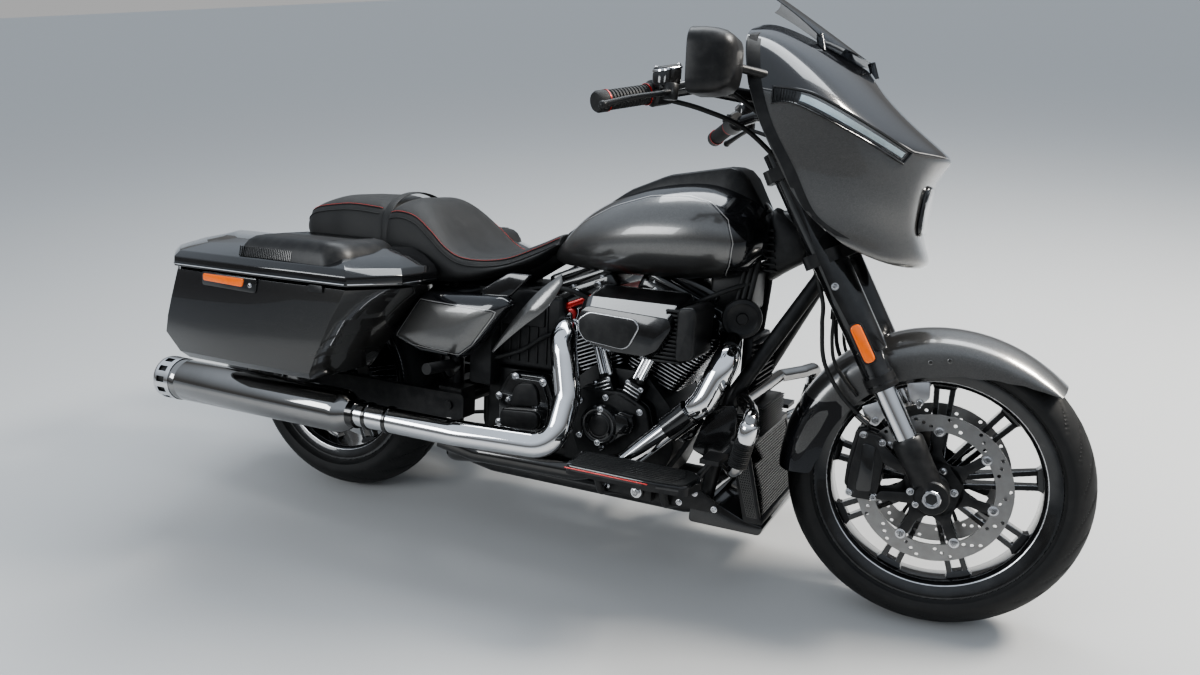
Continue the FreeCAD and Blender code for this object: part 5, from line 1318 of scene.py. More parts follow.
def grooveAt(t, share, turn):
    # depth of the tread pattern at a place across and round the tyre
    run = turn / math.tau * t["repeats"]
    pitch = math.tau * t["radius"] / t["repeats"]
    depth = 0.0
    for side in (-1, 1):
        reach = share * side
        if 0.16 < reach < 0.86:
            sweep = 0.9 * (reach - 0.16) ** 1.5 * 2.1
            offset = (run + (0.5 if side > 0 else 0.0) - sweep) % 1.0
            gap = min(offset, 1 - offset) * pitch
            width = tyres["grooveWidth"] * (0.6 + 0.8 * math.sin(math.pi * (reach - 0.16) / 0.7))
            depth = max(depth, 1.0 - max(0.0, gap - width * 0.5) / 1.6)
    centre = abs(share + 0.07 * math.sin(run * math.tau)) * t["half"]
    depth = max(depth, 1.0 - max(0.0, centre - 2.2) / 1.4)
    return max(0.0, min(1.0, depth)) * tyres["grooveDepth"]


def buildTyre(name):
    t = tyres[name]
    section = tyreSection(t)
    rows = []
    for i in range(tyres["steps"]):
        turn = math.tau * i / tyres["steps"]
        out = vec(math.sin(turn), 0, math.cos(turn))
        row = []
        for y, r, share in section:
            if share is not None and abs(share) < 0.95:
                r -= grooveAt(t, share, turn)
            row.append(t["centre"] + out * r + vec(0, y, 0))
        rows.append(row)
    tyre = outward(gridObject(name + "TyreTread", rows, closedRows=True, closedCols=True))
    settle(tyre, t["body"], "tyre", tyreRubber, replaces=(t["node"],), sharp=40)


for name in ("front", "rear"):
    buildTyre(name)
print("tyres built")


# Side covers and the fin panels ahead of them
covers = {
    "innerY": 168.0,
    "cover": ((300, 512), (392, 478), (520, 474), (574, 520), (662, 628), (640, 646), (400, 634)),
    "finUpper": ((604, 0, 506), (642, 4, 560), (684, 6, 614), (732, 4, 668), (787, 0, 712)),
    "finLower": ((609, 0, 503), (652, 14, 540), (704, 20, 584), (760, 14, 632), (793, 4, 690)),
    "web": ((584, 600), (640, 640), (700, 700), (640, 700), (560, 650)),
}


def buildSideCovers():
    outline = roundedOutline(covers["cover"], 16, 4)
    levels = ((0, 1.0), (26, 1.0), (40, 0.985), (50, 0.95), (60, 0.86), (68, 0.6), (71, 0.25))
    panel = pillow("coverPanel", outline, levels, lambda u, v, w: vec(u, -(covers["innerY"] + w), v))
    panel = bothSides("sideCoverPanels", subdivided(panel, 1))
    measure = outlineDistance(((330, 505), (520, 492), (556, 520), (622, 606), (404, 612)))
    markPaint(panel, lambda p: measure(p.x, p.z))
    settle(panel, "chassis", "grey_paint", bodyPaint, replaces=("side_covers",), sharp=45)
    blades = []
    for side in (-1, 1):
        rows = []
        for k, (upper, lower) in enumerate(zip(smoothLine(covers["finUpper"], 18),
                                               smoothLine(covers["finLower"], 18))):
            bulge = 9 * math.sin(math.pi * k / 17)
            middle = upper.lerp(lower, 0.5) + vec(0, bulge, 0)
            rows.append([vec(p.x, side * (206 + p.y), p.z) for p in (upper, middle, lower)])
        blades.append(baked(thickened(outward(gridObject("finBlade", rows)), 4.0, 0)))
    settle(bevelled(joinMeshes("finPanels", blades), 1.2, 2, 50), "chassis", "grey_paint", paintGrey,
           sharp=40)
    web = flatSlab("finWeb", covers["web"], -184, 14, 10, 3.0)
    settle(bothSides("finWebs", web), "chassis", "black_paint", paintBlack)


buildSideCovers()
buildLuggageTrim()
print("side covers and luggage trim built")


# Engine: two finned cylinders in a narrow vee, drawn from the crankshaft
engine = {
    "crank": vec(900, 0, 372), "leanDeg": 22.5, "finStart": 116.0, "finPitch": 9.2, "finCount": 18,
    "finThickness": 2.8,
    "caseHalf": 108.0,
    "trapezoid": ((628, 361), (636, 408), (651, 423), (689, 428), (704, 407), (708, 371)),
    "pad": ((602, 338), (608, 351), (697, 359), (712, 350), (711, 322), (693, 309), (616, 306), (603, 312)),
    "gearBase": ((588, 298), (736, 296), (745, 378), (718, 446), (612, 444), (580, 384)),
    "gearBolts": ((636, 436), (714, 432), (590, 380), (592, 312), (728, 312), (618, 374), (695, 368)),
    "camCase": ((800, 332), (828, 264), (940, 250), (1016, 330), (994, 412), (934, 444), (822, 438)),
    "camBolts": ((891, 424), (887, 300), (824, 408), (826, 322), (980, 402), (956, 286), (1000, 336)),
}


def onCylinder(end, up, across=0.0, left=0.0):
    # a place by its distance up a cylinder, out of the vee and to the left; end is 1 for the front one
    a = math.radians(engine["leanDeg"]) * end
    along, out = vec(math.sin(a), 0, math.cos(a)), vec(math.cos(a), 0, -math.sin(a))
    return engine["crank"] + along * up + out * across * end + vec(0, left, 0)


def cylinderSlab(name, end, start, thickness, inner, outer, half, corner, bevel=0.0, rim=0):
    # a slab square to a cylinder; its rim may take another material number
    inner = min(inner, math.tan(math.radians(engine["leanDeg"])) * start - 2.5)
    outline = roundedOutline([(-inner, -half), (outer, -half), (outer, half), (-inner, half)], corner, 6)
    piece = slab(name, outline, thickness, lambda u, v, w: onCylinder(end, start + w, u, v), bevel)
    if rim:
        piece.data.polygons.foreach_set("material_index",
                                        [rim if len(p.vertices) == 4 else 0 for p in piece.data.polygons])
    return piece


def buildCylinders():
    cores, bands, rockers, bolts = [], [], [], []
    for end in (1, -1):
        for n in range(engine["finCount"]):
            g = n / (engine["finCount"] - 1)
            up = engine["finStart"] + engine["finPitch"] * n
            reach = 98 + 46 * g if end > 0 else 86 + 28 * g
            cores.append(cylinderSlab("fin", end, up, engine["finThickness"], 58 + 36 * g, reach,
                                      78 + 14 * g, 26, rim=1))
        cores.append(cylinderSlab("barrel", end, 112, 66, 40, 66, 62, 34))
        cores.append(cylinderSlab("head", end, 176, 102, 66, 92, 74, 30))
        cores.append(cylinderSlab("deck", end, 276, 7, 90, 116, 88, 26))
        out = 146 if end > 0 else 118
        bands.append(baked(cylinderSlab("redBand", end, 281, 15, 96, out, 95, 24, 2.0)))
        rockers.append(baked(cylinderSlab("rockerBase", end, 295, 33, 98, out, 93, 24, 4.0)))
        rockers.append(baked(cylinderSlab("rockerMiddle", end, 327, 22, 92, out - 10, 86, 24, 6.0)))
        rockers.append(baked(cylinderSlab("rockerTop", end, 348, 27, 76, 94, 64, 22, 9.0)))
        up = onCylinder(end, 1) - onCylinder(end, 0)
        for across, left in ((-62, -80), (20, -84), (102, -80), (-62, 80), (20, 84), (102, 80)):
            bolts.append((onCylinder(end, 328, across, left), up))
        for across in (-50, 12, 74):
            bolts.append((onCylinder(end, 314, across, -93), vec(0, -1, 0)))
    settleJoined("cylinderFins", cores, "chassis", "engine_black", [engineBlack, finEdge],
                 replaces=("cylinders",))
    settleJoined("rockerBands", bands, "chassis", "engine_black", redTrim)
    settleJoined("rockerCovers", rockers, "chassis", "black_satin", glossBlack, replaces=("rocker_covers",))
    fasten("chassis", "rockerBolts", bolts, 6.5, 6.0)


def buildCases():
    half = engine["caseHalf"]
    profile = [(765, 208), (1010, 208), (1050, 300), (1040, 410), (966, 488), (834, 488), (765, 430)]
    body = [slab("case", roundedOutline(profile, 14, 4), 2 * half, facing(-half), 3.0)]
    body.append(boxPiece("gearbox", (532, -half + 4, 208), (772, 80, 446), 8.0))
    body.append(flatSlab("camCase", engine["camCase"], -half + 2, 48, 12, 5.0))
    body.append(flatSlab("camRim", scaledOutline(engine["camCase"], 1.03), -half + 2, 30, 12, 2.0))
    for z in (236, 262):
        body.append(slab("rib", [(560, z), (760, z), (760, z + 5), (560, z + 5)], 6, facing(-half + 2, -1),
                         1.5))
    settleJoined("crankcaseCastings", body, "chassis", "engine_black", engineBlack, replaces=("crankcase",))
    fasten("chassis", "caseBolts", toRight(-156, engine["camBolts"]), 5.5, 5.0)
    centre = vec(888, -158, 360)
    arm = [(888 + 50 * math.cos(a), 360 + 50 * math.sin(a))
           for a in (math.radians(d) for d in range(40, 321, 20))]
    arm += [(948, 344), (966, 352), (974, 374), (968, 396), (940, 402)]
    parts = [flatSlab("camArm", arm, -156, 18, 2, 3.5)]
    parts.append(lathe("camDome", [(0, 49), (19, 49), (23, 46), (24.5, 41), (23.5, 38.5), (23.5, 30),
                                   (24.5, 28.5), (24.5, 27), (22.5, 26), (22.5, 25)], centre, vec(0, -1, 0),
                       64))
    parts.append(flatSlab("camRaise", ((930, 350), (958, 356), (964, 374), (958, 390), (930, 396)), -172, 9,
                          5, 2.5))
    settleJoined("camCover", parts, "chassis", "black_satin", glossBlack)
    disc = lathe("camDisc", [(0, 26), (22.6, 26), (23.6, 24), (24.6, 20), (25.4, 0)], centre, vec(0, -1, 0),
                 48)
    settle(disc, "chassis", "black_satin", satinBlack)
    settle(lathe("camRing", [(22.4, 26.4), (24.0, 26.4), (24.0, 25.2), (22.4, 25.2)], centre, vec(0, -1, 0),
                 64), "chassis", "steel", blackChrome)
    fasten("chassis", "camCoverBolts", toRight(-182, ((891, 401), (887, 319))), 5.0, 4.0)
    parts = [flatSlab("gearBase", engine["gearBase"], -half + 5, 34, 16, 5.0),
             flatSlab("gearStep", scaledOutline(engine["gearBase"], 0.86), -half - 28, 8, 14, 3.0)]
    settleJoined("gearboxCover", parts, "chassis", "engine_black", glossBlack, replaces=("gearbox_cover",))
    upper = [flatSlab("gearTrapezoid", engine["trapezoid"], -143, 9, 10, 3.0),
             flatSlab("gearPad", engine["pad"], -143, 16, 8, 4.0)]
    settleJoined("gearboxRaised", upper, "chassis", "black_satin", satinBlack)
    settle(flatSlab("padLine", scaledOutline(engine["pad"], 1.05), -143, 6, 8, 1.0), "chassis", "alloy",
           blackChrome)
    fasten("chassis", "gearboxBolts", toRight(-143, engine["gearBolts"]), 7.0, 6.0)
    blocks, slots, bolts = [], [], []
    for end in (1, -1):
        middle = vec(917 + end * 37, 0, 447)
        a = math.radians(engine["leanDeg"]) * end
        up, across = vec(math.sin(a), 0, math.cos(a)), vec(math.cos(a), 0, -math.sin(a))

        def at(u, v, w, y=-108.0):
            return middle + across * u + up * v + vec(0, y - w, 0)
        blocks.append(slab("tappet", [(-24, -22), (24, -22), (24, 20), (-24, 20)], 40, at, 3.0))
        blocks.append(slab("tappetFlange", [(-28, -26), (28, -26), (28, -18), (-28, -18)], 46, at, 2.0))
        for v in (12, 3, -6):
            slots.append(slab("tappetFin", [(-20, v - 1.6), (20, v - 1.6), (20, v + 1.6), (-20, v + 1.6)],
                              5.5, lambda u, v, w: at(u, v, w, -146.5), 1.0))
        for u, v in ((-21, -22), (21, -22), (-21, 16), (21, 16)):
            bolts.append((at(u * 0.86, v * 0.9, 0, -148), vec(0, -1, 0)))
    settleJoined("tappetBlocks", blocks, "chassis", "engine_black", engineBlack)
    settleJoined("tappetFins", slots, "chassis", "alloy", finEdge)
    fasten("chassis", "tappetBolts", bolts, 4.4, 4.0)
    tubes, seals = [], []
    for end in (1, -1):
        for n in (0, 1):
            foot = vec(917 + end * (28 + 18 * n), -122 - 4 * n, 462)
            head = vec(foot.x + end * 72, -96, 640)
            tubes.append(rodBetween("pushrod", foot, foot.lerp(head, 0.52), 8.6))
            tubes.append(rodBetween("pushrod", foot.lerp(head, 0.5), head, 6.8))
            tubes.append(rodBetween("pushrod", foot.lerp(head, 0.47), foot.lerp(head, 0.53), 10.4,
                                    chamfer=2.0))
            seals.append(rodBetween("seal", foot.lerp(head, -0.01), foot.lerp(head, 0.06), 11.0,
                                    chamfer=2.5))
    settleJoined("pushrodTubes", tubes, "chassis", "chrome", chrome, replaces=("pushrod_tubes",))
    settleJoined("pushrodSeals", seals, "chassis", "rubber", softRubber)


# Air cleaner: outlines at the back, at the shoulder and at the face, corner for corner
cleaner = {
    "back": ((838, 606), (842, 660), (862, 690), (1084, 690), (1100, 640), (1070, 552), (1030, 536),
             (944, 536), (876, 550), (850, 580)),
    "shoulder": ((846, 608), (850, 656), (868, 672), (1082, 672), (1092, 640), (1062, 556), (1026, 543),
                 (946, 544), (878, 558), (854, 588)),
    "face": ((856, 610), (859, 636), (878, 653), (1074, 645), (1082, 626), (1050, 572), (1020, 556),
             (950, 557), (886, 570), (864, 592)),
    "plate": ((858, 622), (884, 641), (996, 636), (1009, 620), (986, 573), (970, 565), (876, 575),
              (860, 595)),
}


def buildAirCleaner():
    rows = []
    for key, y in (("back", -128), ("back", -150), ("shoulder", -216), ("shoulder", -219), ("face", -250),
                   ("face", -252)):
        rows.append([vec(u, y, v) for u, v in roundedOutline(cleaner[key], 14 if key == "back" else 9, 4)])
    shell = outward(gridObject("airCleanerShell", rows, closedRows=True, caps=True))
    settle(bevelled(shell, 1.6, 2, 25), "chassis", "black_satin", glossBlack, replaces=("air_cleaner",))
    neck = rodBetween("intakeNeck", vec(960, -60, 612), vec(960, -130, 612), 36)
    settle(neck, "chassis", "engine_black", engineBlack)
    settle(flatSlab("plateRim", cleaner["plate"], -250, 5, 8, 1.2), "chassis", "alloy", finEdge)
    settle(flatSlab("plate", scaledOutline(cleaner["plate"], 0.955), -252, 5, 7, 0.8), "chassis",
           "black_satin", satinBlack)
    ribs = []
    for n in range(13):
        z = 546 + n * 9.4
        lean = (z - 546) / 118 * 26
        ribs.append(boxPiece("rib", (1036 + lean, -238, z), (1100, -128, z + 5.2), 1.0))
    ribs.append(boxPiece("filterCore", (1050, -228, 548), (1098, -128, 664), 2.0))
    settleJoined("filterRibs", ribs, "chassis", "rubber", mouldedBlack)
    cap = slab("filterCap", roundedOutline(((1093, 552), (1134, 560), (1137, 668), (1127, 676),
                                            (1093, 672)), 14, 5), 124, facing(-130, -1), 10.0, 4)
    settle(cap, "chassis", "black_satin", satinBlack)


def arcPath(points, bend, steps=8):
    # straight runs joined by arcs, as a dense line
    points = [Vector(p) for p in points]
    path = [points[0]]
    for before, corner, after in zip(points, points[1:], points[2:]):
        back, ahead = before - corner, after - corner
        halfAngle = back.angle(ahead) / 2
        reach = min(bend / math.tan(halfAngle), 0.48 * back.length, 0.48 * ahead.length)
        a, b = corner + back.normalized() * reach, corner + ahead.normalized() * reach
        weight = math.sin(halfAngle)
        for k in range(steps + 1):
            t = k / steps
            share = (1 - t) ** 2 + 2 * weight * t * (1 - t) + t * t
            path.append((a * (1 - t) ** 2 + corner * 2 * weight * t * (1 - t) + b * t * t) / share)
    path.append(points[-1])
    return path


exhaust = {
    "y": 300.0, "z": 316.0, "front": 235.0, "rear": -345.0,
    "rearPath": ((762, -78, 588), (790, -196, 566), (824, -222, 430), (815, -266, 316), (560, -300, 316),
                 (275, -300, 316)),
    "frontPath": ((1050, -60, 590), (1168, -80, 592), (1194, -192, 566), (1152, -208, 466),
                  (968, -216, 290), (860, -232, 262), (600, -262, 268), (520, -292, 296)),
    "linkPath": ((620, -256, 264), (500, -220, 238), (500, 220, 238), (430, 300, 316), (275, 300, 316)),
}


def splitPath(path, share1, share2, count=40):
    # the part of a path between two shares of its length, evenly stepped
    lengths = [0.0]
    for a, b in zip(path, path[1:]):
        lengths.append(lengths[-1] + (b - a).length)
    made = []
    for k in range(count):
        want = lengths[-1] * (share1 + (share2 - share1) * k / (count - 1))
        i = max(j for j, length in enumerate(lengths) if length <= want + 1e-6)
        i = min(i, len(path) - 2)
        run = lengths[i + 1] - lengths[i]
        made.append(path[i].lerp(path[i + 1], (want - lengths[i]) / run if run > 0 else 0))
    return made


def buildExhaust():
    rearLine, frontLine, linkLine = (arcPath(exhaust[k], b, 10)
                                     for k, b in (("rearPath", 60), ("frontPath", 54), ("linkPath", 48)))
    settle(sweptTube("rearHeader", splitPath(rearLine, 0, 1, 90), 32), "chassis", "chrome", chrome,
           replaces=("exhaust_headers",))
    settle(sweptTube("frontUpper", splitPath(frontLine, 0, 0.36, 44), 24), "chassis", "engine_black",
           blackChrome)
    settle(sweptTube("frontLower", splitPath(frontLine, 0.33, 0.56, 30), 24), "chassis", "chrome", chrome)
    settle(joinMeshes("underPipes", [sweptTube("under", splitPath(frontLine, 0.55, 1, 44), 25),
                                     sweptTube("link", splitPath(linkLine, 0, 1, 80), 23)]), "chassis",
           "engine_black", blackChrome)
    shield = splitPath(frontLine, 0.175, 0.355, 24)
    radii = [29.5 * (1 - abs(2 * k / 23 - 1) ** 6 * 0.28) + 1.5 * math.sin(k / 23 * math.pi)
             for k in range(24)]
    settle(sweptTube("frontShield", shield, 30, 32, radii), "chassis", "chrome", chrome)
    clampLine = splitPath(frontLine, 0.352, 0.415, 6)
    settle(sweptTube("pipeClamp", clampLine, 31), "chassis", "black_satin", glossBlack)
    middle = clampLine[2]
    bolt = rodBetween("clampBolt", middle + vec(22, -16, 18), middle + vec(40, -20, 30), 8, chamfer=2.0)
    settle(bolt, "chassis", "steel", fastener)
    ring = []
    for share in (0.885, 0.955):
        p = splitPath(rearLine, share, share + 0.012, 2)
        ring.append(rodBetween("ring", p[0], p[1], 35, 40, 1.5))
    settleJoined("headerClamps", ring, "chassis", "black_satin", blackChrome)
    e = exhaust
    bodies, caps, throats, clamps = [], [], [], []
    for side in (-1, 1):
        start, back = vec(e["front"] + 40, side * e["y"], e["z"]), vec(-1, 0, 0)
        long = e["front"] + 40 - e["rear"]
        bodies.append(lathe("muffler", [(0, 33), (14, 34), (28, 46), (44, 55), (60, 57), (long - 26, 57),
                                        (long - 24, 56), (long - 20, 56), (long - 18, 57), (long, 57),
                                        (long + 6, 52)], start, back, 64))
        clamps.append(lathe("clamp", [(-2, 32.5), (-2, 37), (22, 37), (22, 32.5)], start, back, 48))
        columns, capRows = 72, []
        for along, radius in ((-2, 59.0), (8, 59.5), (12, 59.5), (40, 59.5), (46, 59.5), (53, 58.5),
                              (56, 56), (56, 50), (46, 46)):
            at = vec(e["rear"] - along, side * e["y"], e["z"])
            capRows.append(ringOf(at, vec(1, 0, 0), radius, columns))
        verts = [p for row in capRows for p in row]
        faces = [(i * columns + j, i * columns + (j + 1) % columns, (i + 1) * columns + (j + 1) % columns,
                  (i + 1) * columns + j) for i in range(len(capRows) - 1)
                 for j in range(columns) if not (i == 2 and j % 6 < 3)]
        cap = outward(meshObject("cap", verts, faces))
        caps.append(baked(thickened(cap, 2.2)))
        rear = vec(e["rear"] - 50, side * e["y"], e["z"])
        throats.append(lathe("throat", [(-50, 54), (-4, 54), (-4, 44), (1, 44), (1, 26), (-34, 25),
                                        (-34, 0)], rear, vec(-1, 0, 0), 48))
    settleJoined("mufflerBodies", bodies, "chassis", "chrome", darkChrome,
                 replaces=("muffler_right", "muffler_left"))
    settleJoined("mufflerClamps", clamps, "chassis", "black_satin", blackChrome)
    settleJoined("mufflerCaps", caps, "chassis", "chrome", chrome)
    settleJoined("mufflerThroats", throats, "chassis", "engine_black", engineBlack)


def buildFrontOfEngine():
    core = slab("radiatorCore", [(1212, 368), (1240, 368), (1280, 206), (1254, 202)], 320, facing(-160),
                2.0)
    settle(core, "chassis", "engine_black", engineBlack, replaces=("radiator",))
    frameParts = []
    for y in (-168, 156):
        frameParts.append(slab("side", roundedOutline([(1206, 374), (1246, 376), (1290, 198), (1250, 194)],
                                                      8, 3), 12, facing(y), 2.5))
    for u0, v0, u1, v1 in ((1206, 362, 1250, 376), (1248, 194, 1292, 208)):
        frameParts.append(slab("rail", [(u0, v0), (u1, v0), (u1, v1), (u0, v1)], 332, facing(-166), 2.5))
    settleJoined("radiatorFrame", frameParts, "chassis", "black_satin", satinBlack)
    screen = barMesh("radiatorMesh", ((1247, -156, 364), (1247, 156, 364), (1287, 156, 206),
                                      (1287, -156, 206)), 52, 27, 1.3, 1.6)
    settle(screen, "chassis", "alloy", blackChrome, flat=True)
    sideScreen = barMesh("radiatorSideMesh", ((1214, -168.5, 358), (1244, -168.5, 358), (1280, -168.5, 210),
                                              (1258, -168.5, 210)), 6, 26, 1.3, 1.0)
    settle(sideScreen, "chassis", "alloy", blackChrome, flat=True)
    ribs = [boxPiece("cooler", (1216, -88, 371), (1250, 88, 444), 3.0)]
    for n in range(12):
        ribs.append(boxPiece("coolerFin", (1211, -92, 375 + n * 5.8), (1256, 92, 377.2 + n * 5.8), 0.6))
    settleJoined("oilCooler", ribs, "chassis", "engine_black", satinBlack)
    cowl = slab("cowl", roundedOutline([(1118, 166), (1288, 166), (1294, 190), (1250, 196), (1162, 232),
                                        (1120, 204)], 10, 4), 320, facing(-160), 6.0, 3)
    settle(cowl, "chassis", "black_satin", glossBlack)
    guard = flatSlab("lowerGuard", ((1112, 336), (1150, 446), (1206, 456), (1214, 430), (1212, 350),
                                    (1206, 300)), -146, 9, 12, 3.0)
    settle(guard, "chassis", "black_satin", glossBlack)
    roundCover = lathe("roundCover", [(0, 38), (32, 38), (37, 35), (39, 30), (38, 28), (38, 10), (41, 8),
                                      (41, 0)], vec(1077, -104, 382), vec(0, -1, 0), 48)
    settle(roundCover, "chassis", "black_satin", glossBlack)
    half = [(1224, 0, 468), (1224, -150, 468), (1264, -230, 470), (1288, -304, 474), (1262, -304, 352),
            (1172, -118, 318)]
    path = arcPath([vec(x, -y, z) for x, y, z in reversed(half[1:])] + [vec(*p) for p in half[1:]], 40, 8)
    settle(sweptTube("guardBar", path, 16), "chassis", "chrome", darkChrome, replaces=("engine_guard",),
           sharp=40)
    wraps, pegs = [], []
    for side in (-1, 1):
        line = arcPath([vec(1287, side * 304, 462), vec(1265, side * 304, 366)], 10, 2)
        wraps.append(sweptTube("wrap", splitPath(line, 0, 0.46, 14), 20, 32,
                               [17 + 5.0 * max(0.0, math.sin(math.pi * k / 13)) ** 0.5 for k in range(14)]))
        low = splitPath(line, 0.44, 1, 60)
        pegs.append(sweptTube("peg", low, 19, 24, [19.5 + 1.3 * math.sin(k * 1.35) for k in range(60)]))
    settleJoined("guardWraps", wraps, "chassis", "chrome", chrome)
    settleJoined("guardRubbers", pegs, "chassis", "rubber", softRubber)


def buildFootControls():
    edges, pads, lines = [], [], []
    outline = ((884, 262), (1168, 262), (1192, 300), (1180, 366), (1100, 376), (900, 372))
    for side in (-1, 1):
        def place(u, v, w):
            return vec(u, side * v, w)
        edges.append(slab("board", roundedOutline(outline, 16, 5), 16, lambda u, v, w: place(u, v, 305 + w),
                          4.0))
        inset = scaledOutline(outline, 0.93)
        pads.append(slab("pad", roundedOutline(inset, 14, 5), 5, lambda u, v, w: place(u, v, 319 + w), 1.5))
        for n in range(9):
            y0 = 276 + n * 10.5
            pads.append(slab("rib", [(908, y0), (1160 - abs(n - 4) * 3, y0),
                                     (1160 - abs(n - 4) * 3, y0 + 5), (908, y0 + 5)], 3,
                             lambda u, v, w: place(u, v, 323 + w), 1.0))
        lines.append(sweptTube("line", [vec(902, side * 374.2, 315), vec(1000, side * 375.4, 315),
                                        vec(1098, side * 377.6, 315)], 1.5, 8))
    settleJoined("footboardPlates", edges, "chassis", "black_satin", glossBlack)
    settleJoined("footboardPads", pads, "chassis", "rubber", softRubber)
    settleJoined("footboardLines", lines, "chassis", "rubber", redTrim)
    cluster = [boxPiece("master", (1010, -252, 226), (1060, -222, 262), 6.0),
               rodBetween("hub", vec(1025, -220, 247), vec(1025, -258, 247), 17)]
    cluster.append(slab("bracket", roundedOutline([(930, 226), (1210, 224), (1206, 246), (1150, 282),
                                                   (1085, 280), (1000, 262), (930, 250)], 8, 3), 8,
                        facing(-222, -1), 2.0))
    settleJoined("controlBracket", cluster, "chassis", "black_satin", satinBlack)
    places = ((1085, 268), (1122, 262), (1153, 262), (940, 238), (1118, 234), (1200, 234), (1038, 234))
    fasten("chassis", "controlBolts", toRight(-230, places), 5.0, 5.0)
    fasten("chassis", "controlHub", toRight(-257, ((1025, 247),)), 9.0, 7.0)


buildCylinders()
buildCases()
buildAirCleaner()
buildExhaust()
buildFrontOfEngine()
buildFootControls()
print("engine built")


# Wheels: rim, hub and nine pairs of slim spokes with a bright machined edge
wheels = {
    "front": {"centre": vec(*bike["frontAxle"]), "seat": 241.3, "half": 50.0, "hub": 78.0,
              "body": "front_wheel",
              "node": "front_wheel", "piece": "frontWheelCasting"},
    "rear": {"centre": vec(0, 0, bike["rearAxleZ"]), "seat": 228.6, "half": 71.0, "hub": 128.0,
             "body": "rear_wheel",
             "node": "rear_wheel", "piece": "rearWheelCasting"},
    "pairs": 9, "spokeWidth": 12.0, "hubRadius": 40.0,
}


def ringSolid(name, section, centre, steps):
    # a closed section of (y, radius) turned about the wheel's axle
    rows = [[centre + vec(math.sin(a) * r, y, math.cos(a) * r)
             for a in (math.tau * k / steps for k in range(steps))] for y, r in section]
    return outward(gridObject(name, rows, closedRows=True, closedCols=True))


def edgeLit(obj, width, angle=40.0):
    # bevelled with the bevels in the second material
    bevelled(obj, width, 1, angle)
    obj.modifiers["bevel"].material = 1
    obj.data.materials.append(glossBlack)
    obj.data.materials.append(finEdge)
    return baked(obj)


def squareBar(name, verts):
    # a bar through sections of four corners each, closed at both ends
    last = len(verts) - 4
    faces = [(0, 1, 2, 3), (last + 3, last + 2, last + 1, last)]
    faces += [(k + j, k + (j + 1) % 4, k + 4 + (j + 1) % 4, k + 4 + j) for k in range(0, last, 4)
              for j in range(4)]
    return outward(meshObject(name, verts, faces))


def buildWheel(key):
    w = wheels[key]
    centre, seat, half = w["centre"], w["seat"], w["half"]
    floor, flange, lip = seat - 24, seat + 13, half - 6
    rim = ringSolid("rim", [(half, flange), (half, seat + 2), (half - 4, seat - 6), (half - 6, floor + 8),
                            (half - 16, floor), (-half + 16, floor), (-half + 6, floor + 8),
                            (-half + 4, seat - 6), (-half, seat + 2), (-half, flange), (-lip, flange),
                            (-lip, seat), (-lip + 14, seat), (-lip + 20, floor + 7), (lip - 20, floor + 7),
                            (lip - 14, seat), (lip, seat), (lip, flange)], centre, 128)
    parts = [edgeLit(rim, 1.4, 32)]
    step, wide = wheels["hubRadius"] - 8, half * 0.6
    hub = lathe("hub", [(-w["hub"], 0), (-w["hub"], step - 2), (-w["hub"] + 2, step), (-wide - 12, step),
                        (-wide - 4, 40), (-wide, 44), (-wide + 6, 44), (-wide + 12, 38), (wide - 12, 38),
                        (wide - 6, 44), (wide, 44), (wide + 4, 40), (wide + 12, step), (w["hub"] - 2, step),
                        (w["hub"], step - 2), (w["hub"], 0)], centre, vec(0, 1, 0), 64)
    parts.append(hub)
    deep, shallow = half * 0.5, 11.0
    for n in range(wheels["pairs"]):
        turn = Matrix.Rotation(math.tau * n / wheels["pairs"], 4, "Y")
        pieces = []
        for side in (-1, 1):
            low, high, width = side * 10.0, side * 17.0, wheels["spokeWidth"]
            verts = []
            for u, r, deepness in ((low, 34, deep), (side * 10.5, 70, deep * 0.82),
                                   (side * 14.0, 150, shallow + 3), (high, floor + 3, shallow)):
                for du, dy in ((-0.5, -1), (0.5, -1), (0.5, 1), (-0.5, 1)):
                    verts.append(vec(u + du * width, dy * deepness, r))
            pieces.append(edgeLit(squareBar("arm", verts), 1.5))
        foot = squareBar("foot", [vec(u, y, r) for r, uu, yy in ((floor - 13, 22, 11), (floor - 6, 25, 14),
                (floor + 2, 32, 16)) for u, y in ((-uu, -yy), (uu, -yy), (uu, yy), (-uu, yy))])
        pieces.append(edgeLit(foot, 1.2))
        for piece in pieces:
            piece.data.transform(Matrix.Translation(centre) @ turn)
        parts += pieces
    settleJoined(w["piece"], parts, w["body"], "black_paint", [glossBlack, finEdge], replaces=(w["node"],),
                 sharp=30)


def discSides(body):
    # two discs on the front wheel, one on the right of the rear wheel
    return (-1, 1) if body == "front_wheel" else (-1,)


def discCarriers(name, centre, y, radius, body):
    # dark arms from the hub out to the buttons, over both faces of the disc
    pieces = []
    for side in discSides(body):
        start = centre + vec(0, side * y - 3.7, 0)
        pieces.append(ringSolid("carrier", [(0, 62), (7.4, 62), (7.4, 34), (0, 34)], start, 56))
        reach = radius - 42
        for n in range(7):
            turn = Matrix.Rotation(math.tau * n / 7, 3, "Y")
            outline = roundedOutline([(-24, 54), (24, 54), (9.5, 78), (10.5, reach), (0, reach + 3),
                                      (-10.5, reach), (-9.5, 78)], 4, 3)
            pieces.append(slab("arm", outline, 7.4, lambda u, v, w: start + turn @ vec(u, w, v), 1.2))
    settleJoined(name, pieces, body, "black_satin", satinBlack)


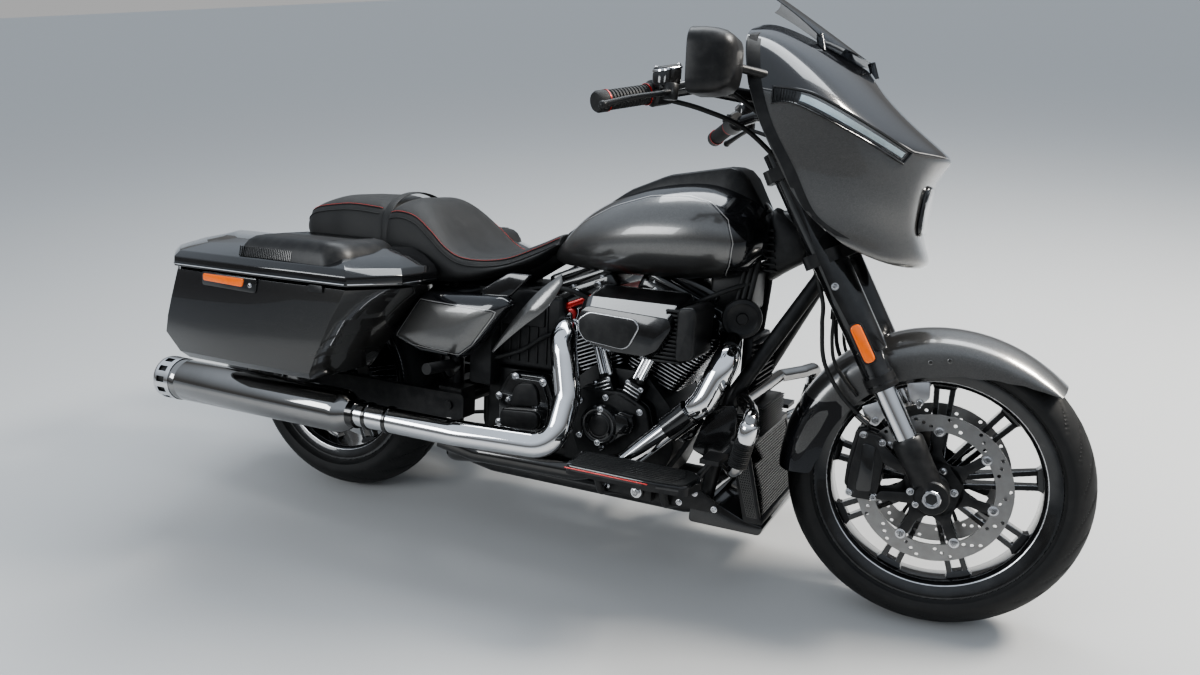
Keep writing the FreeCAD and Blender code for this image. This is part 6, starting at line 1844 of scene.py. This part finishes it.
def discButtons(name, centre, y, radius, body):
    # bright buttons that hold the brake ring to its arms
    places = []
    for side in discSides(body):
        for n in range(7):
            a = math.tau * n / 7
            at = centre + vec(math.sin(a) * (radius - 34), side * (y + 3.4), math.cos(a) * (radius - 36))
            places.append((at, vec(0, side, 0)))
    fasten(body, name, places, 8.5, 3.5, washer=1.3)
    hubBolts = []
    for side in discSides(body):
        for n in range(5):
            a = math.tau * (n + 0.3) / 5
            hubBolts.append((centre + vec(math.sin(a) * 43, side * (y + 3.6), math.cos(a) * 43),
                             vec(0, side, 0)))
    fasten(body, name + "Hub", hubBolts, 6.0, 6.0)


# Fork: legs, covers, reflectors, calipers and hoses, all on the steering
fork = {
    "angleDeg": 29.5, "spacing": 122.0,
    "caliper": ((-160, 112), (-106, 100), (-102, 50), (-110, -34), (-122, -42), (-168, -42), (-177, -20),
                (-174, 24)),
    "bracketTop": ((-128, 96), (-66, 52), (-48, 64), (-40, 40), (-60, 28), (-104, 44)),
    "bracketLow": ((-116, -36), (-18, -32), (-14, 0), (-50, -10), (-104, -16)),
    "stays": (((1462, 478), (1508, 500), (1518, 470), (1498, 438), (1476, 446)),
              ((1549, 541), (1596, 550), (1598, 514), (1580, 496), (1560, 505))),
}


def forkPoint(z, side, out=0.0):
    run = (z - axleZ) * math.tan(math.radians(fork["angleDeg"]))
    return vec(axleX - run, side * (fork["spacing"] + out), z)


def buildFork():
    a = math.radians(fork["angleDeg"])
    along, ahead, left = vec(-math.sin(a), 0, math.cos(a)), vec(math.cos(a), 0, math.sin(a)), vec(0, 1, 0)
    shrouds, lenses, frames, rings, nuts, cores, bolts, legs = [], [], [], [], [], [], [], []
    for side in (-1, 1):
        def around(z, degrees, radius):
            t = math.radians(degrees)
            return forkPoint(z, side) + (ahead * math.cos(t) + left * side * math.sin(t)) * radius
        rows = []
        for z, spread, radius in ((596, 30, 38), (602, 62, 39.5), (640, 96, 40), (720, 104, 41),
                                  (800, 100, 42), (884, 84, 41), (892, 60, 38)):
            rows.append([around(z, -spread + 2 * spread * k / 16, radius + (3.5 if 3 < k < 13 else 0))
                         for k in range(17)])
        shrouds.append(baked(thickened(outward(gridObject("cover", rows)), 3.2)))
        middle = around(622, 84, 45)
        out = (ahead * math.cos(math.radians(84)) + left * side * math.sin(math.radians(84)))
        across = along.cross(out).normalized()

        def stand(u, v, w):
            return middle + across * u + along * v + out * w
        frames.append(slab("frame", roundedOutline([(-15, -46), (15, -46), (15, 46), (-15, 46)], 13, 5), 6,
                           lambda u, v, w: stand(u, v, w - 4), 1.5))
        lens = roundedOutline([(-11.5, -42), (11.5, -42), (11.5, 42), (-11.5, 42)], 11, 5)
        lenses.append(slab("lens", lens, 7, lambda u, v, w: stand(u, v, w - 1), 3.0, 3))
        low = forkPoint(531, side)
        rings.append(lathe("sealRing", [(-2, 25), (-2, 32), (3, 33.5), (9, 33.5), (10, 32), (12, 32),
                                        (13, 33.5), (28, 33.5), (30, 31)], low, along, 48))
        legs.append(lathe("leg", [(-8, 0), (-8, 27), (-2, 31), (70, 31), (96, 33), (122, 33), (128, 30),
                                  (129.5, 25)], forkPoint(axleZ, side), along, 48))
        legs.append(lathe("axleClamp", [(-30, 0), (-30, 33), (-26, 36), (26, 36), (30, 33), (30, 0)],
                          forkPoint(axleZ, side), left * side, 48))
        nut = forkPoint(axleZ, side, 30)
        nuts.append(lathe("axleNut", [(0, 19), (8, 19), (10, 17.5), (10, 13.5), (4, 13), (4, 0)], nut,
                          left * side, 40))
        cores.append(lathe("axleCore", [(4.2, 12.6), (5.2, 12.4), (5.2, 0)], nut, left * side, 6))
        bolts.append((around(735, 88, 45.5), out))
        bolts.append((forkPoint(340, side) - ahead * 36 + left * side * 12, left * side))
        bolts.append((forkPoint(318, side) - ahead * 34 + left * side * 26, left * side))
    settleJoined("forkShrouds", shrouds, "steering", "black_paint", glossBlack, replaces=("fork_covers",),
                 sharp=50)
    settleJoined("reflectorFrames", frames, "steering", "plastic", mouldedBlack)
    # the reflectors glow a little from their amber lens finish: a painted glow, as a reflector is no lamp
    settleJoined("reflectorLenses", lenses, "steering", "lamp", amberLens)
    settleJoined("sliderSeals", rings, "steering", "black_satin", satinBlack)
    settleJoined("lowerLegs", legs, "steering", "black_paint", satinBlack, replaces=("fork_lugs",))
    settleJoined("axleNuts", nuts, "steering", "steel", fastener)
    settleJoined("axleCores", cores, "steering", "steel", blackChrome)
    fasten("steering", "forkBolts", bolts, 5.5, 5.0)
    halves, grooves, stays, bolts = [], [], [], []
    for side in (-1, 1):
        def at(u, v, w):
            return vec(axleX + u, side * w, axleZ + v)
        outline = roundedOutline(fork["caliper"], 14, 4)
        halves.append(slab("outer", outline, 25, lambda u, v, w: at(u, v, 74 + w), 5.0, 3))
        halves.append(slab("inner", outline, 22, lambda u, v, w: at(u, v, 40 + w), 4.0, 2))
        bridge = roundedOutline([(-168, 108), (-140, 118), (-156, 40), (-160, -30), (-182, -18),
                                 (-180, 30)], 8, 3)
        halves.append(slab("bridge", bridge, 40, lambda u, v, w: at(u, v, 48 + w), 3.0, 2))
        for key in ("bracketTop", "bracketLow"):
            halves.append(slab(key, roundedOutline(fork[key], 6, 3), 16, lambda u, v, w: at(u, v, 84 + w),
                               3.0, 2))
        grooves.append(slab("groove", roundedOutline([(-150, 84), (-122, 78), (-124, -22), (-156, -24)], 8,
                                                     3), 2.5, lambda u, v, w: at(u, v, 98.4 + w), 1.0))
        for outline in fork["stays"]:
            points = [(x - axleX, z - axleZ) for x, z in outline]
            stays.append(slab("stay", roundedOutline(points, 7, 3), 5, lambda u, v, w: at(u, v, 85 + w),
                              1.5))
        for u, v in ((-151, 100), (-168, -30), (-118, -32), (-112, 88)):
            bolts.append((at(u, v, 98), vec(0, side, 0)))
        for x, z in ((1494, 453), (1579, 503)):
            bolts.append((at(x - axleX, z - axleZ, 90), vec(0, side, 0)))
    settleJoined("caliperBodies", halves, "steering", "black_satin", satinBlack,
                 replaces=("front_calipers",))
    settleJoined("caliperFaces", grooves, "steering", "black_satin", glossBlack)
    settleJoined("fenderStays", stays, "steering", "alloy", steel)
    fasten("steering", "caliperBolts", bolts, 6.0, 6.0)
    hoses, fittings = [], []
    for side in (-1, 1):
        s = -side
        line = [vec(1296, s * -96, 868), vec(1330, s * -112, 790), vec(1362, s * -116, 700),
                vec(1366, s * -114, 647), vec(1378, s * -112, 568), vec(1420, s * -106, 500),
                vec(1471, s * -98, 452)]
        hoses.append(sweptTube("hose", smoothLine(line, 50), 4.6, 12))
        fittings.append(rodBetween("fitting", line[-1] + vec(-16, 0, 10), line[-1] + vec(10, 0, -8), 7.5,
                                   16, 1.5))
        second = [vec(1318, s * -88, 850), vec(1366, s * -98, 760), vec(1386, s * -101, 697),
                  vec(1388, s * -101, 617), vec(1402, s * -98, 560), vec(1452, s * -92, 500)]
        hoses.append(sweptTube("hose", smoothLine(second, 44), 3.8, 12))
        fittings.append(rodBetween("fitting", vec(1386, s * -101, 660), vec(1386, s * -101, 684), 6.5, 16,
                                   1.5))
    settleJoined("brakeHoses", hoses, "steering", "rubber", softRubber)
    settleJoined("hoseFittings", fittings, "steering", "steel", blackChrome)
    rivets = [(vec(x, side * 84.5, z), vec(0, side, 0)) for side in (-1, 1)
              for x, z in ((1591, 590), (1628, 598), (1436, 511))]
    settle(boltHeads("fenderRivets", rivets, 5.0, 3.0, washer=1.5, socket=0.0), "steering", "grey_paint",
           paintGrey)


# Handlebar ends: grips, levers, reservoirs, switches and mirrors
cockpit = {
    "gripStart": vec(1030, 324, 1098), "gripEnd": vec(952, 438, 1066),
    "mirror": ((350, 1086), (480, 1082), (488, 1180), (468, 1200), (354, 1196)),
}


def buildCockpit():
    grips, ringsRed, levers, housings, tanks, rims = [], [], [], [], [], []
    mirrorsBlack, glasses, stems, wires, screws, tops = [], [], [], [], [], []
    for side in (-1, 1):
        def m(p):
            return vec(p.x, side * p.y, p.z)
        start, end = m(cockpit["gripStart"]), m(cockpit["gripEnd"])
        along = (end - start).normalized()
        length = (end - start).length
        out = vec(along.y * side, -along.x * side, 0).normalized()
        ahead = out if out.x > 0 else -out
        profile = [(20, 16), (20, 21), (24, 22), (28, 21)]
        at = 28.0
        while at < length - 22:
            profile += [(at, 17.6), (at + 1.2, 19.4), (at + 5.2, 19.4), (at + 6.4, 17.6)]
            at += 7.6
        profile += [(length - 16, 19.6), (length - 14, 21), (length + 3, 21), (length + 8, 18),
                    (length + 9, 12), (length + 9, 0)]
        grips.append(lathe("grip", profile, start, along, 32))
        for spot in (27.5, length - 17.5):
            ringsRed.append(lathe("gripRing", [(0, 20.2), (0, 21.4), (2.6, 21.4), (2.6, 20.2)],
                                  start + along * spot, along, 32))
        pivot = start + ahead * 44 + along * 2
        tip = pivot + along * 158 - ahead * 2 - vec(0, 0, 6)
        path = smoothLine([pivot - along * 8, pivot + along * 40 + ahead * 13,
                           pivot + along * 100 + ahead * 9, tip], 26)
        radii = [8.0 - 2.6 * math.sin(math.pi * k / 25) for k in range(26)]
        levers.append(sweptTube("lever", path, 7, 16, radii))
        levers.append(lathe("ball", [(-9, 0), (-8, 4.5), (-5, 7.8), (0, 9.2), (5, 7.8), (8, 4.5), (9, 0)],
                            tip, along, 24))
        housings.append(rodBetween("switch", start - along * 30, start + along * 20, 26, 40, 5))
        housings.append(rodBetween("perch", start - along * 6 + ahead * 8, pivot + ahead * 4, 13, 24, 3))
        housings.append(lathe("pivotCap", [(-16, 0), (-16, 13), (-13, 15), (13, 15), (16, 13), (16, 0)],
                              pivot, vec(0, 0, 1), 32))
        base = start + vec(0, 0, 12) + ahead * 24 - along * 2
        oval = roundedOutline([(-32, -20), (32, -20), (32, 20), (-32, 20)], 19, 6)
        cross = along.cross(vec(0, 0, 1)).normalized()

        def tankPlace(u, v, w):
            return base + along * u * 0.9 + cross * v + vec(0, 0, w)
        tanks.append(pillow("reservoir", oval, ((-4, 0.8), (0, 0.94), (6, 1.0), (26, 1.0), (29, 0.97)),
                            tankPlace))
        rims.append(pillow("rim", oval, ((29, 1.0), (29.5, 1.05), (33, 1.05), (34, 1.02)), tankPlace))
        tops.append(pillow("lid", oval, ((33.6, 0.98), (36, 0.96), (38, 0.86), (39, 0.5)), tankPlace))
        for u, v in ((-22, -10), (22, 10)):
            screws.append((tankPlace(u, v, 38), vec(0, 0, 1)))
        for k in range(3):
            p = start - along * (22 - 15 * k) - ahead * 22 + vec(0, 0, 10)
            housings.append(boxPiece("key", tuple(p - vec(7, 5, 5)), tuple(p + vec(5, 6, 6)), 1.5))
        loops = ((pivot + vec(0, 0, 6) - along * 10, start + ahead * 86 - along * 70 + vec(0, 0, 6),
                  vec(1232, side * 236, 1060), vec(1290, side * 160, 980)),
                 (start - along * 24 + vec(0, 0, -16), start + ahead * 40 - along * 90 - vec(0, 0, 46),
                  vec(1190, side * 210, 1040), vec(1270, side * 120, 960)))
        for p in loops:
            wires.append(sweptTube("cable", smoothLine(p, 30), 5.0, 12))
        outline = roundedOutline(cockpit["mirror"], 26, 6)

        def mirrorPlace(u, v, w):
            return vec(w, side * u, v)
        mirrorsBlack.append(pillow("mirror", outline, ((1131, 0.93), (1131, 0.985), (1134, 1.0),
                                                       (1160, 1.0), (1180, 0.96), (1196, 0.88),
                                                       (1207, 0.74), (1213, 0.52), (1216, 0.2)),
                                   mirrorPlace))
        glasses.append(pillow("glass", outline, ((1130.2, 0.9), (1132, 0.92)), mirrorPlace))
        arm = smoothLine([vec(1180, side * 392, 1138), vec(1206, side * 366, 1140),
                          vec(1250, side * 320, 1132)], 20)
        stems.append(sweptTube("stem", arm, 9.5, 20, [12 - 4 * math.sin(math.pi * k / 19)
                                                      for k in range(20)]))
    settleJoined("gripRubbers", grips, "steering", "rubber", softRubber, replaces=("hand_grips",))
    settleJoined("gripRings", ringsRed, "steering", "rubber", redTrim)
    settleJoined("leverBlades", levers, "steering", "black_satin", satinBlack, replaces=("hand_controls",))
    settleJoined("switchHousings", housings, "steering", "black_satin", satinBlack)
    settleJoined("reservoirs", tanks, "steering", "black_satin", glossBlack)
    settleJoined("reservoirRims", rims, "steering", "chrome", chrome)
    settleJoined("reservoirLids", tops, "steering", "black_satin", satinBlack)
    fasten("steering", "reservoirScrews", screws, 3.4, 2.4)
    settleJoined("controlCables", wires, "steering", "rubber", softRubber)
    settle(bevelled(joinMeshes("mirrorShells", mirrorsBlack), 1.5, 2, 40), "steering", "black_satin",
           satinBlack, replaces=("mirrors",), sharp=60)
    settleJoined("mirrorGlass", glasses, "steering", "smoke", mirrorGlass)
    settleJoined("mirrorStems", stems, "steering", "black_satin", satinBlack)


# Console on the tank and the cover of the steering neck; then the electric boxes and hoses between
neck = {
    "console": ((706, 30, 752, 792), (780, 46, 800, 846), (880, 58, 850, 910), (980, 66, 880, 950),
                (1134, 66, 870, 976), (1160, 62, 850, 960), (1206, 44, 820, 882)),
    "rows": ((1214, 46, 716, 892), (1232, 50, 730, 884), (1262, 50, 752, 866), (1292, 44, 768, 850),
             (1308, 34, 782, 838)),
}


def buildConsole():
    rows = []
    for x, half, low, high in neck["rows"]:
        rows.append([vec(x + dx, y, z) for y, z, dx in (
            (-half, low, 0), (-half, (low + high) / 2, 6), (-half * 0.9, high - 14, 2),
            (-half * 0.55, high, 0), (0, high + 4, 0), (half * 0.55, high, 0), (half * 0.9, high - 14, 2),
            (half, (low + high) / 2, 6), (half, low, 0), (0, low - 6, 0))])
    cover = outward(gridObject("neckCover", rows, closedRows=True, caps=True))
    levels = neck["console"]
    stations = sorted([706 + 20 * k for k in range(26)] + [1008.0, 1009.0, 1111.0, 1112.0])
    rings = []
    for x in stations:
        t = next(i for i in range(len(levels) - 1) if x <= levels[i + 1][0])
        f = (x - levels[t][0]) / (levels[t + 1][0] - levels[t][0])
        h, lo, hi = (levels[t][c] + (levels[t + 1][c] - levels[t][c]) * f for c in (1, 2, 3))
        dip = 7.0 if 1008.5 < x < 1111.5 else 0.0
        flat = min(43.5, h * 0.68)
        side = [(-h * 0.98, lo), (-h, lo + (hi - lo) * 0.45), (-h * 0.955, hi - 12), (-h * 0.9, hi - 4),
                (-h * 0.82, hi - 0.6), (-flat - 0.5, hi), (-flat, hi - dip)]
        rings.append([vec(x, y, z) for y, z in side + [(0, hi - dip)] + [(-y, z)
                for y, z in reversed(side)]])
    dash = outward(gridObject("tankConsole", rings, closedRows=True, caps=True))
    settle(dash, "chassis", "black_satin", satinBlack, replaces=("tank_console",), sharp=30)
    settle(subdivided(cover, 2), "chassis", "black_satin", mouldedBlack)
    ribs = []
    for n in range(7):
        z = 746 + 15 * n
        ribs.append(boxPiece("rib", (1216 - n * 2, -55, z), (1246 - n * 2, 55, z + 5), 1.5))
    settleJoined("neckRibs", ribs, "chassis", "rubber", softRubber)
    looms = []
    for side in (-1, 1):
        for k, (dx, dy) in enumerate(((0, 0), (-12, 6), (-24, 10))):
            line = [vec(1212 + dx, side * (50 + dy), 850), vec(1206 + dx, side * (64 + dy), 760),
                    vec(1192 + dx, side * (84 + dy), 640), vec(1176 + dx, side * (100 + dy), 520),
                    vec(1158 + dx, side * (108 + dy), 420)]
            looms.append(sweptTube("loom", smoothLine(line, 30), 7.0 - k, 14))
    settleJoined("downtubeLooms", looms, "chassis", "rubber", softRubber)
    fillers = [boxPiece("coilBox", (1096, -58, 648), (1196, 58, 742), 10.0, 3),
               boxPiece("regulator", (1188, -74, 480), (1214, 74, 596), 6.0)]
    for n in range(9):
        fillers.append(boxPiece("regulatorFin", (1212, -72, 486 + n * 12), (1228, 72, 490 + n * 12), 1.2))
    fillers.append(lathe("horn", [(-18, 0), (-18, 30), (-12, 44), (0, 46), (6, 44), (8, 36), (4, 30),
                                  (4, 14), (8, 12), (8, 0)], vec(1190, -96, 640), vec(0.4, -1, 0), 40))
    settleJoined("frontElectrics", fillers, "chassis", "black_satin", satinBlack)
    box = [boxPiece("batteryBox", (548, -112, 452), (744, 112, 640), 12.0, 3),
           boxPiece("sideBox", (500, -148, 402), (566, 148, 560), 8.0),
           boxPiece("underSeat", (440, -120, 560), (700, 120, 652), 10.0)]
    for n in range(6):
        box.append(boxPiece("boxRib", (570 + n * 26, -116, 470), (576 + n * 26, 116, 620), 1.5))
    settleJoined("batteryTray", box, "chassis", "plastic", mouldedBlack)
    plumbing = []
    for line in ([vec(746, -96, 560), vec(700, -122, 540), vec(640, -126, 500), vec(560, -128, 470)],
                 [vec(758, -92, 470), vec(746, -118, 430), vec(742, -124, 360), vec(748, -120, 300)],
                 [vec(820, -96, 640), vec(760, -110, 662), vec(700, -104, 660), vec(640, -96, 650)],
                 [vec(1040, -96, 640), vec(1090, -112, 668), vec(1150, -100, 700), vec(1200, -70, 720)],
                 [vec(980, -110, 200), vec(1040, -128, 260), vec(1086, -128, 330), vec(1120, -112, 400)]):
        plumbing.append(sweptTube("line", smoothLine(line, 26), 6.0, 12))
    settleJoined("engineHoses", plumbing, "chassis", "rubber", softRubber)


for key in ("front", "rear"):
    buildWheel(key)
discCarriers("frontDiscCarriers", wheels["front"]["centre"], 68.0, 160.0, "front_wheel")
discCarriers("rearDiscCarrier", wheels["rear"]["centre"], 104.0, 150.0, "rear_wheel")
discButtons("frontDiscButtons", wheels["front"]["centre"], 68.0, 160.0, "front_wheel")
discButtons("rearDiscButtons", wheels["rear"]["centre"], 104.0, 150.0, "rear_wheel")
buildFork()
buildCockpit()
buildConsole()
print("front end built")


# Studio: a pale floor, a soft sky and large lamps
studio = {
    "floorColour": (0.5, 0.5, 0.495), "floorSize": 240.0, "skyTop": (0.82, 0.9, 1.0),
    "skyLow": (0.2, 0.2, 0.2),
    "skyStrength": 0.8, "backdrop": (0.5, 0.5, 0.5), "look": "AgX - Medium High Contrast",
}


def areaLight(name, place, target, size, power, colour=(1, 1, 1)):
    lamp = bpy.data.lights.new(name, "AREA")
    lamp.shape = "RECTANGLE"
    lamp.size, lamp.size_y = size
    lamp.energy = power
    lamp.color = colour
    obj = bpy.data.objects.new(name, lamp)
    obj.location = place
    obj.rotation_euler = (Vector(target) - Vector(place)).to_track_quat("-Z", "Y").to_euler()
    bpy.context.scene.collection.objects.link(obj)
    return obj


half = studio["floorSize"] / 2
floor = meshObject("studioFloor", [(-half, -half, 0), (half, -half, 0), (half, half, 0), (-half, half, 0)],
                   [(0, 1, 2, 3)])
floorFinish = finish("floorFinish", studio["floorColour"], 0.0, (0.7, 0.85), studio["floorColour"], 4.0,
                     grain=(220.0, 0.1), bump=0.05)
floor.data.materials.append(floorFinish)
floor.location.z = cadBox[0][2] - 0.0005

world = bpy.data.worlds.new("softSky")
bpy.context.scene.world = world
world.use_nodes = True
sky = world.node_tree
back = sky.nodes["Background"]
back.inputs["Strength"].default_value = studio["skyStrength"]
at = addNode(sky, "ShaderNodeTexCoord")
split = addNode(sky, "ShaderNodeSeparateXYZ")
ramp = addNode(sky, "ShaderNodeValToRGB")
ramp.color_ramp.elements[0].position = 0.1
ramp.color_ramp.elements[0].color = (*studio["skyLow"], 1)
ramp.color_ramp.elements[1].position = 0.55
ramp.color_ramp.elements[1].color = (*studio["skyTop"], 1)
sky.links.new(at.outputs["Generated"], split.inputs["Vector"])
sky.links.new(split.outputs["Z"], ramp.inputs["Fac"])
pale = addNode(sky, "ShaderNodeMix", data_type="RGBA")
pale.inputs[7].default_value = (*studio["backdrop"], 1)
path = addNode(sky, "ShaderNodeLightPath")
sky.links.new(ramp.outputs["Color"], pale.inputs[6])
sky.links.new(path.outputs["Is Camera Ray"], pale.inputs[0])
sky.links.new(pale.outputs[2], back.inputs["Color"])

areaLight("skyPanel", (0.2, 1.4, 4.2), (0.1, 0, 0.5), (4.8, 1.6), 130, (0.93, 0.97, 1.0))
areaLight("sunSide", (3.0, 1.2, 3.4), (0.2, 0, 0.5), (0.9, 0.9), 210, (1.0, 0.95, 0.87))
areaLight("cameraFill", (-2.2, -3.4, 2.2), (0.0, 0, 0.4), (2.2, 1.2), 55, (0.95, 0.98, 1.0))
bpy.context.scene.view_settings.look = studio["look"]

# The camera stands where the photograph was taken from
view = {
    "place": (1.781, -1.844, 1.372), "yawDeg": -26.74, "pitchDeg": 21.25, "rollDeg": -2.64,
    "focalPixels": 926.0, "photoWidth": 1200.0, "sensorWidth": 36.0,
}
yaw, pitch, roll = (math.radians(view[k]) for k in ("yawDeg", "pitchDeg", "rollDeg"))
forward = vec(math.sin(yaw) * math.cos(pitch), math.cos(yaw) * math.cos(pitch), -math.sin(pitch))
level = vec(math.cos(yaw), -math.sin(yaw), 0)
above = level.cross(forward)
cameraRight = level * math.cos(roll) + above * math.sin(roll)
cameraUp = above * math.cos(roll) - level * math.sin(roll)
lens = bpy.data.cameras.new("photoCamera")
lens.sensor_width = view["sensorWidth"]
lens.lens = view["focalPixels"] * view["sensorWidth"] / view["photoWidth"]
lens.clip_end = 100
camera = bpy.data.objects.new("photoCamera", lens)
bpy.context.scene.collection.objects.link(camera)
place = Vector(view["place"]) + bikeFrame.translation
turned = Matrix((cameraRight, cameraUp, -forward)).transposed().to_4x4()
camera.matrix_world = Matrix.Translation(place) @ turned
bpy.context.scene.camera = camera

print("scene done")
